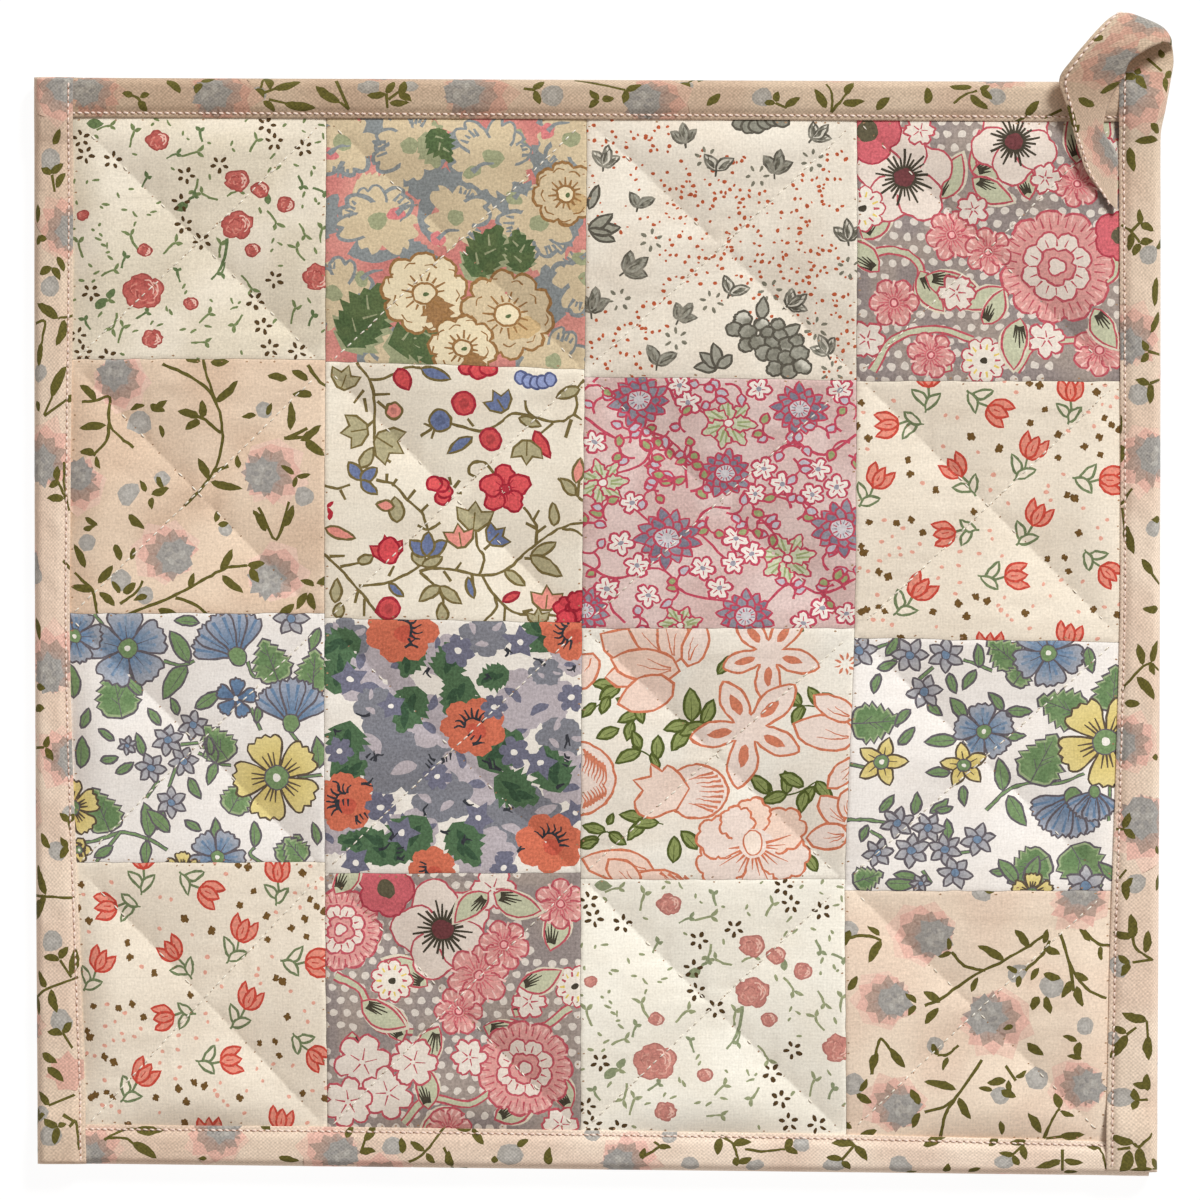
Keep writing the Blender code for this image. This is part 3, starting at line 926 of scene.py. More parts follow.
GREY_LINE, GREY_FILL, ORANGE = (84, 80, 70), (150, 148, 136), (178, 86, 52)
GREY_SPRIGS = (  # across, down, turn, size
    (7, 15, 75, 4.6), (36, 6, 95, 4.3), (48.5, 16, 80, 5.0), (70.5, 17, 75, 5.0), (86, 5, 40, 4.3),
    (20, 31, 70, 4.4), (96.5, 43, 90, 4.6), (18, 57, 30, 5.4), (55, 64, 60, 4.8), (36.5, 75, 50, 4.4),
    (77.5, 70, 30, 4.6), (28, 91, 70, 5.2), (88, 87, 110, 4.4), (3, 71, 80, 5.2),
)
GREY_DOT_FLOWERS = (  # across, down
    (44, 15), (63, 22), (83.5, 15.5), (24, 47), (12.5, 70), (46.5, 70.5), (68, 66), (33.5, 85), (85, 80),
    (91, 97), (97, 57),
)
DOT_CURLS = (  # across, down, radius, from and to angle
    (20, 12, 3.2, 20, 250), (32, 22, 3.0, 200, 420), (27, 8, 2.6, 90, 330), (44, 27, 3.4, 150, 400),
    (52, 33, 3.0, -40, 190), (38, 33, 2.8, 60, 290), (63, 33, 3.0, 0, 250), (82, 27, 2.9, 0, 340),
    (76, 40, 2.6, -60, 160), (92, 28, 3.2, 70, 300), (59, 47, 3.6, 20, 260), (47, 48, 3.2, 160, 400),
    (36, 49, 2.8, 60, 300), (68, 49, 3.0, 180, 420), (84, 45, 3.4, 100, 330), (77, 57, 3.2, 120, 380),
    (45, 58, 2.8, 0, 240), (60, 58, 2.6, 200, 420), (89, 55, 3.0, -30, 200), (87, 64, 3.2, 90, 330),
    (34, 66, 3.0, 40, 270), (25, 76, 3.2, 60, 320), (17, 85, 3.4, 0, 300), (7, 89, 2.8, 90, 300),
    (14, 96, 3.0, 180, 380), (97, 72, 2.8, 90, 290), (93, 17, 2.6, 40, 230), (5, 5, 2.8, 240, 400),
    (97, 85, 2.2, 60, 240), (55, 13, 2.0, 200, 330),
)
BERRIES = (  # across, down, width
    (58, 77, 3.0), (55, 81, 2.8), (60, 82, 3.1), (59.5, 87, 2.7), (64, 86, 3.1), (65, 79, 2.5),
    (69, 86, 2.8), (66, 90, 3.0), (72, 83, 2.4), (70, 91, 2.9), (75, 87, 3.3), (74, 92, 3.0),
    (79, 90, 3.2), (70, 96, 2.9), (75, 97, 2.8), (80, 95, 2.9), (67, 82, 2.2), (78, 85, 2.4),
    (71, 79, 2.2),
)


def grey_sprig(cloth, x, y, turn, size, seed):
    """Two or three pointed leaves on one foot, sketched in heavy dark strokes."""
    foot = np.array((x, y)) - heading(turn) * size * 0.42
    cloth.line(GREY_LINE, [foot - heading(turn + 10) * size * 0.25, foot], 0.34, 0.45)
    for side, long in ((46, 0.82), (-42, 0.86), (2, 1.0))[: 3 if seed % 3 else 2]:
        shape = leaf(*foot, size * long, size * 0.42, turn + side, 0.1 * np.sign(side))
        toned = brushed(GREY_LINE, (136, 132, 120), 0.8, seed)
        cloth.edged(shape, toned, (204, 199, 186) if seed % 2 else GREY_FILL, 0.42)
        near = foot + heading(turn + side) * size * 0.12
        dark = brushed((92, 90, 78), (140, 137, 124), 0.7, seed + 3)
        cloth.add(leaf(*near, size * long * 0.7, size * 0.2, turn + side + 6, 0.12), dark)
        far = foot + heading(turn + side - 8) * size * long * 0.9
        cloth.line(toned, [near, polar((near + far) / 2, turn + 90, 0.3), far], 0.36, 0.14)


def dot_curl(cloth, across, down, radius, begin, end):
    """Dots along an arc round a place, from one angle to another."""
    middle = cloth.at(across, down)
    count = max(6, int(radius * math.radians(end - begin) / 1.22))
    for k in range(count):
        angle = begin + (end - begin) * k / (count - 1)
        stray = 0.14 * math.sin(3.1 * k + down)
        place = middle + heading(angle + 40 * stray) * radius * (0.82 + 0.2 * k / count + stray)
        size = 0.48 + 0.42 * abs(math.sin(1.7 * k + across))
        cloth.add(blob(*place, size, size * 0.85, angle, 0.15, k, 7), ORANGE)


def print_greys(cloth):
    cloth.ground = brushed((229, 221, 207), (224, 214, 199), 8.0, 23)
    for x, y, radius, begin, end in DOT_CURLS:
        dot_curl(cloth, x, y, radius, begin, end)

    def in_drift(x, y):
        across, down = 100 * x / cloth.wide, 100 * y / cloth.high
        return abs(down - 0.72 * across - 8) < 27 or across + (100 - down) < 34

    def dot(x, y, rng):
        size = rng.uniform(0.4, 0.85)
        cloth.add(blob(x, y, size, size * 0.9, 0, 0.15, int(7 * x), 7), ORANGE)

    def outlined(shape, fill=GREY_FILL, width=0.46):
        cloth.edged(shape, GREY_LINE, fill, width)

    scatter(cloth, 120, 0.75, 61, dot, keep=in_drift)
    for across, down in GREY_DOT_FLOWERS:
        dot_flower(cloth, *cloth.at(across, down), 1.7, 6, 1.25, 0.66, (120, 117, 102), across)
    for number, (across, down, turn, size) in enumerate(GREY_SPRIGS):
        grey_sprig(cloth, *cloth.at(across, down), turn, size * 0.94, number + 1)
    for k, (across, down) in enumerate(((65, 71), (72, 78))):
        outlined(leaf(*cloth.at(across, down + 6), 4.4, 2.2, 85 - 50 * k))
    for number, (across, down, size) in enumerate(BERRIES):
        shape = lobed(*cloth.at(across, down), size * 0.56, 5, 0.08, 15 * number, 0.06, number, 0.9)
        tone = GREY_FILL if number % 5 else (200, 197, 184)
        outlined(shape, brushed(tone, (124, 122, 110), 1.0, number + 1))
    for angle, long in ((180, 4.4), (140, 4.4), (100, 4.8), (45, 3.6)):
        outlined(leaf(*cloth.at(49, 96), long, 2.1, angle, 0.06))
    for k in range(6):
        place = cloth.at(57 + 3 * k, 1.2 + 1.6 * math.sin(1.1 * k))
        outlined(blob(*place, 3.0, 2.8, 0, 0.1, k), (132, 130, 118))
    for angle, long, wide in ((90, 6.0, 2.2), (60, 5.4, 2.0), (120, 5.4, 2.0), (75, 4.4, 1.4)):
        outlined(leaf(*cloth.at(1, 43), long, wide, angle - 85, 0.05), (146, 144, 130), 0.5)
    outlined(leaf(*cloth.at(1, 35), 5, 1.6, 70))


# Print of grey-blue spiky flowers in pink haloes, buds and olive twigs on peach

HALO, PALE_HALO, OLIVE = (224, 181, 167), (230, 199, 182), (94, 88, 38)


def aster(cloth, x, y, size, turn, seed):
    """A toothed flower, its grey heart to one side, over a torn pink halo to the other."""
    away = heading(turn)
    centre = np.array((x, y))
    for reach, points, tone in ((1.5, 7, PALE_HALO), (1.3, 8, HALO)):
        place = centre + away * size * (0.25 + 0.12 * (points % 2))
        torn = star(*place, size * reach, size * reach * 0.8, points, turn + 9 * points, 0.12, seed)
        cloth.add(torn, tone)
    body = fade(*(centre - away * size * 0.3), (158, 149, 144), (177, 152, 139), size * 1.25, 0.3)
    cloth.add(star(*(centre + away * size * 0.12), size * 1.12, size * 0.8, 9, turn, 0.12, seed), body)
    for k in range(9):
        near = centre + heading(turn + 40 * k + 12) * size * 0.6
        far = centre + heading(turn + 40 * k + 18) * size * 0.95
        cloth.line((166, 140, 128), [near, far], 0.3, 0.5)
    heart = centre - away * size * 0.2
    cloth.add(star(*heart, size * 0.84, size * 0.66, 7, turn + 20, 0.12, seed + 3), (157, 154, 150))
    cloth.add(blob(*heart, size * 0.95, size * 0.8, turn, 0.3, seed + 4, 9), (166, 162, 156))
    for k in range(5):
        place = heart + heading(turn + 72 * k) * size * 0.3
        tone = (177, 174, 168) if k % 2 else (151, 148, 145)
        cloth.add(blob(*place, size * 0.4, size * 0.22, 70 * k + 30, 0.3, seed + k, 7), tone)


def bud(cloth, x, y, size, turn, seed):
    cloth.add(blob(x, y, size * 1.06, size, turn, 0.26, seed, 11), (170, 166, 160))
    cloth.add(blob(x, y, size * 0.56, size * 0.5, turn, 0.3, seed + 1, 8), (180, 176, 170))


def twig(cloth, points, leaves, width=0.66):
    """A twig through the points, with leaves given as place, length and turn."""
    cloth.line(OLIVE, points, width, width * 0.85)
    for number, (x, y, long, turn) in enumerate(leaves):
        wide = 1.65 if long > 3 else 1.15
        cloth.add(leaf(x, y, long, wide, turn, 0.1 * (-1) ** number, 0.5), OLIVE)


def spray(cloth, x, y, turn, seed):
    """A bent twig of the binding's print, with two to four bold leaves and sometimes a bud."""
    rng = np.random.default_rng(seed)
    long = rng.uniform(6, 9.5)
    bend = rng.uniform(-34, 34)
    base = np.array((x, y))
    middle = base + heading(turn) * long / 2
    tip = middle + heading(turn + bend) * long / 2
    leaves = []
    for k in range(rng.integers(2, 4)):
        share = (k + 1) / 4
        bow = (middle - (base + tip) / 2) * 4 * share * (1 - share)
        place = base * (1 - share) + tip * share + bow
        side = 46 if k % 2 else -46
        leaves.append((*place, rng.uniform(3.2, 4.6), turn + bend * share + side))
    if rng.uniform() < 0.4:
        bud(cloth, *polar(tip, turn + bend, 1.4), rng.uniform(3.0, 3.6), turn, seed)
        leaves += [(*tip, 2.3, turn + bend + 35), (*tip, 2.3, turn + bend - 35)]
    else:
        leaves.append((*tip, 4.2, turn + bend + 8))
    twig(cloth, [base, middle, tip], leaves)


PEACH_LEFT = (  # by kind: across, down, size, turn. A bud has no turn, and a twig is its points.
    ("aster",
     (18, 7, 4.1, 300), (3, 47, 4.0, 260), (77, 45, 4.6, 20), (40, 77, 4.6, 160), (79, 86, 4.5, 40)),
    ("bud",
     (27, 25, 4.6), (23, 53, 4.2), (7, 72, 3.4), (92, 54, 3.8), (76, 20, 3.2), (36, 47, 3.0),
     (20, 87, 4.2), (30, 93, 3.4), (61, 67, 2.6)),
    ("twig",
     ((36, 2), (44, 5.5), (53, 11), (58, 19), (59.5, 30), (58, 40), (53, 49), (45, 58)),
     ((52, 0), (54, 8), (57, 16)), ((59, 29), (53, 24), (45, 20)),
     ((4, 17), (10, 16), (15, 15), (15, 25), (20, 31), (25, 35)), ((15, 25), (14, 32), (9, 38)),
     ((2, 84), (9, 91), (11, 100)), ((22, 101), (34, 96), (44, 92), (54, 86), (62, 82), (70, 81)),
     ((42, 94), (50, 97), (56, 102)), ((20, 96), (26, 92), (29, 87)), ((84, 31), (92, 31), (99, 36)),
     ((74, 58), (81, 71), (86, 56)), ((93, 2), (97, 8), (101, 11)), ((85, 31), (93, 27)),
     ((56, 44), (62, 42))),
    ("leaf",
     (57, 17, 6.0, 45), (52, 23, 3.6, 95), (51, 23, 4.6, 165), (51, 24, 3.6, 215), (54, 47, 4.6, 115),
     (55, 48, 6.6, -12), (10, 16, 4.6, 140), (14, 26, 5.6, 188), (10, 37, 3.2, 175), (10, 38, 2.8, 290),
     (36, 31, 2.6, 100), (33, 19, 3.0, 30), (31, 18, 3.4, 340), (29, 18, 3.0, 200), (86, 28, 5.8, 88),
     (90, 32, 5.4, 38), (92, 32, 5.0, -35), (85, 8, 4.0, 170), (93, 8, 3.6, 150), (95, 14, 4.0, 178),
     (32, 53, 3.6, 20), (30, 52, 2.6, 120), (32, 54, 2.6, 270), (23, 61, 4.2, -42), (77, 68, 5.2, 120),
     (84, 66, 5.0, 68), (88, 45, 3.0, 150), (89, 46, 2.8, 10), (89, 46, 2.2, 260), (6, 62, 3.0, -30),
     (5, 67, 2.8, 20), (6, 82, 5.0, 115), (11, 88, 4.6, 50), (9, 91, 4.4, 170), (20, 79, 3.4, 110),
     (24, 79, 2.6, 75), (20, 92, 3.0, 130), (21, 92, 3.2, 40), (18, 97, 4.2, 140), (59, 83, 5.0, 60),
     (60, 85, 5.4, -38), (70, 81, 3.4, 10), (71, 82, 3.4, -60), (31, 93, 3.0, 200), (35, 98, 4.4, -20),
     (47, 90, 3.0, 75), (93, 92, 3.8, 240), (94, 92, 3.6, 290), (96, 89, 3.0, 160), (97, 88, 3.4, 20),
     (66, 43, 2.6, 100), (73, 22, 3.0, 190), (77, 22, 2.6, 70), (57, 64, 2.4, 80), (58, 65, 2.2, 10),
     (34, 46, 2.8, 300), (55, 1, 3.6, 0), (51, 1, 3.2, 170), (82, 101, 4, 40)),
)
PEACH_RIGHT = (
    ("aster",
     (32, 18, 4.6, 160), (17, 44, 4.2, 170), (55, 51, 4.9, 330), (20, 87, 4.4, 150), (91, 78, 4.2, 180),
     (88, 2, 4.2, 270)),
    ("bud",
     (65, 33, 3.6), (78, 38, 4.6), (34, 62, 3.2), (73, 75, 4.4), (59, 82, 3.6), (91, 54, 3.4),
     (3, 78, 4.2), (51, 1, 3.4), (1, 16, 3.8)),
    ("twig",
     ((30, 46), (37, 43), (47, 35), (58, 29), (68, 23), (75, 18)), ((40, 25), (45, 30), (53, 32)),
     ((68, 32), (74, 26), (77, 20)), ((81, 17), (85, 30), (91, 39), (99, 43)), ((85, 30), (86, 40)),
     ((90, 16), (95, 21), (100, 22)), ((10, 74), (12, 62), (14, 60), (19, 68)),
     ((36, 101), (38, 90), (42, 83), (52, 68)), ((30, 89), (37, 87), (41, 84)),
     ((76, 99), (80, 90), (82, 87)), ((2, 19), (8, 18), (14, 20)), ((35, 66), (39, 66), (43, 62)),
     ((61, 70), (65, 76)), ((77, 99), (88, 98))),
    ("leaf",
     (40, 25, 2.6, 200), (39, 24, 2.6, 90), (60, 28, 6.0, 150), (69, 23, 4.6, 125), (75, 21, 3.0, 80),
     (75, 22, 3.4, -30), (50, 35, 3.0, 250), (36, 45, 4.0, 145), (35, 47, 4.0, 235), (65, 33, 2.6, 150),
     (66, 34, 2.6, 260), (73, 31, 3.0, 240), (75, 33, 3.4, -15), (73, 42, 3.2, 250), (76, 42, 3.6, 285),
     (86, 33, 3.2, -20), (86, 36, 4.0, 240), (87, 38, 4.4, 290), (96, 22, 3.0, 275), (92, 20, 3.0, 130),
     (14, 20, 5.2, 240), (13, 18, 3.0, 140), (2, 16, 3.4, 250), (27, 45, 3.0, 140), (27, 46, 2.8, 230),
     (12, 65, 4.4, 255), (17, 63, 5.0, -55), (35, 66, 2.6, 120), (39, 67, 3.0, 250), (69, 61, 4.0, -35),
     (42, 80, 6.4, 165), (43, 83, 4.8, -60), (28, 86, 3.6, 120), (28, 89, 3.4, 250), (61, 76, 3.6, 190),
     (62, 76, 3.0, 280), (65, 75, 2.6, 40), (59, 80, 3.2, 340), (56, 80, 2.8, 170), (82, 87, 3.2, 110),
     (82, 88, 3.0, -20), (75, 97, 5.0, 125), (82, 98, 5.0, 5), (88, 60, 3.0, 160), (89, 60, 3.6, 265),
     (90, 67, 3.0, 170), (5, 81, 3.0, 60), (4, 82, 3.4, 330), (1, 40, 3.4, 60), (60, 98, 3.0, 100),
     (5, 99, 3.6, 20), (2, 96, 3.0, 150), (64, 54, 2.2, 200), (52, 0, 2.2, 10)),
)


def print_peach(cloth, table, pale, deep):
    cloth.ground = brushed(pale, deep, 9.0, 61)
    for number, kind, row in motifs(table, ("aster", "bud", "twig", "leaf")):
        if kind == "twig":
            twig(cloth, cloth.places(row), ())
            continue
        x, y = cloth.at(*row[:2])
        if kind == "aster":
            aster(cloth, x, y, *row[2:], 500 + 9 * number)
        elif kind == "bud":
            bud(cloth, x, y, row[2], 40 * number, 700 + number)
        else:
            twig(cloth, [(x, y), (x + 0.01, y)], [(x, y, *row[2:])], 0.3)


# By strip and kind: x, y, size or length, and the way it points, as seen from above. A twig is its
# points.
BINDING_MOTIFS = {
    "binding_left_strip": (
        ("aster",
         (-104, 104, 4.2, 210), (-102.6, 76.6, 4.4, 160), (-108, 31.5, 4.8, 60), (-106.4, -8.6, 5.0, 75),
         (-102.8, -26, 4.2, 180), (-110.6, -79, 3.2, 90)),
        ("halo", (-103, -87, 3.4, 90)),
        ("bud",
         (-106.3, 90.3, 4.3, 90), (-106.4, 65.6, 4.1, 0), (-108.6, 48.8, 3.6, 0), (-109, 9.4, 3.0, 0),
         (-102.8, -36.6, 2.8, 0), (-105, -44, 3.7, 0), (-106, -61.6, 4.1, 40), (-104.2, -77, 4.2, 0),
         (-106.4, -99.4, 3.9, 0)),
        ("twig",
         ((-106, 87.4), (-105.4, 84)), ((-104.8, 59.4), (-103.2, 59.7), (-100.5, 60.2)),
         ((-109.4, 58.4), (-107.4, 58.8), (-108.2, 54)), ((-107.6, 40.6), (-106, 44.2)),
         ((-107.6, 40.4), (-103, 43.8)), ((-103.6, 31.6), (-103.6, 27), (-102.6, 22)),
         ((-105.2, 28.4), (-104, 26), (-103.2, 23.6)), ((-103.8, 12.4), (-102, 10.4)),
         ((-109.4, -24), (-107.6, -24)), ((-102.8, -38.2), (-102.4, -40)),
         ((-109.6, -52.8), (-107, -52.9), (-101.6, -53.2)), ((-104.4, -65.2), (-102.2, -68.6)),
         ((-109.4, -72.8), (-106.8, -70.8), (-101, -68.6)), ((-103.8, -79.6), (-102, -82.4)),
         ((-106.6, -93.4), (-101.6, -91.4)), ((-103.8, -95.2), (-101.6, -96.6)),
         ((-102.6, -97.6), (-101.4, -96.6), (-100.6, -102))),
        ("leaf",
         (-105.8, 93.2, 3.2, 65), (-106, 87.6, 2.4, 155), (-106.2, 87.6, 3.0, 38),
         (-105.2, 84.8, 3.2, 55), (-109, 78, 3.4, 90), (-108.8, 75, 2.0, 0), (-109, 73.6, 2.0, 80),
         (-105, 71.4, 3.0, 298), (-106, 69.4, 3.0, 205), (-106, 69.4, 2.8, 305), (-104.8, 59.4, 5.4, 150),
         (-103.4, 59.2, 5.0, 250), (-108.2, 54.6, 4.2, 262), (-106.2, 44, 6.4, 62),
         (-103.4, 43.4, 2.2, 30), (-109.3, 43.4, 2.2, 300), (-104.4, 27.6, 2.6, 200),
         (-105, 27.8, 2.8, 85), (-103.6, 24.4, 3.6, 180), (-109.5, 1.4, 4.6, 292),
         (-109.3, -12, 2.6, 350), (-109.6, -16.6, 3.2, 4), (-107.6, -24, 2.4, 62),
         (-107.4, -24, 2.9, 305), (-102.7, -38.4, 2.4, 140), (-102.7, -38.4, 2.0, 50),
         (-108.2, -40.6, 3.3, 305), (-102.8, -43.4, 2.4, 130), (-102.8, -43.4, 2.5, 230),
         (-107.2, -52.6, 5.8, 112), (-107.2, -52.8, 5.0, 240), (-109.8, -57.6, 4.6, 55),
         (-104.5, -65.2, 2.9, 172), (-104.6, -65, 2.7, 52), (-102.2, -68.2, 5.0, 82),
         (-107, -70.6, 3.6, 125), (-106.2, -71, 4.2, 285), (-109.4, -72, 3.8, 285),
         (-103.8, -79.6, 2.9, 172), (-103.8, -79.6, 2.6, 55), (-108, -83.4, 3.2, 332),
         (-107, -86, 3.8, 318), (-106.6, -93.4, 3.4, 125), (-104.8, -97.6, 2.8, 150),
         (-104.8, -97.6, 2.8, 262), (-104.8, -97.6, 1.4, 20)),
    ),
    "binding_right_and_loop": (
        ("halo", (102.6, 114.4, 3.0, 230), (98.6, 111, 2.6, 60)),
        ("aster",
         (107.6, 117.2, 3.4, 200), (100.8, 108.6, 4.0, 160), (99.8, 92.4, 4.4, 215),
         (103.4, 103.4, 4.6, 328), (103.4, 54.8, 4.4, 60), (107.6, 32.4, 5.0, 200),
         (102.4, -23.2, 4.2, 10), (106.4, -38.4, 5.2, 300)),
        ("bud",
         (107.2, 71.8, 3.9, 0), (105.2, 44.6, 4.3, 0), (108.4, 18.8, 3.8, 0), (104.6, -50.4, 3.8, 90),
         (101.6, -66.4, 4.0, 90), (100.2, -80.6, 2.6, 0), (101.8, -92, 4.3, 0)),
        ("twig",
         ((106.9, 110), (109.8, 107.4)), ((101.8, 77.6), (103.6, 76.3), (105.4, 74.2)),
         ((103.6, 76.2), (105.6, 78.2)), ((107, 53), (109.6, 52.4)), ((107.4, 46.8), (109.6, 47.6)),
         ((101, 24.6), (101.8, 23.4), (103.8, 26.4)), ((102, 22.6), (102.4, 18)),
         ((107.8, 9.8), (109.6, 7.8)), ((102, -13), (103, -11.4), (106.8, -7.8), (109.4, -9)),
         ((100.8, -39.8), (102.4, -39.8)), ((101.4, -49.4), (102.8, -47.6)),
         ((104, -60.6), (104.8, -63), (108, -65.4)), ((107.8, -65.2), (104, -65.8)),
         ((106.8, -77), (107, -81)), ((102.8, -79.8), (104.8, -78.4)), ((105, -92.4), (107, -92.4)),
         ((104.2, -100.8), (105.2, -101.4), (107.8, -98.8)), ((101, -102), (103.6, -101.6))),
        ("leaf",
         (101.4, 105.1, 3.4, 188), (93.2, 102, 3.9, 345), (95.8, 113.4, 1.7, 325), (92.6, 96, 4.8, 108),
         (92.6, 95.4, 2.2, 55), (109.7, 111.6, 2.0, 275), (104.8, 106.4, 2.8, 175),
         (104.8, 106.6, 2.8, 305), (104.8, 106.6, 1.6, 70), (110.3, 106.3, 2.8, 285),
         (110.3, 106.2, 2.0, 35), (107.4, 97.2, 2.8, 318), (104.4, 93.6, 4.7, 0), (103.4, 92.6, 4.6, 280),
         (105.6, 77.8, 2.6, 95), (105.5, 78, 3.0, 334), (105.4, 74, 2.6, 12), (105.4, 74, 2.6, 240),
         (103.6, 76, 3.2, 265), (108.9, 67.6, 5.4, 265), (109.4, 60.8, 4.4, 240), (107, 53, 2.2, 120),
         (107, 52.8, 2.3, 235), (107.4, 46.6, 3.1, 165), (107.4, 46.8, 3.7, 270), (101.5, 41, 4.6, 268),
         (101.8, 35, 3.4, 268), (102.6, 19.4, 5.6, 288), (109.6, 20.4, 2.4, 180), (108, 9.6, 3.7, 130),
         (109.2, 3, 3.5, 180), (106, -8, 4.1, 105), (107.6, -7.6, 4.5, 66), (107.4, -7.6, 2.4, 300),
         (104.8, -10.2, 5.5, 310), (102.4, -15.4, 2.9, 0), (109.2, -25.8, 1.6, 180),
         (102.2, -39.6, 3.0, 70), (102.2, -39.8, 2.8, 320), (101.8, -51.2, 2.6, 40),
         (102.3, -50.2, 3.2, 280), (108.8, -51.8, 3.0, 75), (109.3, -44.8, 1.8, 120),
         (104, -61.2, 4.5, 94), (104, -60.8, 3.4, 165), (106.5, -63.8, 3.9, 85), (103.4, -66, 2.5, 140),
         (103.4, -66, 2.6, 240), (106.9, -77, 4.5, 163), (107, -80, 4.4, 272), (103, -79.8, 5.0, 235),
         (102.8, -79.6, 2.7, 150), (107, -90.6, 3.1, 95), (106.8, -90, 2.5, 165), (105, -92.6, 2.5, 110),
         (105, -92.4, 2.3, 250), (104.2, -100.8, 3.7, 160), (105.1, -101.4, 5.4, 280),
         (103.4, -102, 5.2, 255)),
    ),
    "binding_top_strip": (
        ("aster",
         (-98.6, 103.8, 4.2, 350), (-74.2, 103, 4.7, 345), (-25, 103.4, 5.0, 350), (9.8, 101.8, 4.6, 8)),
        ("bud",
         (-44.4, 104.6, 3.9, 0), (-36.4, 104.8, 3.0, 0), (-8.8, 102.8, 4.5, 90), (32, 102.4, 3.9, 0),
         (77.6, 102.6, 3.5, 90)),
        ("twig",
         ((-92, 103), (-89.4, 102.4), (-88.4, 100.6)), ((-65, 103.2), (-62.4, 104.2)),
         ((-63.8, 102), (-60.4, 101.2)), ((-50, 101.4), (-48.2, 100)), ((-50.8, 105.8), (-48.4, 100.2)),
         ((-41, 103), (-40.8, 100.2)), ((-40.6, 102), (-38, 104)), ((-14.4, 104.2), (-12, 103.8)),
         ((-4.4, 106), (5.4, 103.9)), ((34.6, 101.2), (36.8, 100.2)),
         ((44.4, 105.2), (45.6, 103), (45.4, 99.4)), ((45.4, 99.4), (47.8, 102.4), (48.4, 103.4)),
         ((69.2, 101.2), (71.6, 103), (73.8, 103.6)), ((81, 97.4), (83.4, 98.8)),
         ((86.8, 98.4), (90.2, 100))),
        ("leaf",
         (-90.2, 102.8, 2.0, 172), (-89, 102.4, 2.0, 20), (-89, 101.8, 2.6, 300), (-83.8, 106, 4.1, 308),
         (-77, 105.4, 2.5, 250), (-77, 105.6, 2.6, 20), (-63, 104, 5.3, 22), (-65, 101.8, 3.0, 315),
         (-61, 101.2, 5.8, 352), (-50, 101.2, 5.6, 142), (-41, 103, 3.2, 66), (-41, 103, 3.5, 185),
         (-38.4, 102.8, 3.4, 75), (-38.6, 103.2, 2.8, 325), (-40.4, 101.4, 3.4, 0),
         (-12.4, 103.8, 3.0, 50), (-12.2, 103.8, 2.9, 290), (0.4, 102, 2.5, 135), (0.4, 101.8, 2.4, 215),
         (0.8, 102, 2.3, 0), (5.4, 103.8, 3.2, 25), (5.6, 104, 3.0, 260), (21.2, 100.8, 3.5, 45),
         (34.6, 101.4, 2.2, 75), (34.6, 101.2, 2.0, 180), (36.4, 100.4, 3.3, 35), (44.4, 100.2, 4.4, 118),
         (48.2, 103, 3.2, 62), (47.6, 101.2, 4.0, 8), (54.2, 99.8, 3.5, 48), (64.1, 101, 3.5, 90),
         (72.8, 104.6, 4.0, 180), (72.4, 102.8, 4.2, 320), (74.4, 104, 2.9, 315), (74.2, 103.8, 2.3, 35),
         (83.4, 98.6, 3.9, 55)),
    ),
    "binding_bottom_strip": (
        ("aster",
         (-98.2, -103, 4.0, 38), (-73.4, -98.4, 4.4, 240), (-50.6, -102.8, 4.2, 160),
         (5.0, -104.6, 4.2, 25)),
        ("bud",
         (-39.6, -101.4, 4.1, 0), (-17, -103.2, 4.9, 0), (-1, -99, 3.2, 0), (14, -99.4, 3.0, 0),
         (18, -105, 3.5, 0), (30.6, -105.4, 3.3, 0), (39.6, -101, 3.3, 0), (46, -105.2, 4.0, 0),
         (58.8, -105.4, 4.5, 0), (79, -104.6, 3.5, 0)),
        ("twig",
         ((-95.8, -100.2), (-92.6, -98.4), (-89, -98)), ((-95.8, -100), (-92, -99.8), (-90, -101)),
         ((-46, -102.6), (-45, -99.8)), ((-36.6, -104.6), (-33.4, -102.4), (-29.6, -97.6)),
         ((-24.6, -97.6), (-21, -97.8)), ((-29.8, -101.6), (-28.6, -104.4)),
         ((8.6, -103.8), (11.8, -101.6), (11, -100.6)), ((23.8, -99.4), (26.4, -101), (27.4, -104.6)),
         ((28.6, -102), (32, -102.4), (36.6, -102)), ((50, -101), (47.4, -104.2)),
         ((83, -101), (80.6, -103.2)), ((90.4, -102), (90.4, -106.4)),
         ((95.6, -101.2), (98, -102.4), (99, -106))),
        ("leaf",
         (-90, -98.2, 5.2, 358), (-90.4, -100.6, 5.4, 322), (-65.6, -97, 2.2, 330), (-76, -104, 1.4, 180),
         (-62, -103.6, 3.8, 348), (-48.8, -99.8, 2.5, 60), (-45.2, -100.4, 3.5, 60),
         (-46.4, -102.6, 3.1, 5), (-37.8, -102.8, 3.2, 95), (-33.6, -102.4, 3.2, 140),
         (-33.2, -102.8, 2.6, 305), (-24.4, -97.8, 2.9, 185), (-24.4, -98, 3.7, 305),
         (-15.6, -101.6, 2.5, 40), (-20, -104.8, 1.6, 90), (-9.5, -105.2, 3.9, 88),
         (8.4, -103.8, 2.2, 70), (11.8, -101.6, 2.4, 0), (23.9, -99.8, 3.5, 262), (26.2, -101, 3.5, 8),
         (27.2, -104.8, 2.9, 25), (27, -105.4, 2.0, 100), (36.6, -102, 2.6, 68), (36.6, -101.8, 2.5, 330),
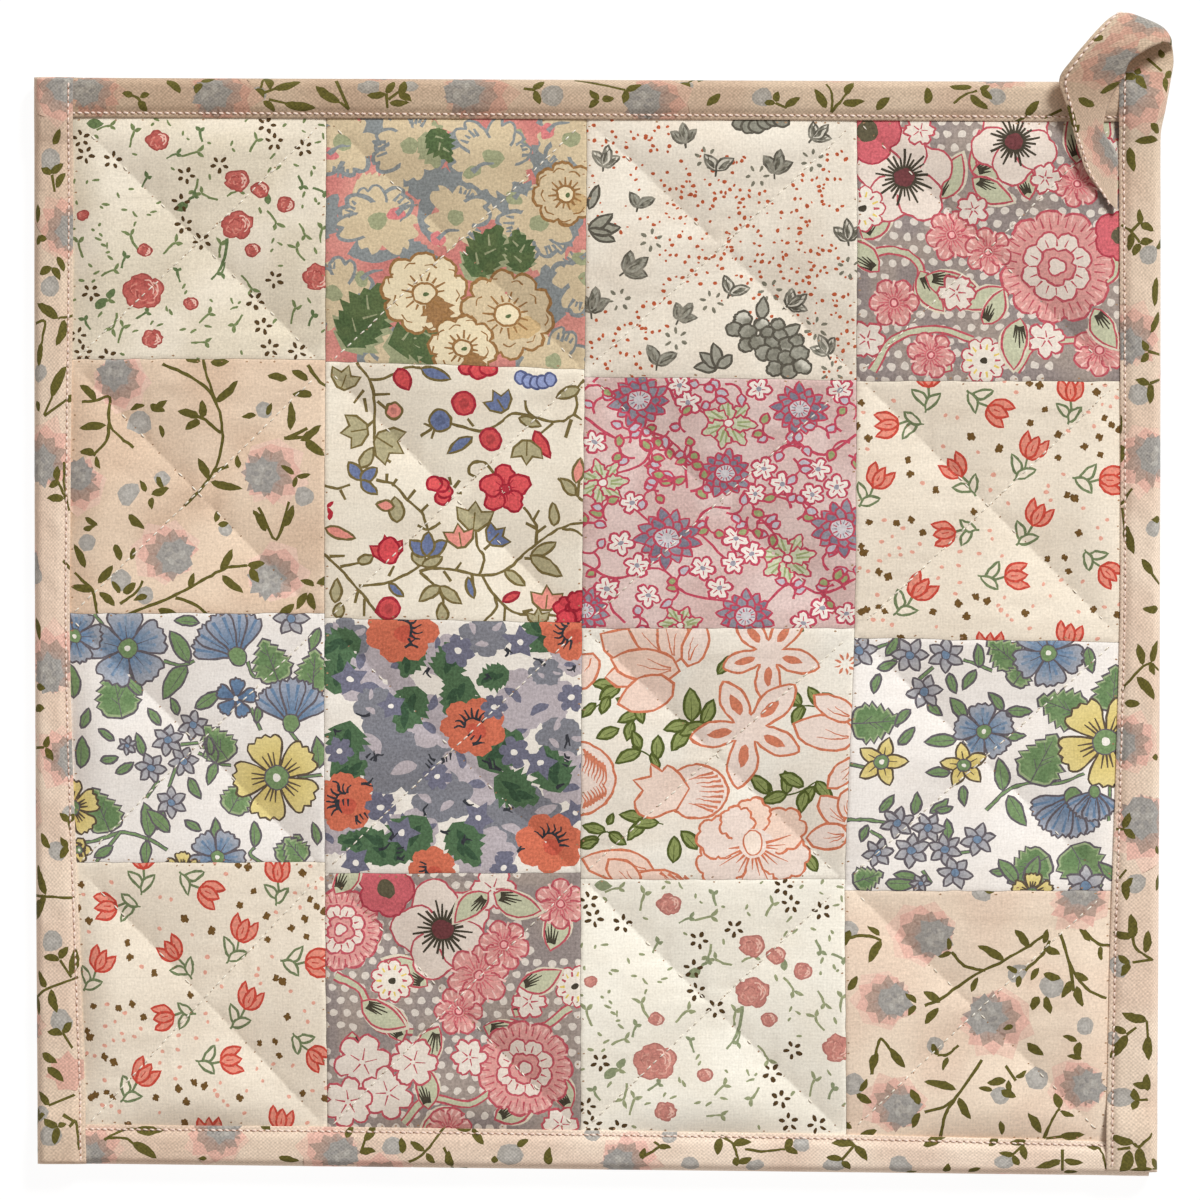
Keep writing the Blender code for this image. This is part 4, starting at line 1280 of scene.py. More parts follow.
         (50, -101, 4.1, 178), (50, -101.2, 3.9, 304), (47.6, -104, 2.9, 175), (47.6, -104.2, 2.6, 300),
         (60, -106.8, 2.0, 15), (63.4, -101.4, 4.7, 28), (67.6, -106.8, 2.6, 80), (72, -106.6, 2.6, 30),
         (76.2, -101.4, 2.8, 60), (83.4, -100.4, 3.1, 188), (82.6, -101.2, 3.1, 280),
         (81, -103.2, 2.7, 170), (80.8, -103.2, 2.4, 295), (90, -104.2, 4.9, 200),
         (90.6, -104.2, 3.5, 352), (90.6, -106.8, 2.6, 5), (97.4, -101.8, 2.2, 170)),
    ),
}
DARKENING_TINT = (2.2, 2.6, 3.2)  # how much faster red, green and blue go dark where a strip is printed darker
BINDING_TONE_AND_SHADE = {  # how dark each strip's cloth is printed at distances along it: painted shade round the loop's fold and its right edge, and elsewhere darker in stretches, most along the top binding
    "binding_left_strip": (
        (0, 0.92), (20, 0.93), (50, 0.94), (80, 0.98), (110, 1.0), (180, 0.99), (192, 0.95), (215, 0.91),
    ),
    "binding_right_and_loop": (
        (0, 0.95), (25, 0.99), (60, 1.0), (80, 0.98), (120, 1.0), (150, 0.97), (190, 0.93), (205, 0.91),
        (211, 0.88), (217, 0.80), (222, 0.84), (228, 0.86), (238, 0.82), (247, 0.89), (256, 0.92),
    ),
    "binding_top_strip": (
        (0, 0.88), (30, 0.88), (60, 0.86), (120, 0.84), (150, 0.81), (200, 0.81), (224, 0.80),
    ),
    "binding_bottom_strip": (
        (0, 0.96), (30, 0.97), (70, 0.99), (90, 1.0), (110, 1.03), (224, 1.02),
    ),
}


class Locator:
    """Finds the place on a strip's flat cloth of a point seen from above."""

    def __init__(self, strip):
        self.strip = strip
        s, t = np.meshgrid(np.arange(0, strip.length, 0.5), np.arange(0.1, STRIP_GIRTH, 0.5))
        self.flat = np.stack((s.ravel(), t.ravel()), axis=1)
        self.points = strip.place(self.flat[:, 0], self.flat[:, 1], 0)

    def find(self, x, y):
        """Two coordinates on the cloth, and the way its first side runs as seen from above."""
        far = np.hypot(self.points[:, 0] - x, self.points[:, 1] - y)
        best = np.argmax(self.points[:, 2] - 30 * np.maximum(far, 0.6))
        s, t = self.flat[best]
        ends = self.strip.place(np.array((s - 0.5, s + 0.5)), np.array((t, t)), 0)
        onward = (ends[1] - ends[0])[:2] / np.linalg.norm((ends[1] - ends[0])[:2])
        left = np.array((x, y)) - self.points[best][:2]
        along, aside = left @ onward, left @ np.array((onward[1], -onward[0]))
        return np.array((s + along, t + aside)), math.degrees(math.atan2(onward[1], onward[0]))


def bound_motif(cloth, locator, kind, row, seed):
    """One motif of the binding's print, given by where it shows on the strip from above."""
    if kind == "twig":
        cloth.line(OLIVE, [locator.find(*place)[0] for place in row], 0.6, 0.5)
        return
    (s, t), angle = locator.find(*row[:2])
    size, turn = row[2], row[3] - angle
    if kind == "aster":
        aster(cloth, s, t, size, turn, seed)
    elif kind == "halo":
        cloth.add(star(s, t, size * 1.2, size * 0.92, 7, turn, 0.12, seed), HALO)
    elif kind == "bud":
        bud(cloth, s, t, size, turn, seed)
    else:
        wide = 1.0 + 0.18 * size
        cloth.add(leaf(s, t, size * 1.1, wide, turn, 0.08 * (-1) ** seed, 0.4), OLIVE)


def print_underneath(cloth, strip, seed):
    """Motifs scattered over the half of a strip that faces down."""
    rng = np.random.default_rng(seed)
    taken = []
    for _ in range(int(cloth.wide * 1.5)):
        s, t = rng.uniform((0, 0), (cloth.wide, STRIP_GIRTH))
        turn, number, choice = rng.uniform(0, 360), int(rng.integers(1, 9999)), rng.uniform()
        reach = 5.5 if choice < 0.3 else 3.6
        under = surface_normals(strip.place, np.array((s,)), np.array((t,)))[0, 2] < -0.3
        if not under or any(math.hypot(s - a, t - b) < reach + other for a, b, other in taken):
            continue
        taken.append((s, t, reach))
        if choice < 0.3:
            aster(cloth, s, t, 3.8 + 3 * choice, turn, number)
        elif choice < 0.55:
            bud(cloth, s, t, 3.4, turn, number)
        else:
            spray(cloth, s, t, turn, number)


def print_binding(cloth, name, strip, seed):
    """The same print cut on the bias in a strip, whose motifs run past its edges."""
    places, tones = zip(*BINDING_TONE_AND_SHADE[name])

    def toned(fill, share=1.0):
        """A fill printed darker and browner along the strip by its table, with painted shade round the loop's
        fold.
        """

        def colour(points):
            tone = np.interp(points[:, 0], places, tones)
            return painted(fill, points) * tone[:, None] ** (np.array(DARKENING_TINT) * share)

        return colour

    # The ground is printed darker along parts of the strip; round the loop's fold this is painted shade.
    cloth.ground = toned(brushed((231, 212, 193), (223, 200, 181), 12.0, seed))
    print_underneath(cloth, strip, seed)
    locator = Locator(strip)
    layers = ("halo", "aster", "bud", "twig", "leaf")
    for number, kind, row in motifs(BINDING_MOTIFS[name], layers):
        bound_motif(cloth, locator, kind, row, seed + number)
    # The motifs take the same darkening and painted shade, the haloes fully and the rest by half.
    for number, (outline, fill) in enumerate(cloth.shapes):
        if fill != OLIVE:
            cloth.shapes[number] = outline, toned(fill, 1.0 if fill in (HALO, PALE_HALO) else 0.5)
    # Needle holes between the stitches along both edges
    for row in (TOPSTITCH_IN, STRIP_GIRTH - TOPSTITCH_IN):
        for x in np.arange(TOPSTITCH_START, cloth.wide, TOPSTITCH_PERIOD):
            place = x + (TOPSTITCH_PERIOD + TOPSTITCH_LENGTH) / 2
            cloth.add(blob(place, row, 0.46, 0.36, 0, 0.1, 3, 6), (148, 110, 90))


# Print of winding brown vines with red, blue and khaki flowers and leaves on ivory

VINE, KHAKI, VINE_BLUE = (112, 98, 58), (170, 162, 128), (104, 116, 152)
VINE_RED, VINE_PINK = (200, 78, 80), (220, 142, 130)
VINES = (  # points of each vine
    ((12, 0), (17.5, 7.5), (19, 16), (19, 29), (20, 35), (25.5, 38.5)),
    ((17.5, 6.5), (24, 5.5), (31, 1.5), (37.5, 1.5), (44, 4)),
    (
        (49, 23), (59.5, 25.5), (66, 23), (72, 18.5), (80.5, 19.5), (88, 21), (94, 19.5), (97, 15),
        (96.5, 9), (100, 4),
    ),
    ((0, 48.5), (5, 49.5), (10, 48)), ((20, 45.5), (27, 47.5), (32, 53), (37.5, 58), (40, 65)),
    ((0, 75), (6, 81), (13.5, 89), (18.5, 95), (24, 101)), ((13.5, 87), (23, 86), (32, 82), (38, 78)),
    ((36.5, 81), (43, 80), (52, 80.5), (61, 82), (70, 80), (77.5, 73), (85, 67), (92, 62.5), (100, 60.5)),
    ((61, 82), (66, 90), (73, 96), (82, 97), (92, 97.5)), ((60, 81.5), (62, 75), (59, 70), (58.5, 63)),
    ((37, 81.5), (43, 87), (46, 92), (46, 100)), ((66, 90), (66.5, 95), (61, 101)),
    ((66, 43), (62, 38), (57, 38), (55.5, 42), (58.5, 43.5)), ((82, 69), (82, 62), (77, 55)),
    ((100, 52), (95, 48), (90, 43)), ((98, 50), (98.5, 40)), ((15, 11), (11, 16)), ((19, 12), (25, 12)),
    ((15, 14), (16, 19)), ((20, 15), (24, 18)), ((55, 21), (57.5, 24)), ((77, 13), (78, 17.5), (82, 20)),
    ((95, 20), (93, 27)), ((88, 21.5), (81, 28)), ((37, 28), (41, 25), (38, 23)), ((43, 24), (41, 29)),
    ((24, 43), (24, 46)), ((28, 45), (26, 48)), ((35, 49), (32, 53)), ((40, 55), (37, 58)),
    ((45, 62), (40, 65), (36, 63)), ((6, 50), (8, 54)), ((6, 80), (14, 78), (18, 75)), ((2, 76), (8, 76)),
    ((25, 83), (27, 79)), ((13, 89), (12, 94)), ((15.5, 92), (15.5, 99)), ((46, 81), (49, 85)),
    ((57, 81.5), (58, 87)), ((51, 80), (53, 77)), ((77.5, 75), (82, 75)), ((62, 72), (65, 69)),
    ((82, 63), (78, 61)), ((81, 60), (83, 56)), ((82, 65), (86, 62)), ((70, 94), (70, 101)),
    ((77, 96), (81, 95)), ((48, 44), (49, 47)), ((52, 45), (50, 48)), ((53, 50), (51, 50)),
    ((16, 25), (19, 22)), ((21, 35), (24, 31)), ((96, 18), (99, 20)), ((92, 63), (97, 64), (100, 66)),
)
VINE_LEAVES = (  # across, down, length, width, turn, colour: g khaki, b blue, r red, p pink
    (37, 1.5, 6.2, 2.3, -20, "b"), (57, 28, 6.0, 2.1, 215, "b"), (25, 86, 3.8, 1.6, -42, "b"),
    (55.5, 83, 4.2, 1.6, -72, "b"), (14, 46, 4.2, 2.6, 125, "b"), (14, 46, 4.0, 2.3, 40, "b"),
    (14, 46, 4.2, 2.0, -38, "b"), (14, 41, 4.6, 2.3, 62, "g"), (75, 20, 4.4, 1.8, -18, "g"),
    (98, 8, 4.8, 2.2, 200, "g"), (97, 50, 4.6, 2.0, 130, "g"), (89, 62, 4.6, 1.9, 95, "g"),
    (80, 74, 5.6, 2.2, 30, "g"), (80, 74, 7.2, 2.9, -32, "g"), (70, 80, 4.8, 2.0, -35, "g"),
    (13, 78, 3.4, 1.7, 25, "g"), (45, 87, 5.0, 2.2, 215, "g"), (45, 87, 5.2, 2.2, -38, "g"),
    (46, 101, 3.8, 2.4, 95, "g"), (4, 94, 4.6, 2.2, 85, "g"), (38, 79, 4.0, 2.4, 115, "g"),
    (38, 79, 4.4, 2.0, 25, "g"), (28, 62, 5.0, 3.0, 95, "g"), (5, 100, 3.0, 2.0, 80, "g"),
    (28, 2, 4.6, 3.2, -62, "r"), (81, 25, 6.0, 2.4, -60, "r"), (69, 92, 3.8, 1.6, 28, "r"),
    (20, 97, 4.4, 2.6, 12, "r"), (0.5, 65, 6.0, 2.2, -18, "p"), (97, 45, 5.0, 2.1, 82, "p"),
    (27, 56, 3.6, 2.0, 175, "p"),
)
VINE_LOBES = (  # three-pointed leaves: across, down, size, turn, colour
    (6, 10, 4.6, 70, "g"), (16, 26, 5.2, 190, "g"), (20, 29, 6.0, -30, "g"), (78, 29, 4.8, 270, "g"),
    (57.5, 64, 5.6, 85, "g"), (64, 69, 4.2, 45, "b"), (69, 17, 4.4, 120, "b"), (86, 95, 4.8, 88, "p"),
    (53, 71, 4.6, 100, "p"), (83, 101, 3.4, 90, "g"),
)
VINE_TONES = {"g": KHAKI, "b": VINE_BLUE, "r": VINE_RED, "p": VINE_PINK}
VINE_ROSE = (  # distance from its middle, angle, size of each petal
    (2.6, 100, 4.6), (2.8, 20, 4.4), (2.7, -60, 4.4), (3.0, -135, 4.2), (2.9, 165, 4.6),
)
VINE_RINGS = (  # round flowers: across, down, width, colour
    (44.5, 22, 4.2, "b"), (53.5, 15, 4.4, "r"), (64, 28.5, 4.1, "r"), (26.5, 18.5, 3.1, "p"),
    (25, 95.5, 4.2, "r"),
)


def three_pointed(x, y, size, turn):
    """Outline of a leaf or tulip with three points, from its foot at a place."""
    half = ((-100, 0.18), (-62, 0.62), (-42, 0.95), (-20, 0.66))
    side = [(-angle, far) for angle, far in half[::-1]]
    foot = np.array((x, y))
    return np.array([foot + heading(turn + a) * size * far for a, far in (*half, (0, 1.0), *side)])


def print_vines(cloth):
    cloth.ground = brushed((234, 226, 210), (228, 218, 201), 8.0, 24)

    def red(shape, fill, line=(158, 36, 52), width=0.5):
        cloth.edged(shape, line, fill, width)

    for vine in VINES:
        cloth.line(VINE, cloth.places(vine), 0.62, 0.5)
    for across, down, long, wide, turn, tone in VINE_LEAVES:
        line = (150, 40, 52) if tone == "r" else VINE
        shape = leaf(*cloth.at(across, down), long, wide, turn, 0.05)
        cloth.edged(shape, line, VINE_TONES[tone], 0.5)
    for across, down, size, turn, tone in VINE_LOBES:
        x, y = cloth.at(across, down)
        cloth.edged(three_pointed(x, y, size, turn), VINE, VINE_TONES[tone], 0.5)
        cloth.line(VINE, [(x, y), (x, y) + heading(turn) * size * 0.6], 0.3)
    for across, down, wide, tone in VINE_RINGS:
        x, y = cloth.at(across, down)
        line = (162, 44, 58) if tone == "r" else VINE
        cloth.edged(blob(x, y, wide, wide * 1.02, 0, 0.04, 3), line, VINE_TONES[tone], 0.5)
        heart = tuple(0.88 * part for part in VINE_TONES[tone])
        cloth.add(blob(x, y, wide * 0.45, wide * 0.45, 0, 0.1, 4), heart)
    x, y = cloth.at(70, 48)
    for k, (far, angle, size) in enumerate(VINE_ROSE):
        place = polar((x, y), angle, far)
        red(lobed(*place, size / 2, 3, 0.2, angle, 0.03, k), (212, 84, 88))
    rays(cloth, (x, y), 1.0, evenly(8, 10), ((0.6, 2.4),), ((166, 40, 56),), 0.3, 0.12)
    cloth.add(blob(x, y, 1.6, 1.3, 0, 0.2, 4), (172, 48, 62))
    for k in range(4):
        red(blob(*polar(cloth.at(43, 50), -40 + 48 * k, 1.7), 3.0, 2.6, 0, 0.06, k), (214, 86, 88))
    red(three_pointed(*cloth.at(25, 77), 5.0, 100), VINE_RED, (156, 34, 50))
    red(blob(*cloth.at(25, 73), 4.0, 5.0, 0, 0.1, 5), (208, 76, 82), (156, 34, 50), 0.42)
    for k, (across, down) in enumerate(((93, 94), (97, 96), (94, 99), (98, 91.5))):
        shape = lobed(*cloth.at(across, down), 2.1, 4, 0.2, 20 * k)
        red(shape, (200, 66, 76), (150, 32, 48))
    for k in range(3):
        place = cloth.at(55 + 4 * k, 0.6 + 1.4 * (k == 1))
        red(blob(*place, 3.4, 3.0, 0, 0.1, k), (208, 80, 84))
    for k in range(5):
        place = cloth.at(75.5 + 2.8 * k, 4.2 + 1.8 * math.sin(math.pi * k / 4))
        cloth.edged(blob(*place, 2.3, 2.6, 0, 0.08, k), (84, 92, 130), (142, 154, 196), 0.42)
    for angle in (140, 40, 90):
        cloth.edged(leaf(*cloth.at(40, 75), 4.6, 2.6, angle, 0, 0.6), VINE, VINE_BLUE, 0.5)
    for across, down in ((1, 57), (3, 60), (2, 62)):
        cloth.add(leaf(*cloth.at(across, down), 1.8, 0.9, 40 * across), (170, 44, 56))


# Print of orange-outlined blush flowers and olive-green leaf sprigs on off-white

BLUSH_LINE, BLUSH, BLUSH_DEEP = (198, 117, 86), (231, 214, 204), (200, 122, 94)
SPRIG_LINE, SPRIG_FILL = (78, 88, 38), (134, 145, 88)
BLUSH_LEAVES = (  # across, down, length, turn
    (14, 23, 5.0, 175), (14, 23, 4.6, 215), (5, 30, 3.6, 230), (10, 27, 3.8, 250), (22, 32, 5.0, 155),
    (22, 34, 4.4, 200), (21, 31, 3.6, 285), (14, 40, 4.6, 205), (19, 37, 4.0, 255), (22, 48, 3.8, 115),
    (22, 49, 5.2, 205), (28, 52, 4.8, 88), (26, 50, 3.2, 300), (41, 37, 6.6, 95), (40, 38, 4.8, 195),
    (45, 38, 5.2, 70), (40, 40, 5.4, 235), (46, 38, 5.2, 205), (50, 18, 4.2, 55), (81, 31, 4.0, 130),
    (82, 31, 4.2, 245), (88, 31, 4.4, 120), (96, 33, 5.0, 135), (66, 60, 3.6, 320), (70, 66, 5.0, 130),
    (77, 66, 4.8, 200), (77, 66, 4.6, 95), (83, 63, 5.0, 150), (87, 63, 5.2, 240), (88, 61, 4.8, 310),
    (84, 65, 4.4, 260), (9, 81, 4.4, 165), (11, 81, 4.0, 320), (7, 84, 4.2, 200), (0, 87, 3.6, 20),
    (24, 76, 4.8, 170), (24, 77, 4.8, 230), (29, 77, 4.6, 190), (35, 93, 5.2, 88), (44, 88, 4.8, 130),
    (89, 97, 4.2, 120), (81, 1, 3.0, 160), (10, 78, 2.4, 60),
)
BLUSH_SHADED, BLUSH_WARM = (229, 204, 190), (234, 206, 190)
BLUSH_FIRST = (  # petals: across, down, length, width, turn, strokes from the foot, fill
    (34, 14, 15, 8, 160, 2, BLUSH_SHADED), (34, 14, 14, 7, 128, 2, BLUSH_SHADED),
    (34, 14, 12, 6, 95, 2, BLUSH_SHADED), (34, 14, 13, 6.5, 195, 2, BLUSH_SHADED),
    (36, 17, 13, 6.4, 172, 3, (232, 204, 188)), (34, 22, 11, 7, 205, 0, BLUSH_SHADED),
    (39, 15, 9.5, 4.6, 75, 2, BLUSH), (4, 10, 8, 5, 250, 1, BLUSH_SHADED),
)
BLUSH_LAST = (  # petals cut off by the sides
    (102, 44, 12, 7, 170, 2, BLUSH), (101, 36, 9, 4.4, 152, 2, BLUSH), (103, 52, 8, 4, 230, 2, BLUSH),
    (101, 78, 8, 5.2, 140, 3, BLUSH), (101, 82, 8, 5.2, 190, 3, BLUSH), (101, 76, 6, 4, 100, 3, BLUSH),
    (28, 97, 14, 6.4, 172, 3, BLUSH_WARM), (40, 104, 10, 5, 165, 3, BLUSH_WARM),
    (22, 103, 8, 5, 140, 3, BLUSH_WARM),
)
BLUSH_ROSE = (  # the outer petals of the open rose: angle, distance from its middle, width
    (-100, 5.6, 5.2), (-20, 6.4, 4.8), (-150, 6.8, 4.8), (30, 6.2, 4.6), (165, 6.6, 4.4),
    (95, 5.8, 3.8), (125, 5.6, 3.4),
)
BLUSH_RUFFLE = (  # the frilled end of the tulip
    (40.5, 64), (37, 58), (32, 54.5), (30.5, 57), (26, 54), (26, 59), (19.5, 60.5), (23, 64.5),
    (20, 69), (22, 74), (27, 75.5), (32, 73.5), (36, 72),
)
BLUSH_STALKS = (  # points of each stalk
    ((14, 23), (8, 29), (2, 34)), ((22, 30), (20, 36), (19, 41), (22, 48)),
    ((19, 47), (24, 50), (29, 53)), ((36, 36), (41, 38), (46, 38)), ((78, 31), (86, 31), (100, 33)),
    ((66, 60), (72, 66), (80, 66), (88, 61)), ((4, 87), (9, 81), (14, 83)),
    ((18, 74), (24, 76), (31, 78)),
)


def blush_star(cloth, across, down, reach, turn, seed):
    """A five-petalled star flower in one outline, each petal with a coloured heart."""
    x, y = cloth.at(across, down)
    outline = []
    for petal in range(5):
        angle = turn + 72 * petal
        far = reach * (1 + 0.08 * math.sin(seed + 2 * petal))
        for off, share in ((-36, 0.27), (-26, 0.50), (-16, 0.76), (0, 1.0), (16, 0.76), (26, 0.50)):
            outline.append(np.array((x, y)) + heading(angle + off) * far * share)
    cloth.edged(curve(outline + outline[:1], 3)[:-1], BLUSH_LINE, BLUSH, 0.5)
    for petal in range(5):
        angle = turn + 72 * petal
        place = np.array((x, y)) + heading(angle) * reach * 0.28
        cloth.add(leaf(*place, reach * 0.42, reach * 0.17, angle, 0.03, 0.5), BLUSH_DEEP)


def blush_petals(cloth, rows):
    """Drawn petals with fine strokes running from their feet."""
    for across, down, long, wide, turn, lines, fill in rows:
        foot = cloth.at(across, down)
        cloth.edged(leaf(*foot, long, wide, turn, 0.04, 0.9), BLUSH_LINE, fill, 0.5)
        for k in range(lines):
            side = (k - (lines - 1) / 2) * 11
            start = foot + heading(turn + side) * long * 0.12
            end = foot + heading(turn + side * 1.3) * long * (0.5 + 0.12 * (k % 2))
            bow = [start, polar((start + end) / 2, turn + 90, 0.2), end]
            cloth.line(BLUSH_LINE, bow, 0.3, 0.12)


def print_blush(cloth):
    cloth.ground = brushed((233, 228, 217), (230, 222, 209), 8.0, 25)
    for points in BLUSH_STALKS:
        cloth.line(SPRIG_LINE, cloth.places(points), 0.34, 0.28)
    for x, y, long, turn in BLUSH_LEAVES:
        place = cloth.at(x, y)
        cloth.edged(leaf(*place, long, long * 0.46, turn, 0.06), SPRIG_LINE, SPRIG_FILL, 0.5)
        cloth.line(SPRIG_LINE, [place, place + heading(turn) * long * 0.7], 0.16, 0.1)
    blush_petals(cloth, BLUSH_FIRST)
    blush_star(cloth, 68.5, 10, 9.6, 55, 1)
    blush_star(cloth, 62, 40, 11.2, 46, 2)
    x, y = cloth.at(97, 14)
    for k in range(9):
        ray = heading(40 * k)
        cloth.add(leaf(*((x, y) + ray * 0.8), 1.5, 0.5, 40 * k), BLUSH_DEEP)
    # A tulip on its side, cut off buds at the edges, and a big open rose
    x, y = cloth.at(43.5, 65)
    cloth.edged(blob(x, y, 11.4, 10.8, 0, 0.04, 7), BLUSH_LINE, BLUSH, 0.5)
    for k in range(9):
        rim = polar((x, y), 13 * (k - 4), 5.0)
        inward = polar((x - 2.0, y), 20 * (k - 4), 2.4 + 0.5 * (k % 2))
        cloth.line(BLUSH_DEEP, [rim, (rim + inward) / 2 + (0.2, 0), inward], 0.62, 0.12)
    cloth.edged(curve(cloth.places(BLUSH_RUFFLE), 2), BLUSH_LINE, (232, 211, 198), 0.5)
    x, y = cloth.at(-1, 60)
    cloth.edged(blob(x, y, 15, 13.4, 90, 0.04, 4), BLUSH_LINE, BLUSH, 0.5)
    for k in range(8):
        start = cloth.at(1 + 1.1 * k, 48 + 0.9 * k)
        cloth.line(BLUSH_DEEP, [start, start + (0.4, 2.2), start + (-0.3, 4.6)], 0.6, 0.15)
        start = cloth.at(1 + 1.1 * k, 72 - 0.7 * k)
        cloth.line(BLUSH_DEEP, [start, start + (0.3, -1.4), start + (-0.4, -2.8)], 0.7, 0.15)
    x, y = cloth.at(65, 86.5)
    for k, (angle, reach, wide) in enumerate(BLUSH_ROSE):
        fill = (233, 207, 191) if k in (3, 5) else BLUSH
        place = polar((x, y), angle, reach)
        cloth.edged(lobed(*place, wide, 7, 0.13, angle + 26, 0.05, 11 + k), BLUSH_LINE, fill, 0.48)
    cloth.add(blob(x, y + 0.6, 8.6, 8.0, 0, 0.05, 8), BLUSH)
    ways = [-172 + 13.4 * k + 2.4 * math.sin(2.2 * k) for k in range(15)]
    spans = ((2.5, 4.7), (2.5, 6.1), (2.5, 7.5))
    rays(cloth, (x, y), 1.0, ways, spans, (BLUSH_LINE,), 0.5, 0.12)
    cloth.edged(blob(x, y - 0.6, 3.6, 5.0, 8, 0.08, 9), BLUSH_LINE, (238, 222, 208), 0.3)
    blush_petals(cloth, BLUSH_LAST)
    for k in range(4):
        start = cloth.at(30 + 3 * k, 97 + 0.6 * k)
        cloth.line(BLUSH_DEEP, [start, start + (1.6, 1.2)], 0.7, 0.2)


# Print of blue, grey and yellow flowers with green leaves in grey line on white

GARDEN_LINE, GARDEN_GREEN, GARDEN_BLUE = (98, 92, 98), (118, 144, 100), (104, 130, 160)
GARDEN_GREY, GARDEN_YELLOW = (180, 179, 181), (224, 207, 140)
GARDEN_PALE = (152, 170, 128)
GARDEN_LEFT = (  # by kind: across, down, size, turn. A stem is its points.
    ("stem",
     ((10, 0), (14, 7), (12, 12)), ((37, 19), (44, 21), (49, 19)), ((70, 19), (72, 25), (78, 26)),
     ((71, 38), (75, 47)), ((84, 44), (90, 52)), ((50, 56), (57, 60), (63, 61)), ((38, 70), (41, 61)),
     ((29, 74), (34, 67)), ((2, 92), (10, 91), (18, 88), (28, 90), (37, 95)), ((8, 100), (18, 88)),
     ((72, 94), (70, 97), (76, 101)), ((92, 58), (99, 61)), ((89, 66), (99, 65)), ((43, 53), (50, 52)),
     ((29, 90), (28, 98))),
    ("jag",
     (20, 42, 10.5, 100), (82, 28, 9.5, 110), (95, 32, 9, 85), (62, 59, 8.6, 125), (62, 80, 7.6, 60),
     (14, 88, 9.6, 110), (83, 101, 7, 60), (92, 100, 6.5, 130)),
    ("leaf",
     (47, 20, 7.4, 120), (46, 21, 8.4, 235), (49, 38, 6.2, 35), (35, 45, 4.2, 125), (28, 57, 4.6, 105),
     (17, 51, 3.8, 145), (11, 59, 3.8, 10), (17, 64, 4.2, 30), (57, 60, 5.4, 115), (57, 60, 4.8, 250),
     (46, 66, 4.8, 300), (30, 90, 7.2, 98), (33, 87, 4.2, 70), (38, 88, 6.4, 135), (56, 92, 5.0, 88),
     (72, 94, 5.2, 92), (29, 91, 5.2, 265), (44, 83, 4.0, 330), (42, 41, 3.8, 110), (73, 44, 4.0, 80),
     (3, 62, 6.6, 85), (4, 46, 4.4, 70), (98, 6, 5.0, 250), (98, 62, 6.4, 95), (1, 34, 7.0, 95),
     (51, 4, 5.0, 175), (7, 98, 4.6, 30), (28, 33, 5.6, 130), (55, 57, 3.8, 100), (97, 93, 4.6, 100),
     (27, 28, 5.0, 120)),
    ("blue", (23, 14, 7.8, 95)), ("fan", (66, 17, 9.4, 118), (87, 44, 9.0, 88)),
    ("aster", (65, 34, 4.0, 10)),
    ("star",
     (48, 45, 3.1, 20), (38, 51, 3.3, 80), (31, 62, 3.2, 50), (44, 59.5, 3.1, 10), (39, 76, 3.3, 90),
     (87, 2, 3.6, 60)),
    ("yellow", (81, 66, 8.6, 110)), ("blue", (57, 98, 5.6, 60)), ("yellow", (-1, 78, 5.6, 20)),
    ("blue", (2, 9, 5.4, 70)), ("yellow", (43, 103, 3.6, 90), (1, 95, 2.6, 0)),
    ("star", (22, 53, 2.0, 20)),
)
GARDEN_RIGHT = (
    ("stem",
     ((8, 4), (14, 2), (20, 4)), ((10, 12), (16, 8)), ((41, 8), (47, 10), (52, 12)), ((25, 16), (30, 11)),
     ((0, 50), (6, 51)), ((52, 68), (58, 61), (67, 57), (78, 57), (88, 53)), ((0, 72), (8, 72), (15, 73)),
     ((9, 76), (14, 80), (15, 84)), ((56, 30), (62, 28), (67, 29)), ((98, 58), (98, 72)),
     ((29, 92), (32, 97)), ((43, 85), (47, 84)), ((66, 99), (68, 93))),
    ("jag",
     (0, 34, 9.6, 5), (68, 57, 11, 65), (88, 30, 10, 160), (98, 28, 9.6, 88), (76, 86, 9.4, 215),
     (84, 82, 11, 300), (62, 10, 8, 140), (60, 18, 6, 60), (3, 97, 6, 20)),
    ("leaf",
     (10, 14, 4.2, 255), (12, 7, 4.6, 60), (9, 12, 4.0, 20), (36, 13, 4.4, 290), (46, 12, 4.6, 240),
     (47, 11, 4.8, 95), (28, 25, 4.0, 320), (22, 28, 4.4, 230), (18, 42, 4.6, 50), (43, 32, 5.6, 125),
     (40, 40, 6.2, 185), (57, 28, 4.6, 130), (58, 28, 5.0, 0), (57, 38, 4.4, 0), (38, 53, 4.6, 180),
     (43, 58, 4.2, 275), (58, 60, 6.6, 100), (60, 62, 7.0, -60), (12, 69, 4.4, 55), (8, 74, 3.6, 250),
     (25, 70, 4.6, 85), (31, 69, 4.4, 40), (33, 68, 3.4, 10), (38, 80, 4.4, 95), (27, 95, 4.6, 170),
     (54, 92, 3.8, 0), (64, 97, 6.0, 125), (67, 97, 6.0, 65), (88, 2, 5.4, 280), (15, 97, 6.0, 0),
     (101, 96, 5.0, 130)),
    ("star",
     (21, 6.5, 3.6, 0), (34.5, 6, 3.6, 30), (27, 21, 3.5, 70), (2, 5, 3.5, 10), (19, 73, 3.3, 20),
     (30.5, 75, 3.2, 60), (24.5, 84, 3.5, 85), (37, 83.5, 3.3, 40), (49, 79.5, 3.4, 15),
     (41, 93, 3.4, 50), (12, 85, 3.0, 70), (28, 97, 2.0, 0), (90, 98, 4.2, 90)),
    ("blue", (50, 36.5, 5.6, 25), (73, 5, 6.6, 60)), ("fan", (84, 62, 8.6, 250)),
    ("smallyellow", (12, 49, 5.0, 75), (43, 50, 4.6, 100)),
    ("yellow", (96, 40, 9.0, 130), (70, 101, 4.0, 90)), ("fan", (92, 60, 6.0, 265)),
)


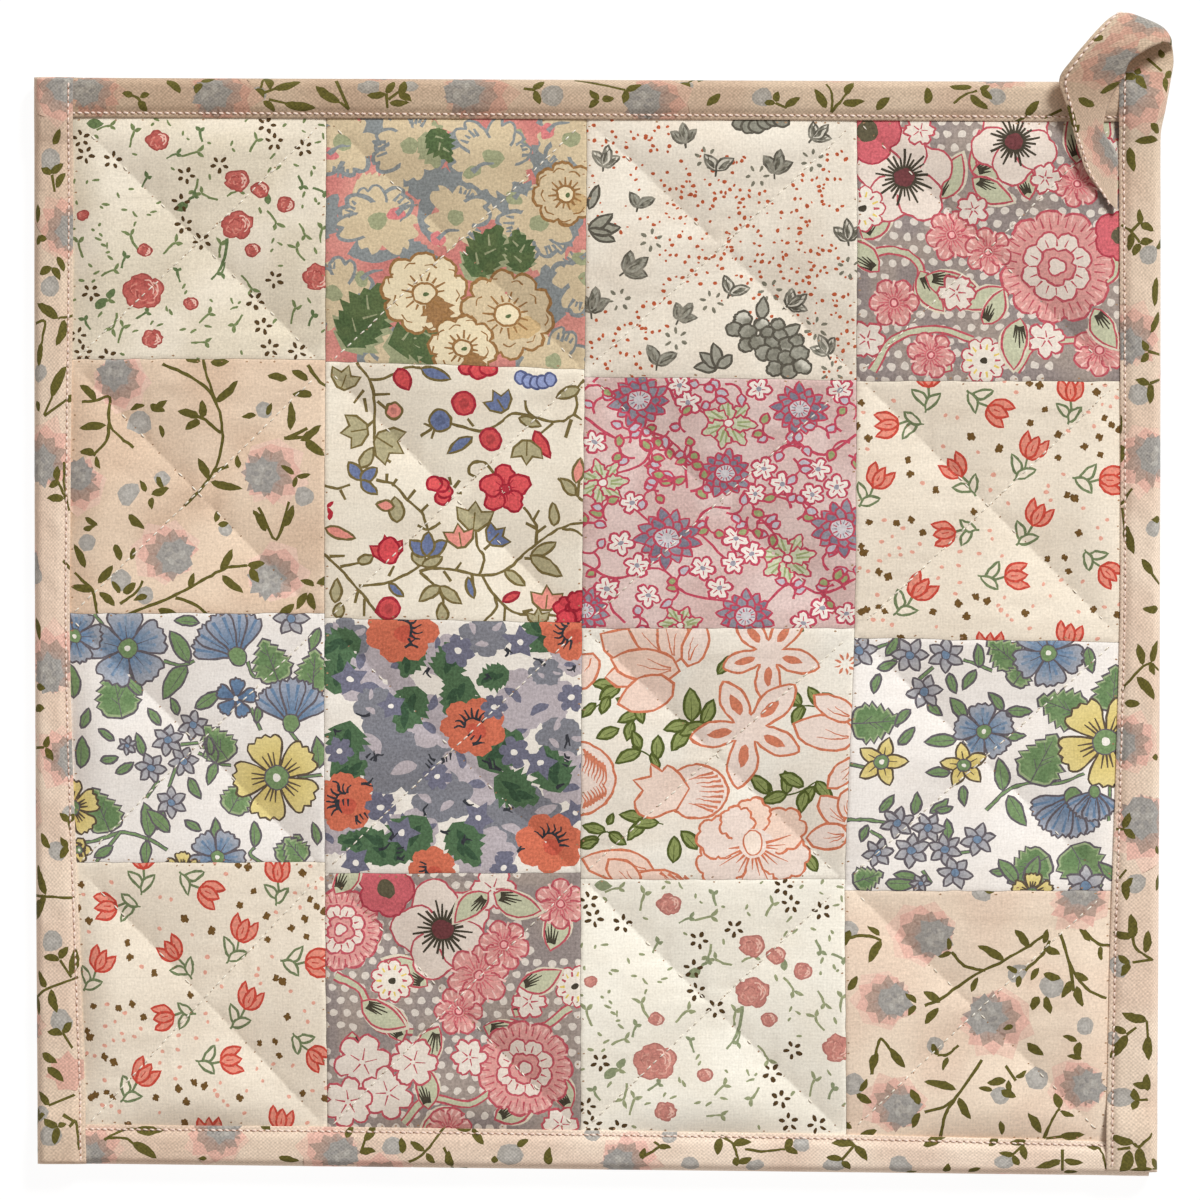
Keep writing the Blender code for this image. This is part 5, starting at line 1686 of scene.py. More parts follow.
def jagged(x, y, long, turn, broad=0.37, bite=0.16, count=15):
    """Outline of a leaf with a toothed edge."""
    t = np.linspace(0, 1, count)
    half = broad * long * np.sin(math.pi * t**0.72) ** 0.8
    teeth = bite * (np.arange(count) % 2) * (1 + 0.5 * np.sin(2.3 * np.arange(count) + turn))
    half = half * (1 + teeth) - 0.012 * long
    half[0] = half[-1] = 0
    along = t * long + np.arange(count) % 2 * bite * long * 0.12
    along, aside = np.append(along, along[::-1][1:-1]), np.append(half, -half[::-1][1:-1])
    return laid_along((x, y), turn, along, aside)


def mirrored(x, y, long, wide, turn, side):
    """A closed outline from (along, aside) pairs of one side of a petal or leaf."""
    along, aside = np.array(side).T
    along = np.append(along, along[::-1][1:]) * long
    aside = np.append(aside, -aside[::-1][1:]) * wide
    return laid_along((x, y), turn, along, aside)


NOTCHED = (
    (0, 0.05), (0.3, 0.24), (0.6, 0.44), (0.82, 0.5), (0.96, 0.4), (0.92, 0.24), (1.03, 0.13), (0.98, 0),
)


def notched(x, y, long, wide, turn):
    """Outline of a broad petal with three scallops along its end."""
    return curve(mirrored(x, y, long, wide, turn, NOTCHED), 2)


def toothed(x, y, long, turn):
    """Outline of a broad pointed leaf with saw teeth."""
    side, teeth = [(0, 0)], 6
    for k in range(teeth):
        t = (k + 0.62) / (teeth + 0.5)
        half = 0.41 * math.sin(math.pi * t**0.62) ** 0.85
        side += [(t - 0.035, 0.86 * half), (t + 0.03, 1.1 * half)]
    return mirrored(x, y, long, long, turn, side + [(1, 0)])


def petalled(
    cloth, x, y, size, turn, count, fill, deep, line, wide, blunt, veins, brush=None, vein=0.22
):
    """Separate outlined petals round a middle, each darker at its foot, with brush marks and
    veins."""
    tone = fade(x, y, deep, fill, size * 0.95, 0.25)
    angles = evenly(count, turn)
    for angle in angles:
        if blunt > 1.5 and size > 3.5:
            shape = notched(x, y, size, size * wide, angle)
        else:
            shape = leaf(x, y, size, size * wide, angle, 0.0, blunt)
        cloth.edged(shape, line, tone, 0.42)

    for angle in angles:
        if brush:
            ways, spans = (angle - 15, angle, angle + 15), ((0.3, 0.72), (0.3, 0.84), (0.3, 0.72))
            rays(cloth, (x, y), size, ways, spans, (brush,), 0.3, 0.62)
        ways = [angle + (j - (veins - 1) / 2) * 13 for j in range(veins)]
        rays(cloth, (x, y), size, ways, ((0.25, 0.6),), (line,), vein, vein * 0.5)


def garden_motif(cloth, kind, x, y, size, turn):
    if kind == "jag":
        shape = toothed(x, y, size, turn)
        cloth.edged(shape, GARDEN_LINE, GARDEN_PALE, 0.42)
        cloth.add(grown(shape, -0.62), brushed(GARDEN_GREEN, (102, 130, 88), 1.6, 5))
        for share, side in ((0.25, 38), (0.45, -38), (0.6, 36), (0.35, -40)):
            start = np.array((x, y)) + heading(turn) * size * share
            cloth.line(GARDEN_LINE, [start, start + heading(turn + side) * size * 0.22], 0.16, 0.1)
        end = np.array((x, y)) + heading(turn) * size * 0.85
        cloth.line(GARDEN_LINE, [(x, y), end], 0.24, 0.12)
    elif kind == "leaf":
        cloth.edged(leaf(x, y, size, size * 0.42, turn, 0.08), GARDEN_LINE, GARDEN_GREEN, 0.42)
        cloth.line(GARDEN_LINE, [(x, y), (x, y) + heading(turn) * size * 0.7], 0.16, 0.1)
    elif kind == "star":
        petalled(cloth, x, y, size, turn, 6, GARDEN_GREY, (160, 160, 168), GARDEN_LINE, 0.56, 0.0, 0)
        cloth.edged(blob(x, y, size * 0.5, size * 0.5), GARDEN_LINE, (112, 134, 160), 0.2)
    elif kind == "blue":
        brush = brushed(GARDEN_BLUE, (134, 152, 172), 1.0, 9)
        petalled(cloth, x, y, size, turn, 5, (160, 165, 176), GARDEN_BLUE, GARDEN_LINE, 0.9, 1.8, 1, brush)
        cloth.edged(blob(x, y, size * 0.5, size * 0.5, 0, 0.08), GARDEN_LINE, GARDEN_GREEN, 0.24)
        cloth.add(blob(x, y, size * 0.17, size * 0.17), (240, 236, 228))
    elif kind == "aster":
        petalled(cloth, x, y, size, turn, 5, GARDEN_BLUE, (92, 116, 148), GARDEN_LINE, 0.74, 1.6, 0)
        cloth.add(blob(x, y, size * 0.26, size * 0.26), (242, 240, 236))
    elif kind == "fan":
        for side in (-46, 46, -22, 24, 0):
            shape = notched(x, y, size * (1 - 0.06 * abs(side) / 46), size * 0.56, turn + side)
            cloth.edged(shape, GARDEN_LINE, fade(x, y, GARDEN_BLUE, (156, 162, 176), size, 0.2), 0.42)
            for off in (-9, 8):
                way = heading(turn + side + off)
                cloth.line(GARDEN_BLUE, [(x, y) + way * size * 0.5, (x, y) + way * size * 0.88], 0.3, 0.66)
        ways = [turn + side for side in (-34, -12, 12, 34)]
        rays(cloth, (x, y), size, ways, ((0.3, 0.62),), (GARDEN_LINE,), 0.2, 0.1)
        cloth.edged(blob(x, y, size * 0.42, size * 0.36, turn, 0.08), GARDEN_LINE, GARDEN_GREEN, 0.3)
    elif kind in ("yellow", "smallyellow"):
        small = kind == "smallyellow"
        petalled(
            cloth, x, y, size, turn, 5, GARDEN_YELLOW, (212, 192, 116), (92, 80, 66), 0.56 if small else 0.82,
            0.2 if small else 1.7, 1 if small else 3, None, 0.3 if small else 0.5,
        )
        cloth.edged(blob(x, y, size * 0.56, size * 0.56, 0, 0.06), GARDEN_LINE, GARDEN_GREEN, 0.26)
        cloth.add(blob(x, y, size * 0.2, size * 0.2), (240, 236, 228))


def print_garden(cloth, table, ground):
    cloth.ground = ground
    draw_stems(cloth, table, ((GARDEN_LINE, 0.85, 0.8), (GARDEN_GREEN, 0.45, 0.4)))
    for _, kind, row in motifs(table):
        if kind != "stem":
            garden_motif(cloth, kind, *cloth.at(*row[:2]), *row[2:])


# Print of large faded tan, cream and grey-blue flowers on rose, a generic design

FADED_TAN, FADED_CREAM, FADED_SAGE = (204, 186, 154), (226, 212, 180), (154, 158, 124)
FADED_SLATE, FADED_BROWN, FADED_GREEN = (132, 137, 138), (146, 108, 66), (90, 106, 68)
FADED_PATCHES = (  # broad brush marks: across, down, length, turn, colour: s slate, g sage
    (40, 30, 11, 20, "s"), (72, 30, 13, 350, "s"), (90, 24, 12, 60, "s"), (2, 52, 12, 60, "s"),
    (34, 52, 9, 340, "s"), (88, 52, 12, 30, "s"), (12, 86, 11, 20, "s"), (98, 82, 12, 100, "s"),
    (56, 6, 11, 330, "s"), (22, 4, 12, 0, "s"), (50, 16, 8, 100, "g"), (82, 4, 9, 240, "g"),
    (20, 66, 9, 200, "g"), (74, 56, 8, 40, "g"), (44, 100, 8, 60, "g"),
)
FADED_BACKDROP = ((10, 30), (44, 4), (70, 32), (36, 26), (92, 52), (8, 58), (60, 26), (84, 20))
FADED_FLOWERS = (  # across, down, radius, petals
    (6, 10, 7.6, 6), (32, 11, 7.2, 7), (64, 16, 8.2, 7), (94, 8, 7.2, 6), (20, 42, 7.8, 7),
    (50, 40, 6.6, 6), (82, 42, 7.6, 7), (101, 64, 7.2, 6), (3, 72, 7.2, 6), (28, 99, 7.0, 6),
    (88, 97, 6.6, 6),
)
FADED_LEAVES = (  # across, down, length, turn
    (8, 94, 15, 62), (24, 92, 12, 15), (56, 64, 12, 62), (50, 104, 14, 118), (76, 62, 9, 100),
    (40, 4, 8, 300),
)
FADED_OPEN = (  # across, down, radius, lobes, colour: c cream, t tan
    (38, 71, 8.4, 9, "c"), (70, 79, 9.0, 10, "t"), (53, 93, 6.6, 8, "c"), (92, 30, 6.4, 8, "t"),
)


def brushed_petal(x, y, long, wide, turn, rng):
    """Outline of a broad petal with a soft notch or two in its end."""
    notch, lean = rng.uniform(0.84, 0.94), rng.uniform(-0.3, 0.3)
    line = (
        (0.0, 0.3), (0.35, 0.8), (0.68, 1.0), (0.92, 0.84), (rng.uniform(0.98, 1.06), 0.42),
        (notch, lean),
        (rng.uniform(0.98, 1.06), -0.45), (0.9, -0.86), (0.62, -1.0), (0.35, -0.8), (0.0, -0.3),
    )
    ray, side = heading(turn), heading(turn + 90)
    points = np.array([(x, y) + ray * long * a + side * wide / 2 * b for a, b in line])
    return curve(points, 3)


def faded_flower(cloth, x, y, size, petals, seed):
    """A loose flower of broad tan petals: some drawn in grey-blue, a grey-blue crescent behind
    others, a few short brush strokes beside them, and a sage heart."""
    rng = np.random.default_rng(seed)
    start, shade = rng.uniform(0, 360), rng.uniform(0, 360)
    centre = np.array((x, y))
    arc = [centre + heading(shade + 105 + 22 * k) * size * 0.94 for k in range(5)]
    cloth.line(FADED_SLATE, arc, 3.4, 1.6)
    for k in range(petals):
        turn = start + 360 * k / petals + rng.uniform(-8, 8)
        long, wide = size * rng.uniform(0.84, 1.04), size * rng.uniform(0.58, 0.76)
        petal = brushed_petal(*centre, long, wide, turn, rng)
        if abs((turn - shade + 180) % 360 - 180) < 85:
            cloth.add(grown(petal, rng.uniform(0.5, 0.9)), FADED_SLATE)
        cloth.add(petal, FADED_TAN)
    cloth.add(blob(x, y, size * 1.1, size, 0, 0.1, seed), FADED_TAN)
    for side in (shade + 20, shade - 95):
        for k in range(4):
            ray = heading(side + 9 * k + rng.uniform(-2, 2))
            near, far = size * rng.uniform(0.62, 0.74), size * rng.uniform(0.84, 0.98)
            cloth.line(FADED_SLATE, [centre + ray * near, centre + ray * far], 0.7, 0.35)
    cloth.add(blob(x, y, size * 0.5, size * 0.44, 0, 0.24, seed), FADED_SAGE)


def open_flower(cloth, x, y, size, lobes, fill, seed):
    """A scalloped flower in brown line with strokes round a ringed heart."""
    cloth.edged(lobed(x, y, size, lobes, 0.16, 13 * seed, 0.05, seed), FADED_BROWN, fill, 0.6)
    if seed % 2:
        shade = jagged(x + size * 0.2, y + size * 0.1, size * 0.95, 290, 0.3, 0.4, 11)
        cloth.add(shade, (154, 116, 76))
    else:
        shade = blob(x + size * 0.35, y + size * 0.3, size * 0.7, size * 0.5, 30, 0.3, seed)
        cloth.add(shade, (194, 166, 122))
    spans = ((0.3, 0.46), (0.3, 0.54))
    rays(cloth, (x, y), size, evenly(15, 5 * seed), spans, (FADED_BROWN,), 0.5, 0.3)
    cloth.edged(blob(x, y, size * 0.55, size * 0.5, 0, 0.1, seed), FADED_BROWN, FADED_CREAM, 0.5)
    cloth.add(blob(x + 0.3, y + 0.2, 1.2, 0.8, 30, 0.3, seed), FADED_GREEN)
    for k in range(9):
        turn = 40 * k + 77 * seed
        place = np.array((x, y)) + heading(turn) * size * (0.66 + 0.08 * (k % 3))
        over = heading(turn + 90)
        bow = [place - over * 1.2, polar(place, turn, 0.5), place + over * 1.2]
        cloth.line(FADED_BROWN, bow, 0.35, 0.2)


def print_faded(cloth):
    cloth.ground = brushed((206, 140, 130), (194, 122, 116), 6.0, 81)
    for k, (across, down) in enumerate(FADED_BACKDROP):
        cloth.add(jagged(*cloth.at(across, down), 9.0, 50 * k, 0.4, 0.3, 15), FADED_TAN)
    for across, down, long, turn, tone in FADED_PATCHES:
        x, y = cloth.at(across, down)
        shape = jagged(x - long * 0.4, y, long, turn, 0.26, 0.3, 13)
        cloth.add(shape, FADED_SLATE if tone == "s" else FADED_SAGE)
    for k, (across, down, size, petals) in enumerate(FADED_FLOWERS):
        faded_flower(cloth, *cloth.at(across, down), size, petals, 820 + k)
    for k in range(10):
        x, y = cloth.at((29 * k + 40) % 100, (61 * k + 12) % 78)
        cloth.add(blob(x, y, 2.6, 3.4, 30 * k, 0.3, k), (206, 124, 124) if k % 2 else FADED_SAGE)
        cloth.line(FADED_SLATE, [(x, y), (x + 1.8, y - 1.6), (x + 4.2, y - 2.0)], 1.1, 0.3)
    for across, down, size, turn in FADED_LEAVES:
        x, y = cloth.at(across, down)
        cloth.add(jagged(x - 1.0, y + 0.6, size, turn - 12, 0.3, 0.4, 13), FADED_SAGE)
        cloth.add(jagged(x, y, size, turn, 0.28, 0.42, 15), brushed(FADED_GREEN, (78, 98, 62), 2.0, 7))
        for share, side in ((0.25, 40), (0.45, -40), (0.6, 34)):
            start = np.array((x, y)) + heading(turn) * size * share
            cloth.line(FADED_SAGE, [start, start + heading(turn + side) * size * 0.2], 0.5, 0.2)
    for k, (across, down, size, lobes, tone) in enumerate(FADED_OPEN):
        fill = FADED_CREAM if tone == "c" else FADED_TAN
        open_flower(cloth, *cloth.at(across, down), size, lobes, fill, k + 1)


# Print of pink and white blossoms with pale leaves on grey with white dots, a generic design

POLKA_GREY, POLKA_DOT, POLKA_LINE = (156, 143, 135), (214, 205, 195), (180, 82, 92)
POLKA_PINK, POLKA_WHITE, POLKA_LEAF = (210, 150, 145), (224, 211, 200), (190, 192, 164)
POLKA_DARK = (66, 60, 48)
POLKA_UPPER = (  # by kind: across, down, size, turn. A stem is its points.
    ("stem",
     ((6, 96), (14, 84), (30, 80), (44, 84)), ((48, 4), (44, 16), (50, 26)),
     ((2, 52), (14, 50), (24, 56), (22, 68)), ((60, 96), (68, 86), (84, 84))),
    ("leaf",
     (30, 30, 9, 60), (44, 20, 8, 20), (44, 22, 8, 330), (2, 46, 9, 60), (24, 58, 8, 300),
     (26, 60, 9, 350), (58, 66, 8, 200), (92, 64, 8, 70), (36, 96, 8, 150), (66, 30, 7, 110),
     (98, 30, 7, 110), (48, 78, 7, 60)),
    ("peony", (76, 56, 11.0, 0)), ("anemone", (18, 22, 9.0, 20), (60, 8, 8.0, 50)),
    ("pink",
     (36, 44, 5.0, 10), (50, 50, 4.6, 40), (14, 70, 4.8, 0), (92, 88, 5.2, 30), (28, 90, 4.6, 50),
     (84, 24, 4.6, 15)),
    ("daisy", (48, 92, 4.4, 0), (2, 34, 4.4, 0)),
    ("white", (38, 66, 3.6, 0), (44, 34, 3.0, 30), (72, 84, 3.6, 20), (4, 84, 3.6, 0)),
    ("poppy", (4, 4, 6.5, 0), (100, 44, 5.0, 0)), ("white", (72, 22, 3.0, 10), (24, 4, 3.0, 0)),
    ("leaf", (84, 16, 9, 96), (85, 14, 10, 62), (88, 17, 8, 20)), ("white", (98, 14, 4.2, 0)),
    ("leaf", (62, 76, 9, 262), (90, 72, 8, 300), (8, 58, 8, 140)),
)
POLKA_LOWER = (
    ("stem",
     ((4, 40), (14, 46), (20, 60), (34, 62)), ((96, 52), (84, 60), (72, 58)),
     ((30, 98), (40, 88), (56, 90), (66, 84))),
    ("leaf",
     (40, 44, 9, 150), (44, 60, 9, 250), (62, 60, 9, 350), (66, 96, 9, 30), (22, 20, 9, 230),
     (10, 62, 8, 280), (88, 30, 9, 80), (40, 92, 8, 100), (2, 96, 8, 60), (74, 56, 8, 60),
     (54, 94, 8, 200), (96, 92, 8, 120)),
    ("anemone", (46, 22, 9.6, 35)), ("peony", (78, 76, 9.4, 0), (6, 22, 8.0, 0)),
    ("poppy", (24, 6, 5.6, 0)),
    ("white", (14, 74, 5.6, 10), (24, 86, 5.2, 40), (34, 74, 4.8, 0), (8, 90, 5.0, 20)),
    ("pink", (60, 40, 6.2, 20), (70, 28, 5.0, 50), (52, 54, 4.8, 0), (92, 12, 5.0, 30)),
    ("daisy", (26, 42, 4.2, 0)), ("white", (56, 72, 3.6, 0), (80, 50, 3.4, 0)),
    ("daisy", (98, 44, 4.0, 0)), ("pink", (48, 100, 4.6, 10)),
    ("white", (66, 6, 4.4, 0), (92, 98, 3.6, 0)),
    ("leaf",
     (66, 8, 9, 340), (64, 8, 8, 220), (76, 44, 8, 20), (30, 66, 8, 120), (14, 50, 9, 330), (4, 8, 8, 60)),
)


def blossom(cloth, x, y, size, turn, petals, fill, seed, width=0.95):
    """Separate rounded petals in crimson line."""
    for k in range(petals):
        angle = turn + 360 * k / petals
        place = np.array((x, y)) + heading(angle) * size * 0.56
        shape = lobed(*place, size * 0.46 * width, 3, 0.14, angle, 0.05, seed + k)
        cloth.edged(shape, POLKA_LINE, fill, 0.4)
    cloth.add(blob(x, y, size * 0.8, size * 0.8), fill)


def polka_motif(cloth, kind, x, y, size, turn, seed):
    centre = np.array((x, y))
    if kind == "peony":
        cloth.edged(lobed(x, y, size, 11, 0.12, turn, 0.03, seed), POLKA_LINE, POLKA_PINK, 0.5)
        for k in range(34):
            ray = heading(360 * k / 34 + 3)
            near = centre + ray * size * (0.66 + 0.04 * (k % 3))
            cloth.line(POLKA_LINE, [near, near + ray * size * 0.2], 0.34, 0.14)
            rim = centre + heading(360 * k / 34 + 8) * size * 0.95
            cloth.line((228, 184, 176), [rim, rim - ray * size * 0.14], 0.5, 0.2)
        cloth.edged(lobed(x, y, size * 0.62, 8, 0.18, 20, 0.05, seed), POLKA_LINE, POLKA_WHITE, 0.45)
        rays(cloth, centre, size, evenly(16), ((0.36, 0.5),), (POLKA_LINE,), 0.36, 0.14)
        cloth.edged(lobed(x, y, size * 0.34, 5, 0.22, 50, 0.06, seed), POLKA_LINE, POLKA_PINK, 0.45)
        cloth.edged(lobed(x, y, size * 0.16, 3, 0.2, 0), POLKA_LINE, POLKA_WHITE, 0.4)
    elif kind == "anemone":
        blossom(cloth, x, y, size, turn, 5, POLKA_WHITE, seed, 1.1)
        spans = ((0.16, 0.42), (0.16, 0.52), (0.16, 0.62))
        rays(cloth, centre, size, evenly(26, turn), spans, (POLKA_DARK,), 0.6, 0.4)
        cloth.add(blob(x, y, size * 0.44, size * 0.4, 0, 0.1, seed), (104, 56, 58))
    elif kind == "pink":
        blossom(cloth, x, y, size, turn, 6, POLKA_PINK, seed)
        for k in range(18):
            ray = heading(20 * k + turn)
            far = centre + ray * size * (0.5 + 0.14 * (k % 2))
            cloth.line((196, 104, 110), [centre + ray * size * 0.22, far], 0.36, 0.14)
            near = centre + heading(20 * k + 9 + turn) * size * 0.9
            cloth.line((234, 196, 188), [near, near - ray * size * 0.26], 0.5, 0.2)
        cloth.edged(blob(x, y, size * 0.3, size * 0.3), POLKA_LINE, (236, 176, 174), 0.34)
    elif kind == "daisy":
        cloth.edged(lobed(x, y, size, 9, 0.2, turn, 0.04, seed), POLKA_LINE, (230, 222, 210), 0.34)
        tones = (POLKA_LINE, (222, 196, 104))
        rays(cloth, centre, size, evenly(14), ((0.5, 0.74),), tones, 0.45, 0.3)
        cloth.add(blob(x, y, size * 0.36, size * 0.3, 20, 0.1, seed), POLKA_DARK)
    elif kind == "white":
        cloth.edged(lobed(x, y, size, 6, 0.3, turn, 0.08, seed), POLKA_LINE, (225, 215, 204), 0.46)
        rays(cloth, centre, size, evenly(5, turn), ((0.1, 0.5),), (POLKA_LINE,), 0.34, 0.16)
    elif kind == "poppy":
        cloth.edged(lobed(x, y, size, 5, 0.16, turn, 0.05, seed), (166, 60, 74), (198, 98, 106), 0.4)
        cloth.add(blob(x, y, size * 0.6, size * 0.7, 30, 0.15, seed), (92, 86, 66))
    elif kind == "leaf":
        cloth.add(leaf(x, y, size * 1.2, size * 0.66, turn, 0.12), (214, 206, 186))
        cloth.edged(leaf(x, y, size * 1.1, size * 0.54, turn, 0.12), POLKA_LINE, POLKA_LEAF, 0.4)
        for lean in (-26, -13, 0, 13, 26):
            near = centre + heading(turn + lean) * size * 0.16
            far = centre + heading(turn + lean * 0.7 + 6) * size * (0.62 - 0.007 * abs(lean))
            cloth.line(POLKA_DARK, [near, far], 0.5, 0.2)


def print_polka(cloth, table):
    cloth.ground = brushed(POLKA_GREY, (142, 131, 128), 5.0, 61)
    rng = np.random.default_rng(5)
    for down in range(-1, 21):
        for across in range(-1, 21):
            x = 2.7 * (across + 0.5 * (down % 2)) + rng.uniform(-0.25, 0.25)
            y = 2.5 * down + rng.uniform(-0.25, 0.25)
            if noise(x, y, 11.0, 62) > -0.35:
                cloth.add(blob(x, y, 1.6, 1.5, 0, 0.16, across + 1), POLKA_DOT)
    draw_stems(cloth, table, ((POLKA_LINE, 1.9, 1.6), (POLKA_LEAF, 1.1, 0.8)))
    for number, kind, row in motifs(table):
        if kind != "stem":
            polka_motif(cloth, kind, *cloth.at(*row[:2]), *row[2:], number)


# Print of crimson line-work with slate, green and white flowers on mauve, a generic design

MAUVE_LINE, MAUVE_SLATE, MAUVE_GREEN = (182, 70, 90), (140, 138, 150), (150, 160, 112)
MAUVE_WHITE = (232, 224, 216)
MAUVE_VINES = (  # points of each vine
    ((0, 16), (12, 24), (26, 22), (36, 30), (38, 44)),
    ((100, 22), (88, 30), (76, 26), (66, 34), (62, 50), (70, 62)),
    ((0, 74), (12, 80), (28, 76), (38, 86), (58, 90)), ((100, 80), (88, 86), (76, 82), (66, 92)),
    ((16, 50), (26, 58), (40, 60), (52, 72)), ((30, 0), (34, 10), (44, 14), (50, 24)),
    ((62, 50), (72, 46), (82, 50), (88, 58)), ((26, 22), (22, 34), (12, 38)), ((76, 26), (80, 14)),
    ((12, 80), (10, 90), (16, 98)), ((88, 86), (92, 94)), ((40, 60), (46, 52), (54, 52)),
)
MAUVE_ROWS = (  # by kind: across, down, size
    ("aster",
     (20, 9, 5.8), (79, 12, 5.4), (31, 64, 6.2), (95, 60, 6.0), (60, 95, 5.4), (1, 93, 4.8),
     (52, 38, 5.0)),
    ("green", (53, 18, 5.8), (7, 42, 5.4), (75, 72, 6.0), (36, 99, 4.6)),
    ("floret",
     (66, 36, 2.9), (73, 42, 2.9), (63, 46, 2.6), (14, 66, 3.0), (20, 75, 2.9), (9, 84, 2.9),
     (24, 87, 2.8), (86, 36, 2.9), (93, 43, 2.9), (84, 46, 2.7), (44, 76, 2.9), (50, 84, 2.9),
     (38, 10, 2.9), (35, 3, 2.7), (88, 92, 2.9), (81, 98, 2.8), (4, 26, 2.8), (56, 64, 3.0),
     (62, 70, 2.9), (55, 74, 2.7), (94, 4, 2.9), (64, 4, 2.8), (97, 94, 2.7), (18, 50, 2.7)),
)


def mauve_motif(cloth, kind, x, y, size, seed):
    centre = np.array((x, y))
    if kind == "aster":
        for ring, points in ((0.94, 13), (0.68, 10)):
            for k in range(points):
                turn = 360 * k / points + 9 * seed
                near = centre + heading(turn) * size * ring * 0.3
                long = size * ring * (0.72 + 0.09 * math.sin(2.1 * k + seed))
                fill = MAUVE_SLATE if k % 3 else (122, 120, 136)
                cloth.edged(leaf(*near, long, size * 0.36, turn, 0.05, 0.4), MAUVE_LINE, fill, 0.42)
        cloth.edged(blob(x, y, size * 0.76, size * 0.7, 0, 0.12, seed), MAUVE_LINE, (206, 202, 206), 0.4)
        ways = [26 * k + 8 * seed for k in range(14)]
        tones = (MAUVE_SLATE, MAUVE_LINE)
        rays(cloth, centre, size, ways, ((0.16, 0.31),), tones, 0.26, 0.16)
    elif kind == "green":
        for k in range(7):
            angle = 360 * k / 7 + 7 * seed
            shape = jagged(x, y, size * 0.92, angle, 0.26, 0.3, 9)
            cloth.edged(shape, MAUVE_LINE, (196, 200, 172), 0.42)
            for way in (-10, 10):
                near = centre + heading(angle + way) * size * 0.28
                cloth.line(MAUVE_GREEN, [near, near + heading(angle + way * 0.6) * size * 0.42], 0.5, 0.3)
        cloth.edged(blob(x, y, size * 0.3, size * 0.3), MAUVE_LINE, MAUVE_WHITE, 0.34)
    elif kind == "floret":
        cloth.edged(lobed(x, y, size * 0.84, 5, 0.42, 20 * seed, 0.06, seed), MAUVE_LINE, MAUVE_WHITE, 0.5)
        rays(cloth, centre, size, evenly(5, 20 * seed), ((0.2, 0.48),), (MAUVE_LINE,), 0.24, 0.16)
        cloth.add(blob(x, y, size * 0.36, size * 0.34), (150, 148, 160))


def print_mauve(cloth):
    cloth.ground = brushed((216, 193, 188), (204, 176, 171), 6.0, 91)
    for vine in MAUVE_VINES:
        cloth.line(MAUVE_LINE, cloth.places(vine), 0.55, 0.46)
    for number, kind, (across, down, size) in motifs(MAUVE_ROWS):
        mauve_motif(cloth, kind, *cloth.at(across, down), size, number)

    def budded(x, y, rng):
        """A curled stalk with a pointed bud at its tip and none to two on its side."""
        turn, curl = rng.uniform(0, 360), rng.choice((-34, 34))
        path = [np.array((x, y))]
        for k in range(3):
            path.append(polar(path[-1], turn + curl * k, 1.35))
        cloth.line(MAUVE_LINE, path, 0.5, 0.44)
        ends = [(path[3], turn + curl * 2.6)]
        ends += [(path[k], turn - curl * 1.4) for k in (1, 2)[: rng.integers(0, 3)]]
        for place, lean in ends:
            fill = MAUVE_GREEN if rng.uniform() < 0.35 else (186, 180, 190)
            shape = leaf(*place, rng.uniform(1.9, 2.6), 1.6, lean, 0, 0.3)
            cloth.edged(shape, MAUVE_LINE, fill, 0.46)

    scatter(cloth, 58, 2.3, 92, budded, 1.0, None, len(MAUVE_VINES))


# Print of slate, mauve and orange flowers with dark green leaves on off-white, a generic design

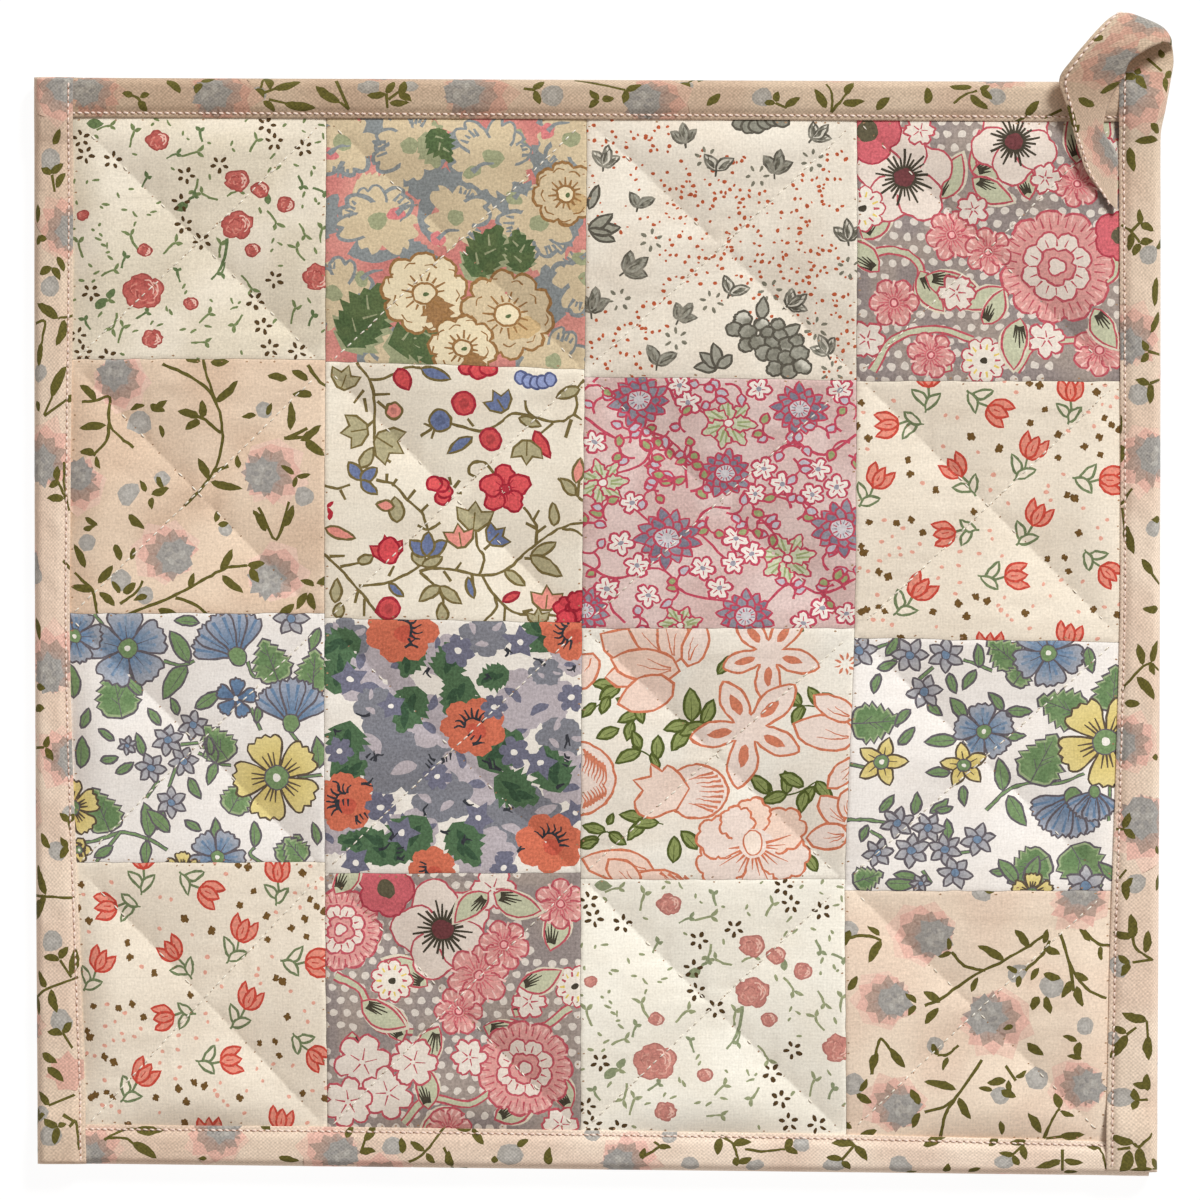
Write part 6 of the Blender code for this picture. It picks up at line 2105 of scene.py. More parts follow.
BOLD_SLATE, BOLD_MAUVE, BOLD_GREEN = (108, 108, 126), (178, 169, 174), (76, 104, 74)
BOLD_GREY = (122, 123, 131)
BOLD_DARK_GREEN, BOLD_ORANGE, BOLD_BLACK = (54, 80, 58), (201, 109, 83), (50, 52, 58)
BOLD_ROWS = (  # by kind: across, down, size, turn
    ("mauve", (20, 22, 15, 30)), ("slate", (30, 52, 19, 60)),
    ("mauve", (44, 40, 12, 0), (82, 30, 14, 70)), ("slate", (76, 78, 15, 20)), ("mauve", (62, 92, 12, 0)),
    ("slate", (92, 46, 9, 0), (62, 6, 9, 40)), ("mauve", (4, 84, 10, 0), (60, 60, 14, 40)),
    ("slate", (46, 70, 11, 80)), ("mauve", (34, 84, 10, 20), (96, 62, 12, 50)), ("slate", (8, 8, 9, 30)),
    ("mauve", (70, 44, 9, 10), (46, 14, 9, 10)), ("slate", (20, 34, 8, 10)), ("mauve", (96, 14, 8, 40)),
    ("slate", (86, 20, 6, 0)),
    ("leaf",
     (46, 24, 9, 70), (56, 30, 8, 300), (10, 40, 10, 260), (14, 8, 9, 200), (60, 58, 11, 40),
     (66, 62, 10, 330), (40, 78, 12, 230), (50, 80, 10, 300), (92, 68, 10, 110), (88, 12, 9, 120),
     (22, 92, 9, 160), (84, 98, 9, 60), (2, 62, 8, 20), (36, 8, 8, 250), (98, 90, 8, 170),
     (72, 20, 7, 200), (36, 26, 10, 250), (4, 30, 9, 80), (56, 22, 9, 240), (26, 96, 9, 130)),
    ("bloom",
     (30, 4, 8.5, 0), (88, 88, 8.0, 0), (58, 42, 7.6, 0), (8, 72, 7.6, 0), (96, 4, 7.4, 0),
     (42, 98, 5.6, 0)),
    ("floret",
     (10, 24, 4.2, 0), (52, 12, 4.4, 0), (76, 8, 4.2, 0), (74, 52, 4.4, 0), (84, 56, 4.2, 0),
     (22, 74, 4.4, 0), (30, 84, 4.2, 0), (6, 52, 3.8, 0), (60, 78, 4.0, 0), (96, 30, 4.0, 0),
     (12, 96, 4.0, 0), (66, 34, 3.6, 0), (98, 76, 3.6, 0), (44, 62, 3.8, 0), (26, 34, 3.6, 0),
     (70, 98, 3.8, 0)),
)


def bold_motif(cloth, kind, x, y, size, turn, seed):
    centre = np.array((x, y))
    if kind in ("slate", "mauve"):
        tone = BOLD_GREY if kind == "slate" else BOLD_MAUVE
        cloth.add(lobed(x, y, size * 0.56, 6, 0.2, turn, 0.09, seed, 0.85), tone)
        inner = BOLD_MAUVE if kind == "slate" else BOLD_SLATE
        for k in range(3):
            place = centre + heading(turn + 130 * k) * size * 0.22
            cloth.add(leaf(*place, size * 0.3, size * 0.13, turn + 70 * k, 0.2, 0.5), inner)
    elif kind == "leaf":
        cloth.add(jagged(x, y, size, turn, 0.34, 0.34, 15), BOLD_GREEN)
        for share, lean in ((0.16, 16), (0.34, -20), (0.5, 10)):
            side = centre + heading(turn) * size * share
            cloth.add(leaf(*side, size * 0.4, size * 0.15, turn + lean, 0.2, 0.2), BOLD_DARK_GREEN)
    elif kind == "bloom":
        cloth.add(lobed(x, y, size * 0.86, 7, 0.18, 17 * seed, 0.07, seed, 0.9), BOLD_ORANGE)
        cloth.add(blob(x + 0.6, y + 0.8, size * 0.5, size * 0.4, 0, 0.25, seed), (190, 88, 70))
        for k in range(8):
            ray = heading(190 + 22 * k + 40 * seed)
            near = centre + ray * size * 0.24
            bent = polar(near + ray * size * 0.12, 90 * seed, 0.3)
            cloth.line(BOLD_BLACK, [near, bent, near + ray * size * 0.25], 0.55, 0.26)
        arc = [centre + heading(200 + 40 * seed + 50 * k) * size * 0.24 for k in range(4)]
        cloth.line(BOLD_BLACK, arc, 0.5, 0.4)
    elif kind == "floret":
        if seed % 2:
            cloth.add(star(x, y, size * 0.86, size * 0.46, 5, 31 * seed, 0.12, seed), BOLD_SLATE)
        else:
            cloth.add(lobed(x, y, size * 0.74, 6, 0.34, 31 * seed, 0.08, seed), BOLD_SLATE)
        cloth.add(blob(x, y, size * 0.32, size * 0.28, 0, 0.1, seed), (234, 229, 221))


def print_bold(cloth):
    cloth.ground = (231, 225, 216)
    for number, kind, (across, down, size, turn) in motifs(BOLD_ROWS):
        bold_motif(cloth, kind, *cloth.at(across, down), size, turn, number)
    rng = np.random.default_rng(93)
    for k in range(30):
        place = cloth.at(*rng.uniform(3, 97, 2))
        turn, curl = rng.uniform(0, 360), rng.choice((-1, 1)) * rng.uniform(25, 70)
        long = rng.uniform(1.6, 3.0)
        middle = place + heading(turn) * long * 0.5
        end = middle + heading(turn + curl) * long * 0.5
        cloth.line(BOLD_BLACK, [place, middle, end], 0.66, 0.3)
        if k % 3:
            fork = middle + heading(turn - curl) * long * 0.4
            cloth.line(BOLD_BLACK, [place, (place + fork) / 2, fork], 0.5, 0.24)
        if k % 4 == 0:
            for j in (1, 2):
                near = place + heading(turn + 90) * 0.9 * j
                cloth.line(BOLD_BLACK, [near, polar(near, turn + curl * 0.4, 1.3)], 0.45, 0.24)


PRINTS = (  # of each patch, row by row from the top: what draws it, and its table and colours
    (
        (print_roses, (229, 220, 203), (219, 209, 189)),
        (print_faded,),
        (print_greys,),
        (print_polka, POLKA_UPPER),
    ),
    (
        (print_peach, PEACH_LEFT, (228, 206, 183), (217, 191, 167)),
        (print_vines,),
        (print_mauve,),
        (print_tulips,),
    ),
    (
        (print_garden, GARDEN_LEFT, (236, 231, 226)),
        (print_bold,),
        (print_blush,),
        (print_garden, GARDEN_RIGHT, (242, 237, 232)),
    ),
    (
        (print_tulips,),
        (print_polka, POLKA_LOWER),
        (print_roses, (244, 240, 228), (240, 235, 222), 0.3),
        (print_peach, PEACH_RIGHT, (235, 217, 197), (228, 206, 186)),
    ),
)


# ---------------------------------------------------------------- patches

CUT_GAP = 0.03  # from a patch's edge to the seam
LONG_DIP, LONG_DIP_WIDE = 0.26, 0.55  # where a patch turns down into a long seam
CROSS_DIP, CROSS_DIP_WIDE = 0.09, 0.5
ALLOWANCE_HIGH, ALLOWANCE_WIDE = 0.06, 6.5  # the cloth raised by a cross seam's allowance
HOLE_PERIOD, HOLES_SHOWN = 0.032, 0.5  # the period along quilting lines is a share of a patch
SEAM_HOLE_PERIOD, SEAM_HOLES_SHOWN = 2.4, 0.36
HOLE_BROWN, SEAM_HOLE_BROWN = (150, 116, 88), (162, 128, 98)
WEAVE_APART = (71.0, 83.0)  # from one patch's weave to the next one's


def nearest_seam(place, number):
    """How far places are from the nearer seam of their row or column, outer sides left out."""
    far = np.full(np.shape(place), 9.0)
    if number > 0:
        far = np.minimum(far, place)
    if number < PATCHES - 1:
        far = np.minimum(far, PITCH - place)
    return far


def patch_place(row, column):
    """Where a point of a patch's flat cloth goes. Its first side runs from the left seam and its
    second down from the top seam, each PITCH long between the seams."""

    def place(s, t, depth):
        u, v = np.asarray(s) / PITCH, np.asarray(t) / PITCH
        y0, y1 = cross_y(row, column, u), cross_y(row + 1, column, u)
        y = y0 + (y1 - y0) * v
        left, right = seam_x(column, y), seam_x(column + 1, y)
        x = left + (right - left) * u
        z = relief(x, y)
        z = z - LONG_DIP * np.clip(1 - nearest_seam(s, column) / LONG_DIP_WIDE, 0, 1) ** 2
        z = z - CROSS_DIP * np.clip(1 - nearest_seam(t, row) / CROSS_DIP_WIDE, 0, 1) ** 2
        # A cross seam's allowance lies under the cloth beside it.
        band = 0.0
        for is_seam, far in ((row > 0, t), (row < PATCHES - 1, PITCH - t)):
            if is_seam:
                band = band + smooth_step(far / 0.9) * smooth_step((ALLOWANCE_WIDE - far) / 1.6)
        z = z + ALLOWANCE_HIGH * band * smooth_step(np.minimum(s, PITCH - s) / 2.0)
        return np.stack((x, y, z - depth * COTTON_THICK), axis=1)

    return place


def quilting_lines(row, column, u):
    """The two quilting lines of a patch on its flat cloth, at shares u of its width."""
    lines = []
    for down in (row + u, row + 1 - u):
        _, y = from_lattice(column + u, down)
        y0, y1 = cross_y(row, column, u), cross_y(row + 1, column, u)
        lines.append(np.stack((u, (y0 - y) / (y0 - y1)), axis=1) * PITCH)
    return lines


def quilting_guides(row, column):
    """The two quilting lines of a patch on its flat cloth, with a line close by on each side."""
    guides = []
    for line, lean in zip(quilting_lines(row, column, np.linspace(0.01, 0.99, 64)), (-1, 1)):
        for aside in (-0.3, 0.0, 0.3):
            near = line + np.array((aside, aside * lean))
            guides.append(near[np.all((near > 0.4) & (near < PITCH - 0.4), axis=1)])
    return guides


def needle_holes(cloth, row, column):
    """Small dark holes that the needle left along the quilting lines and beside the seams."""
    rng = np.random.default_rng(300 + 10 * row + column)
    for line in quilting_lines(row, column, np.arange(0.03, 0.98, HOLE_PERIOD)):
        for place in line:
            if rng.uniform() < HOLES_SHOWN:
                hole = place + rng.uniform(-0.16, 0.16, 2)
                cloth.add(blob(*hole, 0.4, 0.3, 40, 0.2, 3, 6), HOLE_BROWN)
    for side in range(4):
        for step in np.arange(1.5, PITCH - 1, SEAM_HOLE_PERIOD):
            if rng.uniform() < SEAM_HOLES_SHOWN:
                run, off = step + rng.uniform(-0.5, 0.5), 0.42 + rng.uniform(0, 0.2)
                hole = ((run, off), (run, PITCH - off), (off, run), (PITCH - off, run))[side]
                cloth.add(blob(*hole, 0.5, 0.34, 10, 0.2, 5, 6), SEAM_HOLE_BROWN)


def make_patch(row, column, material):
    low, high = [CUT_GAP, CUT_GAP], [PITCH - CUT_GAP, PITCH - CUT_GAP]
    for side, number in enumerate((column, row)):
        if number == 0:
            low[side] = -UNDER_BINDING
        if number == PATCHES - 1:
            high[side] = PITCH + UNDER_BINDING
    draw, *details = PRINTS[row][column]
    cloth = Print(PITCH, PITCH)
    draw(cloth, *details)
    needle_holes(cloth, row, column)
    name = f"patch_r{row + 1}c{column + 1}"
    place, guides = patch_place(row, column), quilting_guides(row, column)
    offset = column * WEAVE_APART[0], row * WEAVE_APART[1]
    piece = make_cloth(name, cloth, low, high, place, material, guides, offset)
    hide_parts("quilted_panel")
    side = (PITCH + 2) * MM
    return piece


# ---------------------------------------------------------------- the padded back

BACK_STEPS = 150
BACK_LOWER = 0.25  # than the patches' undersides
BACK_EDGE_LOW = 1.3  # of the underside where a binding grips it
CHANNEL_DEEP, CHANNEL_REACH = 0.75, 3.2  # of the quilting, and how far from it they die away
GATHER, GATHER_NOISE = 1.2, 0.12  # of the backing: puckers against the top's, and unevenness
REST_LOW = 0.12  # of the backing over the ground where it rests
REST_HALF, REST_FADE = 0.12, 0.18  # in patches: half of the flat middle, and the fade to the channels


def underside(across, down):
    """Height of the panel's underside, with the quilting as channels that fade out where the
    panel rests on its middle."""
    x, y = from_lattice(across, down)
    channel = 0
    for place in (across - down, across + down):
        far = np.abs(place - np.round(place)) * DIAGONAL
        channel = np.maximum(channel, CHANNEL_DEEP * np.exp(-far / CHANNEL_REACH))
    middle = np.maximum(np.abs(across - PATCHES / 2), np.abs(down - PATCHES / 2))
    channel = channel * smooth_step((middle - REST_HALF) / REST_FADE)
    gather = puckers(across + 0.31, down + 0.31) * GATHER + GATHER_NOISE * noise(x, y, 9.0, 21)
    under = REST_LOW + channel + np.maximum(gather, -0.1) * smooth_step((middle - 0.1) / 0.2)
    edge = smooth_step(1 - from_edge(across, down) / 0.12)
    return np.maximum(under * (1 - edge) + BACK_EDGE_LOW * edge, 0.02)


def make_back(material):
    """The wadding and its plain backing, one filled body under the patches."""
    steps = np.linspace(-0.05, PATCHES + 0.05, BACK_STEPS + 1)
    across, down = (grid.ravel() for grid in np.meshgrid(steps, steps))
    x, y = from_lattice(across, down)
    top, under = relief(x, y) - COTTON_THICK - BACK_LOWER, underside(across, down)
    points = np.vstack((np.stack((x, y, top), axis=1), np.stack((x, y, under), axis=1)))
    count, last = BACK_STEPS + 1, BACK_STEPS
    cell = np.arange(BACK_STEPS)
    a = (cell[:, None] * count + cell[None, :]).ravel()
    b, c, d = a + count, a + count + 1, a + 1
    shift = count * count
    rim = list(range(last)) + [k * count + last for k in range(last)]
    rim += [last * count + k for k in range(last, 0, -1)] + [k * count for k in range(last, 0, -1)]
    wall = [(p, q, q + shift, p + shift) for p, q in zip(rim, rim[1:] + rim[:1])]
    face, reverse = np.stack((a, b, c, d), axis=1), np.stack((a, d, c, b), axis=1) + shift
    piece = new_piece("quilted_back", points, np.vstack((face, reverse, np.array(wall))), material)
    give_print(piece.data, "POINT", np.tile(linear(BACKING), (len(points), 1)), points)
    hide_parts("quilted_panel")
    return piece


# ---------------------------------------------------------------- bindings and loop

BINDING_HIGH, CORNER_HIGH = 5.2, 6.6
STRIP_THICK, STRIP_GRID = 0.4, 0.8
FOLD_ROUND = 1.7  # half the thickness at most, round the outer edge
PULL, PULL_WIDE = 0.62, 2.6  # how far the topstitching draws a strip down, and over what width
ROW_PULL, ROW_WIDE = 0.2, 0.45  # and further down right beside its stitches
EDGE_PULL, EDGE_WIDE = 0.3, 0.35
PUFF = 0.16
UNDER_PULL, UNDER_DRAG = 0.35, 0.5  # share of the pull and of the wrinkles that the underside gets
END_ROUND, END_RUN = 0.8, 3.2  # how far a closed end bulges, and the cloth that it takes
LOOP_STATIONS = (  # left edge x, y, z, right edge x, y, z, then thickness and bow
    (101.4, 106.3, 3.3, 111.6, 106.0, 3.2, 4.4, 0.0),
    (101.5, 109.0, 3.0, 112.1, 108.8, 3.0, 2.6, 0.0),
    (101.4, 113.5, 2.9, 112.1, 110.6, 3.0, 1.5, 0.4),
    (100.9, 116.5, 4.0, 111.8, 112.0, 4.2, 1.3, 1.4),  # curls over
    (100.2, 117.5, 6.6, 111.2, 112.8, 6.8, 1.2, 1.9),
    (98.7, 116.9, 9.0, 109.8, 112.8, 9.3, 1.2, 1.5),
    (95.6, 113.8, 10.0, 106.6, 111.4, 10.2, 1.2, 0.6),
    (91.8, 109.2, 9.9, 103.2, 109.0, 9.8, 1.2, 0.1),
    (89.5, 105.4, 9.0, 102.0, 106.0, 9.0, 1.2, 0.0),  # turns back toward the binding
    (91.0, 100.6, 7.7, 99.5, 101.8, 7.7, 1.2, 0.0),
    (92.4, 95.6, 6.6, 98.3, 96.0, 6.8, 1.2, 0.0),
    (93.7, 91.4, 6.5, 100.9, 91.4, 6.5, 1.2, 0.0),
    (95.2, 87.4, 6.4, 101.0, 86.8, 6.2, 1.2, 0.0),
    (99.3, 82.0, 5.9, 101.0, 80.4, 5.8, 1.1, 0.0),  # narrows to the point that is sewn down
)
BOW_TURN = 67.0  # the way the loop's fold bows, anticlockwise from right


class Strip:
    """A folded strip of binding cotton between a left and a right line. Stations are left x, y, z,
    right x, y, z, thickness, bow of the middle, and grip, which is 1 where the strip is stitched
    onto the panel."""

    def __init__(self, stations, closed=(False, False)):
        self.closed = closed
        line = curve(stations, steps=8)
        middle = (line[:, :3] + line[:, 3:6]) / 2
        gaps = np.linalg.norm(np.diff(middle, axis=0), axis=1)
        run = np.append(0, np.cumsum(gaps))
        self.length = run[-1]
        self.run = np.linspace(0, self.length, int(self.length / 0.5) + 1)
        line = np.stack([np.interp(self.run, run, column) for column in line.T], axis=1)
        middle = (line[:, :3] + line[:, 3:6]) / 2
        up = unit(np.cross(line[:, 3:6] - line[:, :3], np.gradient(middle, axis=0)))
        self.columns = np.hstack((line, up))

    def place(self, s, t, depth):
        """Points of the strip: s along it, t round it from its left edge across the top."""
        s, t = np.asarray(s, float), np.asarray(t, float)
        rows = np.stack([np.interp(s, self.run, column) for column in self.columns.T], axis=1)
        left, right, thick, bow = rows[:, :3], rows[:, 3:6], rows[:, 6], rows[:, 7]
        grip, up = rows[:, 8], rows[:, 9:]
        across = right - left
        width = np.linalg.norm(across, axis=1)
        across = across / width[:, None]
        onward = np.cross(up, across)

        # Over the top, round the outer edge and back underneath
        inset = STRIP_THICK * depth
        half = thick / 2 - inset * np.minimum(1, thick / 2)
        turn = np.minimum(half, FOLD_ROUND)
        flat = width - inset * grip - turn
        bend = math.pi / 2 * np.sqrt((turn**2 + half**2) / 2)
        total = 2 * (flat + bend)
        way = t / STRIP_GIRTH * total
        angle = np.clip((way - flat) / (2 * bend), 0, 1) * math.pi
        out = np.where(way < flat, way, np.where(way > flat + 2 * bend, total - way, flat))
        out = out + turn * np.sin(angle)
        high = half * np.cos(angle)
        on_top = way < total / 2
        side = np.where(on_top, 1.0, -1.0)

        # Drawn down along the stitches and turned in at its edge, a little full, and wrinkled
        drawn = PULL * (1 - smooth_step(out / PULL_WIDE))
        drawn = drawn + ROW_PULL * np.exp(-(((out - 1.0) / ROW_WIDE) ** 2))
        puff = PUFF * np.sin(math.pi * np.clip(out / width, 0, 1))
        drag = 0.11 * noise((s + t) * 0.7, (s - t) * 0.25, 2.6, 31) + 0.12 * noise(s, t, 9.0, 32)
        drag = drag * np.clip(out / 1.5, 0, 1)
        edge = EDGE_PULL * np.clip(1 - out / EDGE_WIDE, 0, 1) ** 2
        limit = np.clip(half, 0, 1)
        drawn = (drawn * grip - puff * grip) * np.where(on_top, 1, UNDER_PULL) + edge
        high = high - side * limit * drawn
        high = high + side * drag * limit * np.where(on_top, 1, UNDER_DRAG)

        # Closed and rounded past its ends, and bowed where the loop folds over
        past = np.maximum(0, np.maximum(-s, s - self.length))
        cap = np.clip(past / (thick / 2), 0, 1) * math.pi / 2
        high = high * np.cos(cap) ** 0.7
        ahead = np.where(s < 0, -1.0, 1.0) * END_ROUND * np.sin(cap)
        bowed = bow * (1 - np.clip(2 * out / width - 1, -1, 1) ** 4)
        way = heading(BOW_TURN)
        beyond = np.stack((bowed * way[0], -bowed * way[1], 0 * bowed), axis=1)
        return left + across * out[:, None] + up * high[:, None] + onward * ahead[:, None] + beyond


def along_side(seam, edge, y):
    """Inner and outer x of a side binding at height y."""
    share = (TOP_EDGE[1] - y) / (TOP_EDGE[1] - BOTTOM_EDGE[1])
    return float(seam_x(seam, y)), through(edge, share)


def station(inner, outer, heights):
    """One station of a strip that is stitched onto the panel."""
    low, high = heights
    middle = (low + high) / 2
    return (*inner, middle, *outer, middle, high - low, 0.0, 1.0)


def end_lines(row):
    """Inner and outer y of the top or bottom binding at x, as a function."""
    edge = TOP_EDGE if row == 0 else BOTTOM_EDGE
    corners = CROSS_SEAMS[row]
    level = 98 if row == 0 else -99
    xs = [float(seam_x(seam, level)) for seam in range(PATCHES + 1)]
    ys = [corners[0][0]] + [corners[k][1] for k in range(PATCHES)]

    def at(x):
        return float(np.interp(x, xs, ys)), through(edge, (x + 110) / 220)

    return at


def side_heights(y):
    """Lowest and highest z of a side binding, which is thicker where it laps another."""
    lap = smooth_step((abs(y) - 93.5) / 4.5)
    return 0.0, BINDING_HIGH + (CORNER_HIGH - BINDING_HIGH) * float(lap)


def end_heights(x):
    """Lowest and highest z of the top or bottom binding, which is thinner inside a side one."""
    lap = float(smooth_step((abs(x) - 98.5) / 3.0))
    return 1.3 * lap, BINDING_HIGH + 0.1 * lap


def binding_strips():
    """The four strips by name, each with its inner edge on its left as it runs."""
    upward = np.concatenate(((-105.8, -103, -99, -96, -92), np.linspace(-80, 80, 9), (92, 96, 99, 102)))
    right = []
    for y in upward:
        inner, outer = along_side(PATCHES, RIGHT_EDGE, y)
        flare = 0.2 * max(0.0, y - 95.5)
        right.append(station((inner, y), (outer + flare, y), side_heights(y)))
    right += [(*row, 0.5 if number == 0 else 0.0) for number, row in enumerate(LOOP_STATIONS)]
    downward = np.concatenate(
        ((105.6, 103, 99, 96, 92), np.linspace(80, -80, 9), (-92, -96, -99, -102, -104.2))
    )
    left = []
    for y in downward:
        inner, outer = along_side(0, LEFT_EDGE, y)
        left.append(station((inner, y), (outer, y), side_heights(y)))
    strips = {
        "binding_right_and_loop": Strip(right, closed=(True, False)),
        "binding_left_strip": Strip(left, closed=(True, True)),
    }
    rightward = np.concatenate(
        ((-107.2, -103, -100, -97, -90), np.linspace(-75, 75, 9), (90, 97, 100, 103, 107.2))
    )
    for name, row, way in (("binding_top_strip", 0, -1), ("binding_bottom_strip", PATCHES, 1)):
        at = end_lines(row)
        stations = []
        for x in rightward:
            inner, outer = at(way * x)
            stations.append(station((way * x, inner), (way * x, outer), end_heights(x)))
        strips[name] = Strip(stations)
    return strips


REPLACED = {
    "binding_right_and_loop": ("binding_right", "hanging_loop"),
    "binding_left_strip": ("binding_left",),
    "binding_top_strip": ("binding_top",),
    "binding_bottom_strip": ("binding_bottom",),
}


def make_strip(name, strip, number, material):
    cloth = Print(strip.length, STRIP_GIRTH)
    print_binding(cloth, name, strip, 900 + number)
    low = [-END_RUN if strip.closed[0] else 0.0, 0.0]
    high = [strip.length + (END_RUN if strip.closed[1] else 0.0), STRIP_GIRTH]
    offset = (0, 700.0 + 60 * number)
    piece = make_cloth(name, cloth, low, high, strip.place, material, (), offset, STRIP_GRID)
    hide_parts(*REPLACED[name])
    return piece


# ---------------------------------------------------------------- stitches


def threads(name, paths, ups, radii, sides, material):
    """One mesh of many short threads. paths and ups are arrays of thread, point and coordinate."""
    count, rings = paths.shape[:2]
    onward = np.gradient(paths, axis=1)
    onward /= np.linalg.norm(onward, axis=2)[:, :, None]
    aside = np.cross(onward, ups)
    aside /= np.linalg.norm(aside, axis=2)[:, :, None]
    over = np.cross(aside, onward)
    angle = np.arange(sides) * 2 * math.pi / sides
    radii = np.broadcast_to(radii, (count, rings))[:, :, None, None]
    ring = aside[:, :, None] * np.cos(angle)[:, None] + over[:, :, None] * np.sin(angle)[:, None]
    points = (paths[:, :, None] + ring * radii).reshape(-1, 3)
    first = np.arange(count)[:, None, None] * rings * sides
    ring_at = np.arange(rings - 1)[:, None] * sides
    corner = np.arange(sides)
    a = first + ring_at + corner
    b = first + ring_at + (corner + 1) % sides
    quads = np.stack((a, b, b + sides, a + sides), axis=-1).reshape(-1, 4)
    faces = np.vstack((quads[:, :3], quads[:, [0, 2, 3]]))
    fan = np.array([(0, k + 1, k) for k in range(1, sides - 1)])
    start, end = first + fan, first + (rings - 1) * sides + fan[:, ::-1]
    faces = np.vstack((faces, start.reshape(-1, 3), end.reshape(-1, 3)))
    return new_piece(name, points, faces, material)


STITCH_SHAPE = (-0.16, 0.10, 0.15, 0.10, -0.16)  # height over the cloth along one stitch
STITCH_SWELL = (0.55, 0.95, 1.0, 0.95, 0.55)
QUILT_PERIOD, QUILT_LENGTH = 1.8, 1.25
TOPSTITCH_SLANT = 0.10  # to each side of its row


def stitched(place_up, starts, ends, radius, seed):
    """Paths, up directions and radii of stitches from starts to ends, which place_up lays on the
    cloth."""
    rng = np.random.default_rng(seed)
    shares = np.linspace(0, 1, len(STITCH_SHAPE))
    flat = starts[:, None] + (ends - starts)[:, None] * shares[None, :, None]
    points, ups = place_up(flat.reshape(-1, flat.shape[2]))
    points = points.reshape(len(starts), len(shares), 3)
    ups = ups.reshape(points.shape)
    lift = np.array(STITCH_SHAPE)[None, :] + rng.uniform(-0.03, 0.03, (len(starts), 1))
    radii = np.array(STITCH_SWELL)[None, :] * radius * rng.uniform(0.88, 1.1, (len(starts), 1))
    return points + ups * lift[:, :, None], ups, radii


def quilting_runs(seed, phase, shown):
    """Starts and ends of the quilting stitches in patches across and down. On the lines that fall
    to the right only a share of the stitches shows, and the rest are drawn down into the cloth."""
    rng = np.random.default_rng(seed)
    patch = 2 * DIAGONAL
    step = QUILT_PERIOD / patch
    starts, ends = [], []
    for falls in (True, False):
        for line in range(-PATCHES + 1, PATCHES):
            begin, finish = max(0, line), PATCHES + min(0, line)
            at = begin + 0.02 + step * phase
            while at < finish - 0.02:
                a = at + rng.uniform(-0.06, 0.06) * step
                b = a + QUILT_LENGTH / patch * rng.uniform(0.9, 1.08)
                at += step
                if abs(b - round(b)) < 0.035 or abs(a - round(a)) < 0.02:
                    continue
                wobble = rng.uniform(-0.12, 0.12, 2) / PITCH
                if falls and rng.uniform() > shown:
                    continue
                for run, across, stray in ((starts, a, wobble[0]), (ends, b, wobble[1])):
                    down = across - line if falls else PATCHES - across + line
                    run.append((across + stray, down))
    return np.array(starts), np.array(ends)


def make_quilting(material):
    def face(across, down):
        return relief(*from_lattice(across, down))

    rows = (  # name, height, which way is up, seed, phase, share shown, radius, sides
        ("quilting_stitches_front", face, 1.0, 41, 0.0, 0.18, 0.15, 6),
        ("quilting_stitches_back", underside, -1.0, 43, 0.5, 1.0, 0.17, 5),
    )
    for name, height, up, seed, phase, shown, radius, sides in rows:

        def on_panel(flat, height=height, up=up):
            across, down = flat[:, 0], flat[:, 1]
            points = np.stack((*from_lattice(across, down), height(across, down)), axis=1)
            return points, np.tile((0.0, 0.0, up), (len(points), 1))

        found = stitched(on_panel, *quilting_runs(seed, phase, shown), radius, seed + 1)
        piece = threads(name, *found, sides, material)


def make_topstitch(strips, material):
    """One row of stitches along each binding's inner edge, on the face and on the underside."""
    for face, row in (("front", TOPSTITCH_IN), ("back", STRIP_GIRTH - TOPSTITCH_IN)):
        found = []
        for number, strip in enumerate(strips.values()):

            def on_strip(flat, strip=strip):
                s, t = flat[:, 0], flat[:, 1]
                return strip.place(s, t, 0), surface_normals(strip.place, s, t)

            at = np.arange(TOPSTITCH_START, strip.length - 0.6, TOPSTITCH_PERIOD)
            starts = np.stack((at, np.full(len(at), row - TOPSTITCH_SLANT)), axis=1)
            ends = np.stack((at + TOPSTITCH_LENGTH, np.full(len(at), row + TOPSTITCH_SLANT)), axis=1)
            found.append(stitched(on_strip, starts, ends, 0.2, 51 + number))
        joined = [np.concatenate(each) for each in zip(*found)]
        piece = threads("binding_topstitch_" + face, *joined, 6, material)


# ---------------------------------------------------------------- floor, light and camera


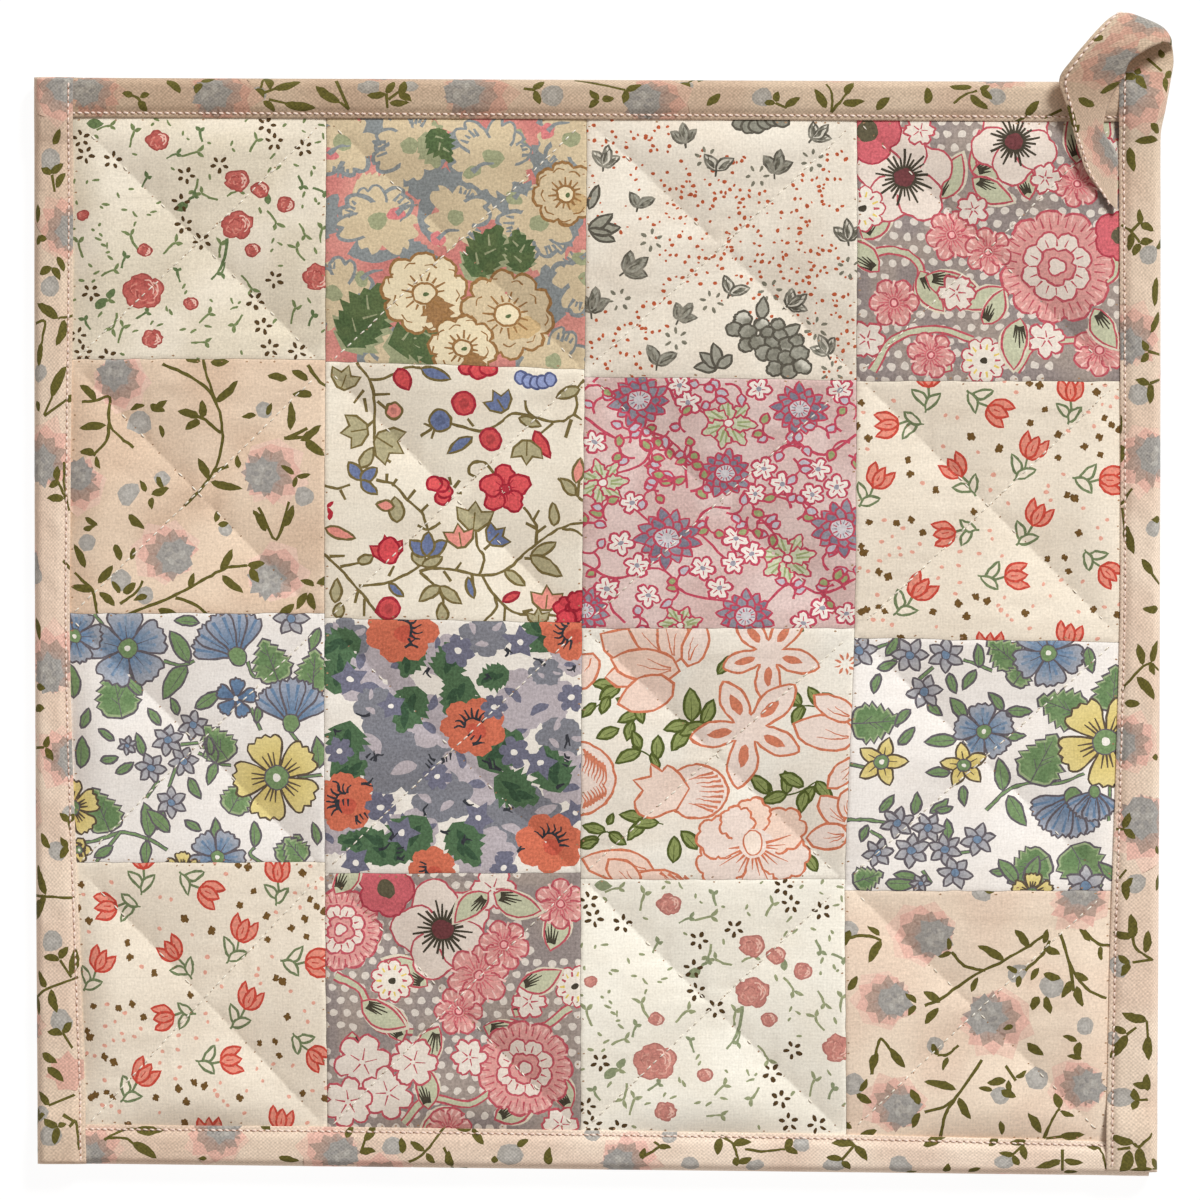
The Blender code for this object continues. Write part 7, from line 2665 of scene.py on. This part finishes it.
def make_stage():
    """White paper, a little under the object so that the two don't touch."""
    mesh = bpy.data.meshes.new("floor")
    half, low = 2.0, -0.0002
    corners = [(-half, -half, low), (half, -half, low), (half, half, low), (-half, half, low)]
    mesh.from_pydata(corners, [], [(0, 1, 2, 3)])
    floor = bpy.data.objects.new("floor", mesh)
    bpy.context.scene.collection.objects.link(floor)
    nodes = Nodes("floor_paper")
    nodes.set(nodes.shader, Base_Color=(0.1, 0.1, 0.1, 1), Roughness=0.95)
    nodes.set(nodes.shader, Emission_Color=(1.0, 1.0, 1.0, 1), Emission_Strength=0.93)
    mesh.materials.append(nodes.material)


def make_camera():
    """A long lens straight above the pot holder."""
    data = bpy.data.cameras.new("camera")
    distance, field = 1.5, 0.234
    data.lens = data.sensor_width * distance / field
    data.clip_end = 10
    camera = bpy.data.objects.new("camera", data)
    camera.location = (0.0005, 0.0047, distance)
    bpy.context.scene.collection.objects.link(camera)
    bpy.context.scene.camera = camera


def make_lights():
    """A soft key light from above and to the right of the top edge, and warm light all round."""
    key = bpy.data.lights.new("key", "AREA")
    key.shape = "DISK"
    key.size = 1.2
    key.energy = 155
    key.color = (0.95, 0.99, 1.0)
    lamp = bpy.data.objects.new("key", key)
    bearing, height, away = math.radians(33), math.radians(40), 4.0
    level = math.cos(height)
    toward = Vector((math.sin(bearing) * level, math.cos(bearing) * level, math.sin(height)))
    lamp.location = toward * away
    lamp.rotation_euler = toward.to_track_quat("Z", "Y").to_euler()
    bpy.context.scene.collection.objects.link(lamp)
    world = bpy.data.worlds.new("studio")
    world.use_nodes = True
    background = world.node_tree.nodes["Background"]
    background.inputs["Color"].default_value = (1.0, 0.88, 0.80, 1)
    background.inputs["Strength"].default_value = 0.40
    bpy.context.scene.world = world
    bpy.context.scene.view_settings.view_transform = "Standard"


def main():
    make_camera()
    make_lights()
    make_stage()
    lawn = cotton("printed_cotton")
    for row in range(PATCHES):
        for column in range(PATCHES):
            make_patch(row, column, lawn)
    make_back(cotton("plain_cotton"))
    bias = cotton("binding_cotton_print", turn=45, slub=1.4, hatch=0.15)
    strips = binding_strips()
    for number, (name, strip) in enumerate(strips.items()):
        make_strip(name, strip, number, bias)
    white = thread_material("quilting_thread", (246, 242, 232), (214, 204, 186))
    pale = thread_material("topstitch_thread", (246, 230, 219), (222, 192, 178))
    make_quilting(white)
    make_topstitch(strips, pale)


main()
